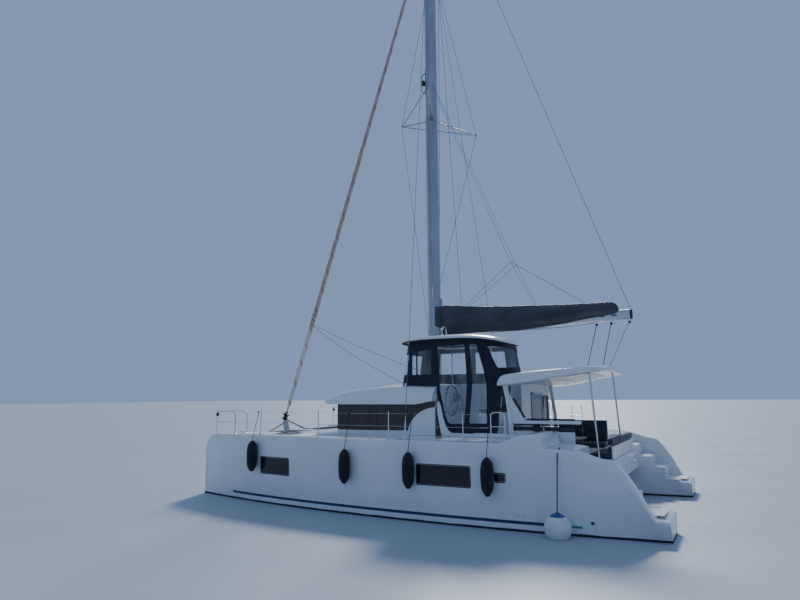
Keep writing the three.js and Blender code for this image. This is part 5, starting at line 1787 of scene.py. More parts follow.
def makeBag():
    stations, around = 150, 30
    ties = [-0.6, -1.75, -2.95, -4.15]
    shape = Shape()
    rings = []
    for i in range(stations + 1):
        x = lerp(-0.113, -5.107, i / stations)
        top, low, half = along(bagTop, x), along(bagEdge, x), along(bagHalf, x)
        near = min(abs(x - tie) for tie in ties)
        lift = math.exp(-(near / 0.16) ** 2)
        top += 0.014 * lift - 0.012 + 0.014 * noise.noise(Vector((x * 3.1, 0.4, 0.2)))
        boomTop = boomZ(x) + boom["halfHeight"] + 0.012
        outer = []
        for side in (1, -1):
            halfRing = []
            for k in range(around + 1):
                t = k / around
                z = lerp(low, top, t)
                # full below, drawn in to the zip along the top, snug at the lower edge
                belly = math.sin(math.pi * clamp(t * 0.92 + 0.1)) ** 0.62
                snug = lerp(0.105, half, smoothStep(t / 0.34))
                width = min(half, snug) * belly * (1 - 0.1 * lift * smoothStep((t - 0.4) / 0.5))
                if t < 0.34:
                    width = max(width, 0.1 if x < -0.24 else width)
                crease = noise.noise(Vector((x * 1.7, side * 3.0, z * 11))) * 0.55
                crease += noise.noise(Vector((x * 6.0 + z * 4, side * 7.0, z * 5))) * 0.5
                crease += 0.7 * math.sin(z * 55 + math.sin(x * 1.3) * 3) * smoothStep((t - 0.3) / 0.3) * 0.35
                width += 0.024 * crease * math.sin(math.pi * t) ** 0.6
                halfRing.append((x, side * max(width, 0.012), z))
            outer.append(halfRing)
        inside = 0.093 if x < -0.24 else 0.006
        ridge = max(boomTop, low + 0.02)
        inner = [
            (x, -inside, low + 0.002), (x, -inside, ridge - 0.03), (x, -inside * 0.6, ridge),
            (x, 0, ridge + 0.004), (x, inside * 0.6, ridge), (x, inside, ridge - 0.03),
            (x, inside, low + 0.002),
        ]
        rings.append([*outer[0], *reversed(outer[1]), *inner])
    shape.loft(rings)
    bag = shape.make("sail_bag_cloth", "bagCloth", "boom", "canvas", ("sail_bag",), smooth=70)
    # zip along the top
    shape = Shape()
    line = []
    for i in range(120):
        x = lerp(-0.12, -5.09, i / 119)
        line.append((x, 0, along(bagTop, x) - 0.004))
    shape.tube(line, 0.008, 8)
    shape.make("sail_bag_zip", "black", "boom", "canvas")


# Canvas collar that closes the bag round the mast's aft half
def makeCollar():
    half = [(0.125, 0.107), (0.05, 0.096), (0.0, 0.072), (-0.04, 0.043), (-0.066, 0.018), (-0.072, 0.0)]
    line = [*half, *[(x, -y) for x, y in reversed(half[:-1])]]
    path = Path([Vector(p) for p in flatSpline(line, 6)], 1)

    def place(u, z, out):
        at, normal = path.at(u), path.normal(u)
        fold = 0.004 * math.sin(z * 31 + u * 5) * math.sin(math.pi * clamp(u / path.reach[-1]))
        return Vector((at.x + normal.x * (out + fold), at.y + normal.y * (out + fold), z))

    length = path.reach[-1]
    loop = rounded([
        (0, 4.84), (0.14, 4.79), (length - 0.14, 4.79), (length, 4.84), (length, 5.43), (0, 5.43),
    ], 0.03)
    collar = panel("bag_collar", [loop], place, "bagCloth", 0.003, 0.03, 0.0)
    shape = Shape()
    shape.prism(rounded([
        (-0.0755, 4.82), (-0.0755, 5.44), (-0.104, 5.43), (-0.104, 4.83),
    ], 0.006), "xz", -0.02, 0.02, 0.003, 2)
    shape.make("bag_luff_strip", "bagCloth")


def stayPoint(share):
    return Vector(rig["stayFoot"]).lerp(Vector(rig["stayTop"]), share)


stayAhead = (Vector(rig["stayTop"]) - Vector(rig["stayFoot"])).normalized()
staySide = Vector((0, 1, 0))
stayFront = staySide.cross(stayAhead)
sailRows = [
    (0.0122, 0.03), (0.03, 0.062), (0.12, 0.072), (0.5, 0.066), (0.9, 0.048), (0.955, 0.03), (0.99, 0.012),
]


def sailRadius(share):
    for (s0, r0), (s1, r1) in zip(sailRows, sailRows[1:]):
        if share <= s1:
            return lerp(r0, r1, smoothStep((share - s0) / (s1 - s0)))
    return sailRows[-1][1]


# A place at some angle and distance round a point of the stay
def roundStay(centre, angle, reach):
    return centre + (staySide * math.cos(angle) + stayFront * math.sin(angle)) * reach


# How far the sail's wrap has turned at a share of the stay
def sailTurn(share):
    return share * 2 * math.pi * 26 + 0.6 * math.sin(share * 40)


def makeHeadsail():
    steps, around = 520, 30
    shape = Shape()
    rings = []
    for i in range(steps + 1):
        share = lerp(0.0122, 0.99, i / steps)
        radius = sailRadius(share)
        centre = stayPoint(share)
        ring = []
        turn = sailTurn(share)
        for k in range(around):
            angle = k * 2 * math.pi / around
            step = ((angle - turn) / (2 * math.pi)) % 1.0
            rough = noise.noise(Vector((share * 160, math.cos(angle) * 2, math.sin(angle) * 2)))
            ring.append(roundStay(centre, angle, radius * (0.9 + 0.13 * step) + 0.0025 * rough))
        rings.append(ring)
    shape.loft(rings)
    sail = shape.make("headsail_roll", "sailCloth", replaces=("furled_headsail",), smooth=75, weld=1e-6)
    # a band on each side of the ledge where a wrap overlaps the next, painted darker as shade
    lap = sail.data.attributes.new("lap", "FLOAT", "POINT")
    cream = sail.data.attributes.new("cream", "FLOAT", "POINT")
    foot, reach = Vector(rig["stayFoot"]), (Vector(rig["stayTop"]) - Vector(rig["stayFoot"])).length
    for vert in sail.data.vertices:
        offset = Vector(vert.co) - foot
        share = offset.dot(stayAhead) / reach
        turn = sailTurn(share)
        across = offset - stayAhead * offset.dot(stayAhead)
        angle = math.atan2(across.dot(stayFront), across.dot(staySide))
        step = ((angle - turn) / (2 * math.pi)) % 1.0
        lap.data[vert.index].value = clamp(1 - min(step, 1 - step) * 9)
        cream.data[vert.index].value = smoothStep((0.2 - share) / 0.03) if share < 0.23 else 0.0


def makeFurler():
    shape = Shape()
    rows = [
        (0.02, -0.26), (0.03, -0.25), (0.03, -0.105), (0.1, -0.098), (0.11, -0.088), (0.11, -0.075),
        (0.1, -0.066), (0.062, -0.058), (0.058, -0.01), (0.062, 0.04), (0.1, 0.052), (0.108, 0.064),
        (0.108, 0.078), (0.098, 0.09), (0.05, 0.1), (0.034, 0.13), (0.03, 0.19),
    ]
    rings = []
    for radius, height in rows:
        centre = Vector(rig["stayFoot"]) + stayAhead * height
        rings.append([roundStay(centre, k * math.pi / 18, radius) for k in range(36)])
    shape.loft(rings)
    shape.make("furler_drum", "black", slot="stainless", replaces=("headsail_furler",), smooth=50)
    shape = Shape()
    for side in (1, -1):
        shape.prism(rounded([
            (5.77, 2.0), (5.85, 2.0), (5.86, 1.99), (5.79, 2.11), (5.75, 2.11),
        ], 0.01), "xz", side * 0.02 - 0.003, side * 0.02 + 0.003)
    shape.make("furler_toggle", "steel")
    shape = Shape()
    line = []
    for i in range(240):
        angle = i * 2 * math.pi / 30
        height = -0.052 + 0.085 * abs(((i / 60) % 2) - 1)
        centre = Vector(rig["stayFoot"]) + stayAhead * height
        line.append(roundStay(centre, angle, 0.064 + 0.006 * (i / 240)))
    shape.tube(line, 0.005, 6)
    shape.make("furling_line_turns", "navyRope")


makeMast()
makeBoom()
makeBag()
makeCollar()
makeHeadsail()
makeFurler()


# Screws that tension a wire, as (distance along it, radius)
screwRows = {
    "bracing": ((0.0, 0.012), (0.1, 0.008), (0.12, 0.014), (0.3, 0.014), (0.32, 0.008), (0.42, 0.008)),
    "shroud": ((0.07, 0.01), (0.14, 0.01), (0.15, 0.018), (0.4, 0.018), (0.41, 0.011), (0.55, 0.009)),
    "guard": ((0.0, 0.004), (0.06, 0.004), (0.065, 0.008), (0.19, 0.008), (0.195, 0.005), (0.26, 0.005)),
}


def screw(shape, kind, foot, head, sides, start=None):
    ahead = (head - foot).normalized()
    rows = screwRows[kind]
    reach = [s for s, _ in rows]
    if start is not None:
        reach[0] = start
    shape.tube([foot + ahead * s for s in reach], [r for _, r in rows], sides)


# A flattened strut between two points; ahead is the direction of its chord
def foil(shape, root, tip, chordRoot, chordTip, thick, ahead):
    root, tip = Vector(root), Vector(tip)
    axis = (tip - root).normalized()
    ahead = (Vector(ahead) - axis * axis.dot(Vector(ahead))).normalized()
    up = axis.cross(ahead)
    rings = []
    for i in range(13):
        t = i / 12
        centre = root.lerp(tip, t)
        chord = lerp(chordRoot, chordTip, t)
        end = min(1.0, math.sqrt(max(0.02, 1 - ((t - 0.94) / 0.06) ** 2))) if t > 0.94 else 1.0
        rings.append([
            centre + ahead * (chord * math.cos(a)) * end + up * (thick * math.sin(a)) * end
            for a in [k * math.pi / 12 for k in range(24)]
        ])
    shape.loft(rings)


def makeBracing():
    x, z = mast["x"], spreader["z"]
    wide, chord = mast["halfWidth"], mast["halfChord"]
    shape = Shape()
    tips = []
    for side in (1, -1):
        tip = Vector((spreader["tipX"], side * spreader["tipY"], z + spreader["rise"]))
        tips.append(tip)
        foil(shape, (x - 0.03, side * wide * 0.8, z), tip, 0.075, 0.042, 0.02, (1, 0, 0))
    strutTip = Vector((spreader["strutTip"], 0, z + spreader["strutRise"]))
    foil(shape, (x + chord * 0.9, 0, z), strutTip, 0.05, 0.034, 0.024, (0, 1, 0))
    shape.loft([ovalRing((x, 0, h), (chord + 0.004 + e), (wide + 0.004 + e), 0.92, 40) for h, e in (
        (z - 0.14, 0), (z - 0.13, 0.006), (z + 0.13, 0.006), (z + 0.14, 0),
    )])
    shape.make("spreaders", "alloy", replaces=("mast_bracing",), smooth=50)
    shape = Shape()
    wire = rig["wire"]
    for side, tip in zip((1, -1), tips):
        shape.tube([(x, side * 0.1, 5.6), tip], wire, 8)
        shape.tube([tip, (x, side * 0.1, 17.3)], wire, 8)
        shape.tube([tip + Vector((0.01, 0, -0.05)), tip + Vector((-0.01, 0, 0.06))], 0.014, 8)
        # tie between the tips of the strut and the spreader
        shape.tube([strutTip, tip], 0.011, 8)
    shape.tube([(x + chord, 0, 4.5), strutTip], wire, 8)
    shape.tube([strutTip, (x + chord, 0, 15.5)], wire, 8)
    shape.make("bracing_wires", "cable", smooth=60)
    # screws that tension the wires, low on the mast
    shape = Shape()
    for side, tip in zip((1, -1), tips):
        screw(shape, "bracing", Vector((x, side * 0.1, 5.6)), tip, 10, -0.02)
    screw(shape, "bracing", Vector((x + chord, 0, 4.5)), strutTip, 10)
    shape.make("bracing_screws", "steel")
    for name, side in sides:
        foot = Vector((rig["shroudFoot"][0], side * rig["shroudFoot"][1], rig["shroudFoot"][2]))
        head = Vector((x, side * wide * 0.9, rig["shroudHead"]))
        ahead = (head - foot).normalized()
        shape = Shape()
        shape.tube([foot + ahead * 0.5, head], wire, 8)
        shape.make(f"{name}_shroud_wire", "cable", replaces=(f"{name}_shroud",), smooth=60)
        shape = Shape()
        screw(shape, "shroud", foot, head, 12)
        plate = [
            (foot.x - 0.03, foot.z - 0.03), (foot.x + 0.03, foot.z - 0.03), (foot.x + 0.022, foot.z + 0.09),
            (foot.x - 0.022, foot.z + 0.09),
        ]
        shape.prism(rounded(plate, 0.012), "xz", foot.y - 0.005, foot.y + 0.005, 0.002, 2)
        shape.lathe([
            (0.008, -0.022), (0.012, -0.018), (0.012, 0.018), (0.008, 0.022),
        ], (foot.x, foot.y, foot.z + 0.07), "y", 16)
        shape.make(f"{name}_shroud_screw", "steel")


makeBracing()
print("rig made")


# Low and high corner of a solid of the frame
def extent(node):
    corners = [nodes[node].matrix_world @ Vector(c) for c in nodes[node].bound_box]
    low = Vector([min(c[i] for c in corners) for i in range(3)])
    high = Vector([max(c[i] for c in corners) for i in range(3)])
    return low, high


# An open line with its bends rounded
def bent(points, radius, steps=6):
    pts = [Vector(p) for p in points]
    line = [pts[0]]
    for before, corner, after in zip(pts, pts[1:], pts[2:]):
        back, ahead = before - corner, after - corner
        reach = min(radius, back.length * 0.49, ahead.length * 0.49)
        start, end = corner + back.normalized() * reach, corner + ahead.normalized() * reach
        for s in range(steps + 1):
            t = s / steps
            line.append(start * (1 - t) ** 2 + corner * 2 * t * (1 - t) + end * t * t)
    line.append(pts[-1])
    return line


# A rope between two points that hangs by sag
def hanging(start, end, sag, steps=14):
    start, end = Vector(start), Vector(end)
    return [
        start.lerp(end, i / steps) - Vector((0, 0, 4 * sag * (i / steps) * (1 - i / steps)))
        for i in range(steps + 1)
    ]


# Rope that carries the UV of its braid: round and along
def rope(name, lines, radius, finish, around=8, body="boat", slot="sailcloth"):
    shape = Shape()
    for line in lines:
        shape.tube(line, radius, around)
    made = shape.make(name, finish, body, slot, smooth=70)
    layer = made.data.uv_layers.new(name="UVMap")
    for loop in made.data.loops:
        place = made.data.vertices[loop.vertex_index].co
        layer.data[loop.index].uv = (place.x * 1.7 + place.y * 2.3, place.x + place.y + place.z)
    return made


# Cushions: a closed form that swells under pressure, seams held
cushions = {
    "start": 0.011,
    "round": 0.034,
    "cell": 0.042,
    "pressure": 4.0,
    "cap": 0.022,
    "frames": 16,
}
swollenForms = {}


def pullIn(place, half):
    x, y, z = place
    x *= 1 - 0.009 / half.x * (1 - min(1, abs(y) / half.y) ** 2)
    y *= 1 - 0.009 / half.y * (1 - min(1, abs(x) / half.x) ** 2)
    return Vector((x, y, z))


def cushionForm(half):
    corner = min(cushions["round"], min(half) * 0.75)
    mesh = bmesh.new()
    bmesh.ops.create_cube(mesh, size=2)
    for vert in mesh.verts:
        vert.co = Vector([c * h for c, h in zip(vert.co, half)])
    for axis in range(3):
        inner = half[axis] - corner
        cuts = [inner + corner * k for k in (0, 0.4, 0.75)]
        cuts += [-c for c in cuts]
        count = max(1, round(2 * inner / cushions["cell"]))
        cuts += [-inner + 2 * inner * i / count for i in range(1, count)]
        normal = Vector([1 if i == axis else 0 for i in range(3)])
        for cut in cuts:
            bmesh.ops.bisect_plane(
                mesh, geom=[*mesh.verts, *mesh.edges, *mesh.faces], plane_co=normal * cut, plane_no=normal,
                dist=1e-6,
            )
    for vert in mesh.verts:
        core = Vector([clamp(c, corner - h, h - corner) for c, h in zip(vert.co, half)])
        away = vert.co - core
        vert.co = pullIn(core + away.normalized() * corner, half)
    data = bpy.data.meshes.new("cushion_form")
    mesh.to_mesh(data)
    mesh.free()
    return data, corner


def swell(size, channels):
    half = Vector([s / 2 - cushions["start"] for s in size])
    data, corner = cushionForm(half)
    start = [v.co.copy() for v in data.vertices]
    obj = addObject("cushion_form", data)
    seam = obj.vertex_groups.new(name="seam")
    held = [i for i, p in enumerate(start) if abs(abs(p.z) - (half.z - corner * 0.3)) < corner * 0.14]
    seam.add(held, 1.0, "REPLACE")
    cloth = obj.modifiers.new("cloth", "CLOTH")
    setting = cloth.settings
    setting.quality = 4
    setting.mass = 0.3
    setting.tension_stiffness = 12
    setting.compression_stiffness = 12
    setting.shear_stiffness = 5
    setting.bending_stiffness = 1.2
    setting.use_pressure = True
    setting.uniform_pressure_force = cushions["pressure"]
    setting.effector_weights.gravity = 0
    setting.vertex_group_mass = "seam"
    cloth.point_cache.frame_start = 1
    cloth.point_cache.frame_end = cushions["frames"]
    for step in range(1, cushions["frames"] + 1):
        bpy.context.scene.frame_set(step)
    result = obj.evaluated_get(bpy.context.evaluated_depsgraph_get()).data
    moved = [v.co.copy() for v in result.vertices]
    bpy.data.objects.remove(obj)
    bpy.context.scene.frame_set(1)
    limit = Vector([s / 2 - 0.001 for s in size])
    longWay = 0 if size[0] > size[1] else 1
    for vert, before, after in zip(data.vertices, start, moved):
        shift = after - before
        if shift.length > cushions["cap"]:
            shift = shift.normalized() * cushions["cap"]
        place = before + shift
        # sewn channels across the cushion
        for i in range(channels):
            line = lerp(-half[longWay], half[longWay], (i + 1) / (channels + 1))
            place.z -= math.copysign(0.008, place.z) * math.exp(-((place[longWay] - line) / 0.02) ** 2)
        vert.co = Vector([clamp(c, -h, h) for c, h in zip(place, limit)])
    obj = addObject("cushion_form", data)
    finer = obj.modifiers.new("finer", "SUBSURF")
    finer.levels = 1
    settle(obj, 80)
    data = obj.data
    bpy.data.objects.remove(obj)
    return data, half, corner


def makeCushion(name, low, high, finish="seatCloth", replaces=(), channels=0, turn=None):
    low, high = Vector(low), Vector(high)
    size = high - low
    # the thin way of a cushion is its local height
    thin = min(range(3), key=lambda i: size[i])
    order = [i for i in range(3) if i != thin] + [thin]
    local = Vector([size[i] for i in order])
    key = (*[round(s, 3) for s in local], channels)
    if key not in swollenForms:
        swollenForms[key] = swell(local, channels)
    form, half, corner = swollenForms[key]
    axes = Matrix.Identity(3)
    for column, axis in enumerate(order):
        for row in range(3):
            axes[row][column] = 1.0 if row == axis else 0.0
    if axes.determinant() < 0:
        axes = axes @ Matrix.Diagonal((1, 1, -1))
    place = Matrix.Translation((low + high) / 2) @ axes.to_4x4()
    if turn:
        pivot, angle = turn
        place = Matrix.Translation(pivot) @ Matrix.Rotation(angle, 4, "Y") @ Matrix.Translation(
            -Vector(pivot)
        ) @ place
    data = form.copy()
    data.transform(place)
    obj = addObject(name, data)
    dress(obj, finish, "boat", "seat_cloth", replaces)
    # piping on both seams
    shape = Shape()
    edge = corner * 0.293
    for side in (1, -1):
        line = []
        for p in rectangle(edge - half.x, edge - half.y, half.x - edge, half.y - edge, corner * 1.1, 5):
            at = pullIn(Vector((p.x, p.y, side * (half.z - edge))), half)
            line.append(place @ at)
        shape.tube(line, 0.0045, 8, closed=True)
    piping = shape.make(f"{name}_piping", finish, slot="seat_cloth", smooth=70)
    return obj, piping


def makeSeats():
    base = Shape()
    # aft seat of the cockpit
    base.box((-5.038, -1.498, 1.002), (-4.482, 1.498, 1.31), 0.02, 3)
    base.box((-5.038, -1.498, 1.3), (-5.0, 1.498, 1.6), 0.015, 3)
    # side seats
    base.box((-4.298, 1.452, 1.002), (-2.806, 2.018, 1.31), 0.02, 3)
    base.box((-4.298, -2.018, 1.002), (-2.902, -1.452, 1.31), 0.02, 3)
    base.box((-4.298, 1.985, 1.3), (-2.806, 2.018, 1.93), 0.012, 3)
    base.box((-4.298, -2.018, 1.3), (-2.902, -1.985, 2.055), 0.012, 3)
    base.make("cockpit_seat_bases", "gelcoat")
    for i in range(3):
        y0 = -1.495 + i * 0.998
        stands = ("cockpit_aft_seat",) if i == 0 else ()
        makeCushion(
            f"aft_cushion_{i + 1}", (-4.99, y0, 1.315), (-4.485, y0 + 0.99, 1.44), replaces=stands,
            channels=1,
        )
        makeCushion(f"aft_back_{i + 1}", (-4.995, y0, 1.45), (-4.9, y0 + 0.99, 1.595), channels=1)
        makeCushion(f"aft_bolster_{i + 1}", (-5.036, y0, 1.606), (-4.9, y0 + 0.99, 1.778), channels=1)
    for i in range(2):
        x0 = -4.295 + i * 0.744
        stands = ("cockpit_port_seat",) if i == 0 else ()
        makeCushion(f"port_cushion_{i + 1}", (x0, 1.455, 1.315), (x0 + 0.738, 1.975, 1.44), replaces=stands)
        makeCushion(f"port_back_{i + 1}", (x0, 1.895, 1.45), (x0 + 0.738, 1.98, 1.925), channels=1)
        makeCushion(f"port_bolster_{i + 1}", (x0, 1.9, 1.935), (x0 + 0.738, 2.02, 2.058))
        x0 = -4.295 + i * 0.696
        stands = ("cockpit_starboard_seat",) if i == 0 else ()
        makeCushion(
            f"starboard_cushion_{i + 1}", (x0, -1.975, 1.315), (x0 + 0.69, -1.455, 1.44), replaces=stands,
        )
        makeCushion(f"starboard_back_{i + 1}", (x0, -1.98, 1.45), (x0 + 0.69, -1.895, 2.055), channels=1)
    # helm seat: locker, cushion and a leaning back
    base = Shape()
    base.box((-2.345, 0.802, 1.802), (-1.902, 1.818, 2.345), 0.03, 4)
    base.make("helm_seat_base", "gelcoat")
    makeCushion(
        "helm_cushion", (-2.345, 0.785, 2.35), (-1.855, 1.835, 2.468), replaces=("helm_seat",), channels=1,
    )
    makeCushion(
        "helm_back", (-2.33, 0.785, 2.44), (-2.245, 1.835, 3.05), channels=1, turn=((-2.29, 0, 2.44), -0.15),
    )
    shape = Shape()
    for y in (1.0, 1.62):
        shape.tube(bent([(-2.3, y, 2.3), (-2.385, y, 2.45), (-2.425, y, 2.75)], 0.05), 0.012, 12)
    shape.make("helm_back_tubes", "steel", smooth=60)
    # saloon: seats round the table behind the glass
    base = Shape()
    base.box((0.302, -1.948, 1.002), (1.898, -1.352, 1.31), 0.02, 3)
    base.box((1.302, -1.36, 1.002), (1.898, 0.298, 1.31), 0.02, 3)
    base.box((2.0, -1.948, 1.002), (2.098, 0.298, 1.72), 0.02, 3)
    base.box((1.88, -1.948, 1.002), (2.01, 0.298, 1.3), 0.01, 2)
    base.make("saloon_seat_base", "wood")
    makeCushion(
        "saloon_cushion_1", (0.305, -1.945, 1.315), (1.295, -1.355, 1.44), "paleCloth", ("saloon_seat",), 1,
    )
    makeCushion("saloon_cushion_2", (1.305, -1.945, 1.315), (1.87, -0.81, 1.44), "paleCloth", (), 1)
    makeCushion("saloon_cushion_3", (1.305, -0.8, 1.315), (1.87, 0.295, 1.44), "paleCloth", (), 1)
    makeCushion("saloon_back_1", (1.885, -1.945, 1.45), (1.995, -0.83, 1.738), "paleCloth", (), 1)
    makeCushion("saloon_back_2", (1.885, -0.82, 1.45), (1.995, 0.295, 1.738), "paleCloth", (), 1)


makeSeats()
print("seats made")


def makeTables():
    for name, low, high, foot in (
        ("cockpit_table", (-4.2, 0.25), (-3.2, 1.25), (-3.7, 0.75)),
        ("saloon_table", (0.35, -1.2), (1.15, -0.25), (0.75, -0.7)),
    ):
        shape = Shape()
        shape.prism(rectangle(*low, *high, 0.08), "xy", 1.701, 1.73, 0.006, 3)
        shape.make(f"{name}_top", "wood", replaces=(name,))
        shape = Shape()
        rows = [
            (0.16, 1.002), (0.155, 1.012), (0.06, 1.022), (0.046, 1.04), (0.046, 1.5), (0.05, 1.6),
            (0.12, 1.69), (0.13, 1.7),
        ]
        shape.lathe(rows, (*foot, 0), "z", 32)
        shape.make(f"{name}_foot", "steel")
    shape = Shape()
    shape.box((-0.598, 1.402, 1.002), (1.198, 2.02, 1.7), 0.012, 2)
    shape.box((-0.598, 0.702, 1.002), (-0.102, 1.42, 1.7), 0.012, 2)
    shape.make("galley_base", "wood", replaces=("galley_unit",))
    shape = Shape()
    shape.prism(rounded([
        (-0.6, 0.7), (-0.1, 0.7), (-0.1, 1.4), (1.2, 1.4), (1.2, 2.022), (-0.6, 2.022),
    ], 0.03), "xy", 1.701, 1.74, 0.006, 3)
    shape.make("galley_top", "paleCloth", slot="gelcoat")
    shape = Shape()
    shape.tube(bent([
        (0.5, 1.9, 1.74), (0.5, 1.9, 1.98), (0.5, 1.72, 1.98), (0.5, 1.72, 1.92),
    ], 0.05), 0.011, 12)
    for y in (1.5, 1.68, 1.86):
        shape.box((-0.595, y, 1.74), (-0.15, y + 0.004, 1.746))
    shape.make("galley_fittings", "steel")
    # sliding door: frame, glass and pull
    low, high = extent("saloon_door")
    shape = Shape()
    y0, y1, z0, z1 = low.y + 0.001, high.y - 0.001, low.z + 0.001, high.z - 0.001
    for a, b in (
        ((y0, z0), (y0 + 0.055, z1)), ((y1 - 0.055, z0), (y1, z1)), ((y0, z0), (y1, z0 + 0.07)),
        ((y0, z1 - 0.06), (y1, z1)),
    ):
        shape.box((low.x + 0.001, *a), (high.x - 0.001, *b), 0.003, 2)
    shape.make("door_frame", "alloy", "saloon_door", "alloy", ("saloon_door",))
    shape = Shape()
    shape.box((low.x + 0.009, y0 + 0.05, z0 + 0.065), (low.x + 0.015, y1 - 0.05, z1 - 0.055))
    shape.make("door_glass", "tinted", "saloon_door")
    shape = Shape()
    shape.box((low.x - 0.004, y0 + 0.015, 1.95), (low.x + 0.004, y0 + 0.035, 2.15), 0.003, 2)
    shape.make("door_pull", "black", "saloon_door")
    # window of the after bulkhead and trim round the doorway
    shape = Shape()
    shape.box((-2.585, -1.995, 1.905), (-2.575, -1.355, 2.745))
    shape.make("bulkhead_glass", "tinted")
    shape = Shape()
    for y, z, w, h in (
        (-2.012, 1.885, 0.66, 0.03), (-2.012, 2.735, 0.66, 0.03), (-2.012, 1.885, 0.022, 0.87),
        (-1.372, 1.885, 0.022, 0.87),
    ):
        shape.box((-2.612, y, z), (-2.6, y + w, z + h), 0.003, 2)
    shape.make("bulkhead_trim", "black")


makeTables()
print("tables and door made")


def railY(x, side):
    return side * (hullSize["centre"] + max(0.04, deckHalf(x) - 0.095))


def sheer(x):
    return along(sheerRows, x)


rails = {
    "posts": (3.85, 1.75, -0.35, -2.25),
    "height": 0.64,
    "tube": 0.0125,
    "foot": ((0.038, -0.001), (0.038, 0.006), (0.026, 0.012), (0.016, 0.03)),
}


def makeRails(name, side):
    high = rails["height"]
    centre = side * hullSize["centre"]

    def top(x):
        return sheer(x) + high

    inboard = side * (hullSize["centre"] - 0.19)
    shape = Shape()
    shape.tube(bent([
        (5.0, railY(5.0, side), sheer(5.0)), (5.01, railY(5.0, side), top(5.0) - 0.02),
        (5.3, railY(5.3, side), top(5.3)), (5.95, centre + side * 0.06, top(5.95)),
        (5.985, centre, top(5.95)), (5.95, centre - side * 0.06, top(5.95)), (5.3, inboard, top(5.3)),
        (5.01, inboard, top(5.0) - 0.02), (5.0, inboard, sheer(5.0)),
    ], 0.09, 7), 0.0135, 14)
    shape.tube([
        (5.95, centre + side * 0.055, sheer(5.95) - 0.02), (5.95, centre + side * 0.055, top(5.95)),
    ], 0.0125, 12)
    shape.tube(bent([
        (5.005, railY(5.0, side), sheer(5) + 0.33), (5.4, railY(5.35, side) - side * 0.02, sheer(5.4) + 0.33),
        (5.95, centre + side * 0.06, sheer(5.95) + 0.33),
    ], 0.1), 0.0105, 12)
    for x in rails["posts"]:
        y = railY(x, side)
        shape.tube([(x, y, sheer(x)), (x, y, top(x) - 0.002)], rails["tube"], 14)
        shape.lathe([(0.012, -0.004), (0.014, 0.0), (0.012, 0.006), (0.004, 0.009)], (x, y, top(x)), "z", 14)
        shape.lathe([
            (0.04, 0.0), (0.04, 0.006), (0.03, 0.012), (0.018, 0.016), (0.017, 0.055), (0.012, 0.058),
        ], (x, y, sheer(x)), "z", 24)
    end = railY(-2.9, side)
    level = top(-2.9)
    shape.tube(bent([
        (-2.9, end, 1.78), (-2.9, end, level), (-3.22, end, level), (-3.22, end, 1.9),
    ], 0.09, 8), 0.013, 14)
    shape.tube([(-2.9, end, level - 0.3), (-3.22, end, level - 0.3)], 0.0105, 12)
    for x, z in ((5.0, sheer(5.0)), (-2.9, 1.78), (-3.22, sheer(-3.22) + 0.005)):
        y = end if x < 0 else railY(5.0, side)
        shape.lathe(rails["foot"], (x, y, z), "z", 24)
    shape.lathe(rails["foot"], (5.0, inboard, sheer(5.0)), "z", 24)
    shape.make(f"{name}_rail_tubes", "steel", replaces=(f"{name}_guardrail",), smooth=60)
    # wires with a little slack, and the screws that tension them
    shape = Shape()
    stops = [5.005, *rails["posts"], -2.9]
    for drop in (0.04, 0.33):
        for a, b in zip(stops, stops[1:]):
            start = (a, railY(a, side) if a < 5 else railY(5.0, side), top(a) - drop)
            shape.tube(hanging(start, (b, railY(b, side), top(b) - drop), 0.006, 8), 0.003, 6)
        goal = Vector((-2.25, railY(-2.25, side), top(-2.25) - drop))
        screw(shape, "guard", Vector((-2.9, end, level - drop)), goal, 10)
    shape.make(f"{name}_guard_wires", "steel", smooth=60)
    # cleats on the deck edge
    shape = Shape()
    for x, inset in ((4.75, 0.17), (0.1, 0.055), (-4.3, 0.17)):
        y = side * (hullSize["centre"] + deckHalf(x) - inset)
        z = sheer(x)
        for dx in (-0.05, 0.05):
            shape.lathe([
                (0.022, -0.004), (0.02, 0.006), (0.011, 0.02), (0.012, 0.042),
            ], (x + dx, y, z), "z", 16)
        line = [
            (x + dx, y, z + 0.05 - 0.012 * (dx / 0.13) ** 2)
            for dx in (-0.13, -0.1, -0.05, 0, 0.05, 0.1, 0.13)
        ]
        shape.tube(line, [0.006, 0.01, 0.013, 0.013, 0.013, 0.01, 0.006], 12)
    shape.make(f"{name}_cleats", "steel", smooth=60)


for name, side in sides:
    makeRails(name, side)
print("rails made")


# Knit covers over inflated fenders, with their lanyards
fenderRows = [
    (0.012, -0.408), (0.035, -0.4), (0.06, -0.378), (0.096, -0.322), (0.122, -0.27), (0.137, -0.18),
    (0.144, -0.06), (0.1445, 0.1), (0.135, 0.21), (0.114, 0.3), (0.084, 0.348), (0.056, 0.382),
    (0.036, 0.394), (0.014, 0.405),
]


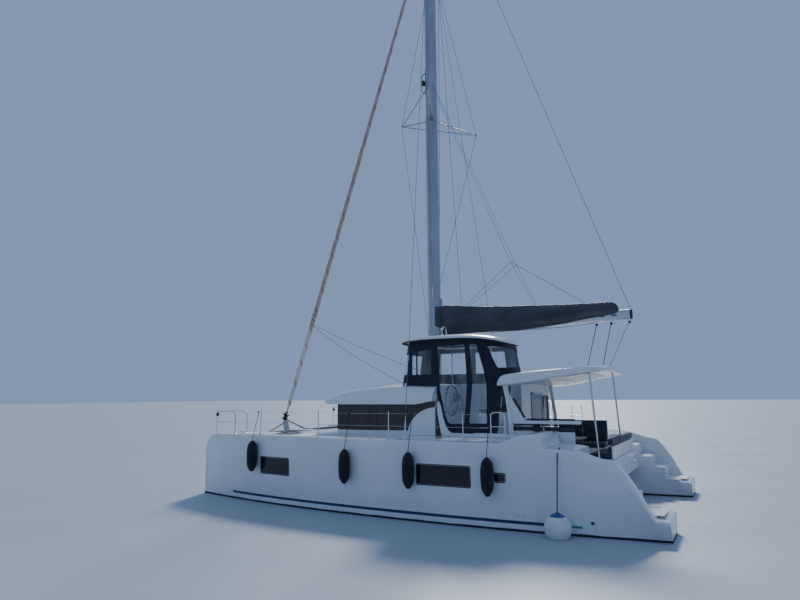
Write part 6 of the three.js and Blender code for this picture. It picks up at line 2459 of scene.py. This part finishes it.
def makeFenders():
    lines = []
    for i in range(4):
        low, high = extent(f"fender_{i + 1}")
        centre = (low + high) / 2
        shape = Shape()
        rings = []
        for r, h in flatSpline(fenderRows, 4):
            ring = []
            for k in range(40):
                angle = k * math.pi / 20
                crease = noise.noise(Vector((math.cos(angle) * 2, math.sin(angle) * 2, h * 6 + i * 5)))
                fold = 1 + 0.02 * crease - 0.012
                fold -= 0.03 * smoothStep((abs(h) - 0.3) / 0.1) * (0.5 + 0.5 * math.sin(angle * 12))
                ring.append(centre + Vector((r * fold * math.cos(angle), r * fold * math.sin(angle), h)))
            rings.append(ring)
        shape.loft(rings)
        cover = shape.make(f"fender_cover_{i + 1}", "knit", replaces=(f"fender_{i + 1}",), smooth=80)
        x = centre.x
        head = (x, centre.y, centre.z + 0.4)
        rail = Vector((x, railY(x, 1), sheer(x) + rails["height"] - 0.04))
        lines.append([head, (x, centre.y - 0.02, centre.z + 0.5), rail + Vector((0, 0.006, 0))])
        hitch = []
        for a in [k * math.pi / 5 for k in range(31)]:
            wrap = Vector((0.006 * math.sin(a), 0.009 * math.cos(a), 0.009 * math.sin(a)))
            hitch.append(rail + wrap + Vector((a * 0.0035, 0, 0)))
        lines.append(hitch)
        lines.append(hanging(rail, rail + Vector((0.03, 0.012, -0.16)), 0.0, 4))
    rope("fender_lines", lines, 0.0075, "navyRope")
    low, high = extent("ball_fender")
    centre = (low + high) / 2
    shape = Shape()
    radius = 0.272
    rows = [
        (radius * math.sin(a), -radius * math.cos(a) - 0.011)
        for a in [0.03 + i * (2.62 - 0.03) / 30 for i in range(31)]
    ]
    shape.lathe(rows, centre, "z", 48)
    shape.make("ball_fender_body", "whiteVinyl", replaces=("ball_fender",), smooth=60)
    shape = Shape()
    rows = [
        (0.155, 0.212), (0.141, 0.226), (0.112, 0.246), (0.075, 0.262), (0.052, 0.276), (0.04, 0.288),
        (0.02, 0.29),
    ]
    shape.lathe(rows, centre, "z", 40)
    shape.make("ball_fender_neck", "blueVinyl", smooth=60)
    deck = (centre.x, hullSize["centre"] + deckHalf(centre.x) - 0.16, sheer(centre.x) + 0.03)
    edge = (centre.x, hullSize["centre"] + deckHalf(centre.x) + 0.012, sheer(centre.x) - 0.07)
    rope("ball_fender_line", [bent([centre + Vector((0, 0, 0.285)), edge, deck], 0.05)], 0.011, "navyRope")


makeFenders()
print("fenders made")


# Lids that open: flange, pane or grip, hinges and catches, each on its own body
lids = {"gap": 0.001, "hatchCorner": 0.07, "hatchPane": 0.046, "engineCorner": 0.04, "lockerCorner": 0.05}


# A flat plate inside the outline of a lid
def plate(shape, low, high, inset, corner, bottom, top, *bevel):
    outline = rectangle(low.x + inset, low.y + inset, high.x - inset, high.y - inset, corner)
    shape.prism(outline, "xy", bottom, top, *bevel)


def makeLids():
    gap = lids["gap"]
    for name, _ in sides:
        body = f"{name}_bow_hatch"
        low, high = extent(body)
        shape = Shape()
        plate(shape, low, high, gap, lids["hatchCorner"], low.z + gap, low.z + 0.022, 0.004, 2)
        shape.make(f"{name}_bow_hatch_frame", "alloy", body, "alloy", (body,))
        shape = Shape()
        plate(shape, low, high, lids["hatchPane"], 0.05, low.z + 0.02, low.z + 0.034, 0.004, 2)
        shape.make(f"{name}_bow_hatch_pane", "smoked", body)
        shape = Shape()
        hinge = ((0.008, -0.03), (0.009, -0.028), (0.009, 0.028), (0.008, 0.03))
        for y in (low.y + 0.12, high.y - 0.12):
            shape.lathe(hinge, (high.x - 0.013, y, low.z + 0.028), "y", 16)
            shape.lathe([
                (0.018, 0), (0.018, 0.004), (0.012, 0.005),
            ], (low.x + 0.071, y, low.z + 0.033), "z", 20)
        shape.make(f"{name}_bow_hatch_fittings", "steel", body)
        body = f"{name}_engine_hatch"
        low, high = extent(body)
        shape = Shape()
        plate(shape, low, high, gap, lids["engineCorner"], low.z + gap, high.z - 0.003, 0.006, 3)
        shape.make(f"{name}_engine_lid", "gelcoat", body, "gelcoat", (body,))
        shape = Shape()
        plate(shape, low, high, 0.031, 0.03, high.z - 0.004, high.z - gap)
        shape.make(f"{name}_engine_lid_grip", "nonSkid", body)
    body = "anchor_locker_lid"
    low, high = extent(body)
    shape = Shape()
    plate(shape, low, high, gap, lids["lockerCorner"], low.z + gap, high.z - 0.003, 0.006, 3)
    shape.make("anchor_lid", "gelcoat", body, "gelcoat", (body,))
    shape = Shape()
    plate(shape, low, high, 0.035, 0.04, high.z - 0.004, high.z - gap)
    shape.make("anchor_lid_grip", "nonSkid", body)
    shape = Shape()
    for y in (-0.2, 0.2):
        shape.lathe([(0.02, 0), (0.02, 0.0015), (0.012, 0.002)], (low.x + 0.06, y, high.z - 0.0015), "z", 20)
    shape.make("anchor_lid_catches", "steel", body)


makeLids()


# A tree of Geometry Nodes on a mesh of lines, whose result becomes a plain mesh
class Tree(Graph):
    def __init__(self, name, sizes):
        group = bpy.data.node_groups.new(name, "GeometryNodeTree")
        super().__init__(group)
        group.interface.new_socket("Geometry", in_out="INPUT", socket_type="NodeSocketGeometry")
        group.interface.new_socket("Geometry", in_out="OUTPUT", socket_type="NodeSocketGeometry")
        self.sizes = {}
        for key, size in sizes.items():
            made = group.interface.new_socket(key, in_out="INPUT", socket_type="NodeSocketFloat")
            self.sizes[made.identifier] = size
        self.start = self.node("NodeGroupInput")

    def input(self, key):
        return self.start.out(key)

    def finish(self, geometry, finish):
        whole = self.node("GeometryNodeRealizeInstances", {}, [geometry])
        coloured = self.node(
            "GeometryNodeSetMaterial", {}, {"Geometry": whole, "Material": finishes[finish].material},
        )
        end = self.tree.nodes.new("NodeGroupOutput")
        self.tree.links.new(coloured.socket, end.inputs[0])

    def run(self, obj, smooth=70):
        live = obj.modifiers.new("repeat", "NODES")
        live.node_group = self.tree
        for identifier, size in self.sizes.items():
            live[identifier] = size
        return settle(obj, smooth)


def lineObject(name, points, edges):
    data = bpy.data.meshes.new(name)
    data.from_pydata(points, edges, [])
    obj = addObject(name, data)
    return obj


# Net of crossing cords inside a rope border
netSize = {"aft": 3.63, "front": 5.585, "inner": 0.198, "pitch": 0.05, "cord": 0.0022, "border": 0.0075}


def makeNets():
    tree = Tree("net_cords", {"Cord radius": netSize["cord"]})
    curve = tree.node("GeometryNodeMeshToCurve", {}, [tree.input("Geometry")])
    circle = tree.node(
        "GeometryNodeCurvePrimitiveCircle", {}, {"Resolution": 5, "Radius": tree.input("Cord radius")},
    )
    cords = tree.node(
        "GeometryNodeCurveToMesh", {}, {"Curve": curve, "Profile Curve": circle, "Fill Caps": True},
    )
    tree.finish(cords, "netRope")
    low, high, inner, pitch = (netSize[k] for k in ("aft", "front", "inner", "pitch"))
    for name, side in sides:

        def reach(x, side=side):
            return hullSize["centre"] - deckHalf(x) - 0.03

        points, edges = [], []

        def add(line):
            for i, p in enumerate(line):
                points.append(p)
                if i:
                    edges.append((len(points) - 2, len(points) - 1))

        rows = int((high - low) / pitch)
        for i in range(rows + 1):
            x = lerp(low, high, i / rows)
            add([
                (x, side * lerp(inner, reach(x), k / 12), 1.6745 - 0.004 * math.sin(math.pi * k / 12))
                for k in range(13)
            ])
        columns = int((reach(high) - inner) / pitch)
        for j in range(columns + 1):
            y = lerp(inner, reach(high), j / columns)
            inside = [lerp(low, high, k / 30) for k in range(31)]
            inside = [x for x in inside if reach(x) > y + 0.002]
            if len(inside) > 2:
                add([(x, side * y, 1.672) for x in inside])
        net = lineObject(f"{name}_net_cords", points, edges)
        tree.run(net)
        dress(net, "netRope", "boat", "net", (f"{name}_net",))
        shape = Shape()
        border = [
            (low, 0.2), *[(lerp(low, high, k / 20), reach(lerp(low, high, k / 20))) for k in range(21)],
            (high, 0.2),
        ]
        shape.tube([(x, side * y, 1.674) for x, y in border], netSize["border"], 8, closed=True)
        shape.make(f"{name}_net_border", "whiteRope", slot="net", smooth=60)


# Chain from the anchor's shank back to the locker, link by link
def makeChain():
    tree = Tree("chain_links", {"Pitch": 0.031, "Wire": 0.005})
    curve = tree.node("GeometryNodeMeshToCurve", {}, [tree.input("Geometry")])
    spaced = tree.node(
        "GeometryNodeResampleCurve", {"mode": "LENGTH"}, {"Curve": curve, "Length": tree.input("Pitch")},
    )
    ring = tree.node("GeometryNodeCurvePrimitiveCircle", {}, {"Resolution": 16, "Radius": 0.014})
    oval = tree.node("GeometryNodeTransform", {}, {"Geometry": ring, "Scale": (1.0, 1.55, 1.0)})
    wireRound = tree.node(
        "GeometryNodeCurvePrimitiveCircle", {}, {"Resolution": 7, "Radius": tree.input("Wire")},
    )
    link = tree.node("GeometryNodeCurveToMesh", {}, {"Curve": oval, "Profile Curve": wireRound})
    ahead = tree.node("GeometryNodeInputTangent")
    turn = tree.node("FunctionNodeAlignEulerToVector", {"axis": "Y"}, {"Vector": ahead})
    index = tree.node("GeometryNodeInputIndex")
    odd = index.maths("MODULO", index, 2.0)
    quarter = odd * (math.pi / 2) + 0.5
    spin = tree.node("ShaderNodeCombineXYZ", {}, {"Y": quarter})
    both = tree.node("FunctionNodeRotateEuler", {"space": "LOCAL"}, {"Rotation": turn, "Rotate By": spin})
    points = tree.node(
        "GeometryNodeInstanceOnPoints", {}, {"Points": spaced, "Instance": link, "Rotation": both},
    )
    tree.finish(points, "zinc")
    line = bent([
        (5.2, 0, 1.77), (4.6, 0.0, 1.722), (3.7, 0.0, 1.722), (3.56, 0.0, 1.8), (3.49, 0.0, 1.8),
    ], 0.1)
    chain = lineObject("anchor_chain", [tuple(p) for p in line], [(i, i + 1) for i in range(len(line) - 1)])
    tree.run(chain)
    dress(chain, "zinc", "boat")


makeNets()
print("nets made")


def makeBow():
    beamX, beamZ = 5.7, 1.56
    shape = Shape()
    shape.tube([(beamX, y, beamZ) for y in (-2.86, -2, -1, 0, 1, 2, 2.86)], 0.0895, 40)
    shape.make("bow_beam", "alloy", replaces=("forward_crossbeam",), smooth=60)
    shape = Shape()
    for side in (1, -1):
        shape.tube([(beamX, side * 1.1, beamZ + 0.06), (beamX + 0.01, side * 0.02, beamZ + 0.42)], 0.0265, 20)
        shape.lathe([
            (0.098, -0.12), (0.1, -0.11), (0.1, 0.0), (0.091, 0.01),
        ], (beamX, side * 1.12, beamZ), "y", 36)
        shape.lathe([
            (0.098, -0.03), (0.1, -0.02), (0.1, 0.06), (0.091, 0.07),
        ], (beamX, side * 1.95, beamZ), "y", 36)
    shape.prism(rounded([
        (beamX - 0.058, beamZ + 0.07), (beamX + 0.06, beamZ + 0.438), (beamX + 0.198, beamZ + 0.438),
        (beamX + 0.13, beamZ + 0.04),
    ], 0.02), "xz", -0.04, 0.04, 0.008, 3)
    shape.prism(rounded([
        (beamX + 0.07, beamZ + 0.4), (beamX + 0.07, beamZ + 0.538), (beamX + 0.15, beamZ + 0.538),
        (beamX + 0.17, beamZ + 0.4),
    ], 0.02), "xz", -0.012, 0.012, 0.003, 2)
    shape.make("beam_strut", "alloy", smooth=50)
    shape = Shape()
    for y in (-0.043, 0.043):
        shape.prism(rounded([
            (beamX - 0.078, beamZ - 0.2), (beamX - 0.078, beamZ - 0.02), (beamX + 0.208, beamZ - 0.06),
            (beamX + 0.208, beamZ - 0.205),
        ], 0.03), "xz", y - 0.0065, y + 0.0065, 0.002, 2)
    shape.lathe([
        (0.012, -0.04), (0.02, -0.036), (0.019, -0.01), (0.014, 0), (0.019, 0.01), (0.02, 0.036),
        (0.012, 0.04),
    ], (beamX + 0.18, 0, beamZ - 0.185), "y", 24)
    shape.make("bow_roller", "steel", smooth=50)
    # walkway: moulded plank with grips and a channel for the chain
    shape = Shape()
    shape.box((3.622, -0.189, 1.656), (5.637, 0.189, 1.7), 0.012, 3)
    shape.box((3.622, -0.059, 1.502), (5.604, 0.059, 1.66), 0.01, 2)
    shape.make("walkway_moulding", "gelcoat", replaces=("walkway",))
    shape = Shape()
    for i in range(4):
        x0 = 3.68 + i * 0.49
        for y0, y1 in ((-0.175, -0.055), (0.055, 0.175)):
            shape.prism(rectangle(x0, y0, x0 + 0.46, y1, 0.02), "xy", 1.7, 1.7035)
    shape.make("walkway_grip", "nonSkid")
    # anchor: shank and two-sided blade
    shank = beamZ - 0.185 + 0.02
    shape = Shape()
    shape.prism(rounded([
        (beamX - 0.515, shank + 0.004), (beamX - 0.515, shank + 0.055), (beamX + 0.3, shank + 0.056),
        (6.06, shank + 0.03), (6.19, shank - 0.25), (6.13, shank - 0.26), (5.99, shank - 0.05),
        (beamX + 0.2, shank + 0.004),
    ], 0.02), "xz", -0.0125, 0.0125, 0.003, 2)
    rings = []
    for k in range(11):
        t = k / 10
        x = lerp(6.015, 6.185, t)
        z = lerp(shank - 0.03, shank - 0.325, t)
        wide = 0.018 + 0.15 * math.sin(math.pi * min(1, t * 1.05)) ** 0.8
        dish = 0.035 * math.sin(math.pi * t)
        rings.append([
            (x + 0.012, -wide, z), (x - dish * 0.2, 0, z + dish * 0.3), (x + 0.012, wide, z),
            (x + 0.022, wide, z - 0.006), (x + 0.016, 0, z - 0.008), (x + 0.022, -wide, z - 0.006),
        ])
    shape.loft(rings)
    shape.make("anchor_body", "zinc", replaces=("anchor",), smooth=40)
    makeChain()
    # lights on the pulpits
    for (name, side), lens in zip(sides, ("redLens", "greenLens")):
        centre = side * (hullSize["centre"] + 0.058)
        z = sheer(5.95) + rails["height"] - 0.085
        shape = Shape()
        shape.box((5.9, centre - 0.03, z - 0.045), (5.985, centre + 0.03, z - 0.036), 0.003, 2)
        shape.box((5.9, centre - 0.03, z + 0.036), (5.985, centre + 0.03, z + 0.045), 0.003, 2)
        shape.box((5.9, centre - 0.03, z - 0.04), (5.935, centre + 0.03, z + 0.04), 0.003, 2)
        shape.make(f"{name}_bow_light", "black")
        shape = Shape()
        shape.lathe([
            (0.026, -0.036), (0.028, -0.03), (0.028, 0.03), (0.026, 0.036),
        ], (5.95, centre, z), "z", 24)
        shape.make(f"{name}_bow_lens", lens, slot="clear_vinyl")


makeBow()
print("bow made")


# Boom bracket, roof winches, skin fittings, lights and aerials
def makeFittings():
    x, z = rig["boom"]["hinge"], rig["boom"]["z"]
    aft = rig["mast"]["x"] - rig["mast"]["halfChord"]
    shape = Shape()
    shape.box((aft - 0.033, -0.034, z - 0.059), (aft + 0.012, 0.034, z + 0.059), 0.006, 3)
    for low in (z - 0.059, z + 0.046):
        shape.prism(rounded([
            (x - 0.019, -0.034), (aft, -0.034), (aft, 0.034), (x - 0.019, 0.034),
        ], 0.018), "xy", low, low + 0.013, 0.002, 2)
    shape.lathe([(0.0118, -0.049), (0.0118, 0.049)], (x, 0, z), "z", 24)
    shape.make("boom_bracket", "alloy", replaces=("gooseneck",), smooth=50)
    shape = Shape()
    for wx, wy in ((-1.25, 0.26), (-1.85, 0.26)):
        base = roofTop(wx, wy) - 0.004
        shape.lathe([
            (0.085, 0), (0.085, 0.012), (0.075, 0.03), (0.052, 0.05), (0.05, 0.11), (0.058, 0.135),
            (0.066, 0.14), (0.066, 0.15), (0.05, 0.156), (0.05, 0.166), (0.02, 0.17),
        ], (wx, wy, base), "z", 40)
    shape.make("roof_winches", "steel", smooth=50)
    # skin fittings and the exhaust on the port side, scuppers on both
    for name, side in sides:
        shape = Shape()
        for sx, sz, r in ((-4.94, 0.28, 0.045), (-3.6, 0.33, 0.02), (-3.45, 0.33, 0.02), (1.3, 0.36, 0.02)):
            y = side * (hullSize["centre"] + sideBreadth(sx, sz))
            low, high = sorted((y - side * 0.02, y + side * 0.008))
            shape.lathe([(r, low - y), (r, high - y - 0.002), (r * 0.9, high - y)] if side > 0 else
                        [(r * 0.9, low - y), (r, low - y + 0.002), (r, high - y)], (sx, y, sz), "y", 24)
        shape.make(f"{name}_skin_fittings", "steel", smooth=50)
        shape = Shape()
        y = side * (hullSize["centre"] + sideBreadth(-4.94, 0.28))
        shape.lathe([(0.034, -0.012), (0.034, 0.0095)], (-4.94, y, 0.28), "y", 24)
        shape.make(f"{name}_exhaust_bore", "black")
    # lights ahead of the mast and at its top
    mastFront = rig["mast"]["x"] + rig["mast"]["halfChord"]
    shape = Shape()
    shape.box((mastFront - 0.004, -0.02, 12.25), (mastFront + 0.012, 0.02, 13.25), 0.004, 2)
    shape.tube(bent([
        (mastFront, 0, 12.4), (mastFront + 0.14, 0, 12.45), (mastFront + 0.14, 0, 13.0), (mastFront, 0, 13.1),
    ], 0.05), 0.012, 12)
    shape.lathe([
        (0.05, -0.08), (0.055, -0.06), (0.055, 0.06), (0.045, 0.08),
    ], (mastFront + 0.08, 0, 12.75), "z", 24)
    shape.make("mast_light", "black", smooth=50)
    top = rig["mast"]["top"]
    shape = Shape()
    shape.lathe([
        (0.03, 0.018), (0.03, 0.03), (0.026, 0.032), (0.026, 0.09), (0.02, 0.1),
    ], (mast["x"] + 0.1, 0, top), "z", 24)
    shape.make("masthead_light", "clearLens")
    shape = Shape()
    shape.tube([(mast["x"] - 0.1, 0, top + 0.018), (mast["x"] - 0.1, 0, top + 0.55)], 0.003, 6)
    shape.tube(bent([
        (mast["x"] + 0.2, 0, top + 0.018), (mast["x"] + 0.45, 0, top + 0.08),
        (mast["x"] + 0.45, 0, top + 0.2),
    ], 0.05), 0.005, 8)
    shape.make("masthead_aerials", "black")


makeFittings()
print("fittings made")


# Running rigging: lines with their upper or lower end at the boom
sheave = ((0.02, -0.011), (0.034, -0.009), (0.034, 0.009), (0.02, 0.011))


def makeLines():
    def boomUnder(x):
        return Vector((x, 0, boomZ(x) - boom["halfHeight"] - 0.04))

    for i, (upper, lower) in enumerate(((-4.54, -4.26), (-4.91, -4.65), (-5.36, -4.84))):
        head = boomUnder(upper)
        foot = Vector((lower, 0, cockpitTop(lower, 0) + 0.06))
        lines = []
        for k in range(3 if i < 2 else 1):
            shift = Vector((0, (k - 1) * 0.014 if i < 2 else 0, 0))
            lines.append([(foot + shift).lerp(head + shift, t / 20) for t in range(21)])
        sheet = rope(f"mainsheet_{i + 1}", lines, 0.0055, "navyRope", body=None)
        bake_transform(sheet)
        shape = Shape()
        shape.lathe(sheave, tuple(head + Vector((0, 0, -0.03))), "y", 24)
        shape.make(f"mainsheet_block_{i + 1}", "black", "boom", "stainless")
        shape = Shape()
        shape.lathe(sheave, tuple(foot + Vector((0, 0, -0.012))), "y", 24)
        shape.lathe([
            (0.03, -0.006), (0.03, 0.004), (0.012, 0.008), (0.01, 0.03),
        ], (lower, 0, foot.z - 0.064), "z", 20)
        shape.make(f"roof_block_{i + 1}", "steel")
    # rope under the boom
    line = [
        (x, 0, boomZ(x) - boom["halfHeight"] - 0.02 - 0.03 * math.sin(math.pi * (x + 2.15) / -2.35))
        for x in [lerp(-2.15, -4.5, k / 24) for k in range(25)]
    ]
    rope("boom_under_line", [line], 0.005, "navyRope", body="boom")
    # lazy jacks from the mast to the bag, a line from the masthead to the boom's end
    for name, side in sides:
        knot = Vector((-2.33, side * 0.24, 6.5))
        lines = [[Vector((mast["x"] - 0.06, side * 0.1, 12.6)).lerp(knot, t / 24) for t in range(25)]]
        for x in (-0.82, -2.95, -4.4):
            foot = Vector((x, side * (along(bagHalf, x) * 0.62), along(bagTop, x) - 0.06))
            lines.append([knot.lerp(foot, t / 24) for t in range(25)])
        jacks = rope(f"{name}_lazy_jack", lines, 0.0042, "navyRope", 6, body=None)
        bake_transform(jacks)
    for name, start, end in ((
        "boom_lift", (mast["x"] - 0.47, 0, mast["top"] - 0.06),
        (boom["end"] + 0.04, 0, boomZ(boom["end"]) + 0.13),
    ), ("main_halyard", (mast["x"] - 0.215, 0.02, 18.1), (-0.71, 0.01, along(bagTop, -0.71) - 0.03))):
        start, end = Vector(start), Vector(end)
        line = rope(name, [[start.lerp(end, t / 40) for t in range(41)]], 0.0055, "navyRope", 6, body=None)
        tuple(start)
        tuple(end)
        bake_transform(line)
    shape = Shape()
    shape.tube([
        (mast["x"] - 0.25, 0, mast["top"] - 0.03), (mast["x"] - 0.5, 0, mast["top"] - 0.035),
    ], 0.014, 12)
    shape.box((mast["x"] - 0.225, -0.012, 18.06), (mast["x"] - 0.185, 0.03, 18.2), 0.006, 2)
    shape.make("masthead_crane", "alloy")
    # sheets of the furled headsail, halyards down the mast's front
    lines = []
    for side in (1, -1):
        lead = Vector((0.12, side * 2.0, roofTop(0.12, 2.0) + 0.05))
        lines.append(hanging((4.73, side * 0.07, 5.16), lead, 0.12, 30))
    turns = [roundStay(stayPoint(0.195 + 0.0009 * k), k * 0.6, 0.078) for k in range(32)]
    rope("headsail_sheets", [*lines, turns], 0.0055, "navyRope")
    shape = Shape()
    for side in (1, -1):
        base = roofTop(0.12, 2.0)
        shape.lathe([
            (0.034, -0.012), (0.034, 0.004), (0.014, 0.01), (0.01, 0.03),
        ], (0.12, side * 2.0, base), "z", 20)
        shape.lathe([
            (0.02, -0.01), (0.032, -0.008), (0.032, 0.008), (0.02, 0.01),
        ], (0.12, side * 2.0, base + 0.045), "y", 24)
    shape.make("sheet_leads", "steel")
    front = mast["x"] + mast["halfChord"]
    rope("halyards", [
        [(front - 0.12, 0.115, 3.4), (front - 0.11, 0.118, 9), (front - 0.1, 0.112, 17.6)],
        [(front - 0.12, -0.115, 3.4), (front - 0.11, -0.118, 9), (front - 0.1, -0.112, 17.6)],
        [(front + 0.02, 0.03, 3.5), (front + 0.03, 0.02, 8), (front + 0.012, 0.0, 11.2)],
    ], 0.0045, "whiteRope", 6)
    rope(
        "boom_lift_fall",
        [[(0.1, -0.15, 3.4), (-0.08, -0.13, 15.5), (mast["x"] - 0.27, -0.03, mast["top"] - 0.08)]], 0.006,
        "navyRope", 6,
    )


makeLines()
print("lines made")


# White pillars under the cockpit roof, and on port the side lounge behind the helm
def makePillar():
    for name, side in sides:
        rings = []
        for z, x, deep in ((
            1.872 if side > 0 else 1.782, -2.8, 0.12,
        ), (2.2, -2.79, 0.1), (2.7, -2.73, 0.095), (3.035, -2.68, 0.13)):
            ring = [
                (p.x, p.y, z)
                for p in rectangle(
                    x - deep / 2, side * 2.06 - 0.035, x + deep / 2, side * 2.06 + 0.035, 0.02, 4,
                )
            ]
            rings.append(ring)
        shape = Shape()
        shape.loft(rings)
        # fin behind the pillar that the lounge cushion leans on
        if side > 0:
            shape.prism(rounded([
                (-2.75, 2.85), (-2.78, 2.15), (-3.1, 2.15), (-3.13, 2.215),
            ], 0.012), "xz", 1.985, 2.06, 0.01, 2)
        shape.make(f"{name}_roof_pillar", "gelcoat")
    # side lounge: dark band, white shelf, flat pad and a back that leans on the fin
    for i in range(2):
        x0 = -4.41 + i * 0.78
        makeCushion(f"side_band_{i + 1}", (x0, 1.905, 2.064), (x0 + 0.77, 2.045, 2.112))
    shape = Shape()
    shape.box((-4.42, 1.86, 2.118), (-2.86, 2.075, 2.185), 0.02, 3)
    shape.make("side_shelf", "gelcoat")
    makeCushion("side_pad", (-4.3, 1.865, 2.19), (-3.16, 2.065, 2.24), channels=3)
    makeCushion(
        "side_back", (-3.135, 1.865, 2.245), (-3.055, 2.065, 2.81), channels=1,
        turn=((-3.135, 0, 2.245), 0.5),
    )


makePillar()
print("pillars and side lounge made")


# Materials of the solids that stay as they are
kept = {
    "bridgedeck": "gelcoat", "saloon_walls": "gelcoat",
    "galley_unit": "gelcoat", "walkway": "nonSkid",
    "port_saildrive": "legPaint", "starboard_saildrive": "legPaint", "port_propeller": "bronze",
    "starboard_propeller": "bronze", "port_rudder": "bottomPaint", "starboard_rudder": "bottomPaint",
    "port_keel": "bottomPaint", "starboard_keel": "bottomPaint", "port_hull": "hullPaint",
    "starboard_hull": "hullPaint",
}
slotFinish = {
    "gelcoat": "gelcoat", "bottom_paint": "bottomPaint", "drive_metal": "legPaint", "bronze": "bronze",
    "tinted_glazing": "tinted", "clear_vinyl": "vinyl", "canvas": "canvas", "seat_cloth": "seatCloth",
    "wood": "wood", "deck_plastic": "nonSkid", "alloy": "alloy", "stainless": "steel", "net": "netRope",
    "galvanised": "zinc", "sailcloth": "sailCloth", "fender_cover": "knit", "white_vinyl": "whiteVinyl",
}
for part in frame["record"]["subparts"]:
    finish = kept.get(part["node"], slotFinish[part["material_slot"]])
    node = nodes[part["node"]]
    node.data.materials.clear()
    node.data.materials.append(finishes[finish].material)


# Pale floor at the waterline, soft light and an even sky
studio = {
    "floorSize": 260,
    "floor": (0.42, 0.46, 0.52),
    "sky": (0.31, 0.46, 0.74),
    "skyStrength": 0.72,
    "sunStrength": 2.7,
    "sunTurn": (52, 0, 18),
    "sunSize": 10,
}


def makeStudio():
    shape = Shape()
    half = studio["floorSize"]
    shape.skin([(-half, -half, 0), (half, -half, 0), (half, half, 0), (-half, half, 0)], [(0, 1, 2, 3)])
    water = Finish("pale_floor", studio["floor"], 0.45)
    finishes["floor"] = water
    water.cloud("Roughness", 0.4, 3, [(0.3, 0.4), (0.7, 0.5)])
    floor = shape.make("floor", "floor", None)
    world = bpy.data.worlds.new("studio_sky")
    bpy.context.scene.world = world
    world.use_nodes = True
    background = world.node_tree.nodes["Background"]
    background.inputs["Color"].default_value = (*studio["sky"], 1)
    background.inputs["Strength"].default_value = studio["skyStrength"]
    light = bpy.data.lights.new("soft_sun", "SUN")
    light.energy = studio["sunStrength"]
    light.angle = math.radians(studio["sunSize"])
    sun = addObject("soft_sun", light)
    sun.rotation_euler = [math.radians(a) for a in studio["sunTurn"]]


makeStudio()
print("studio made")
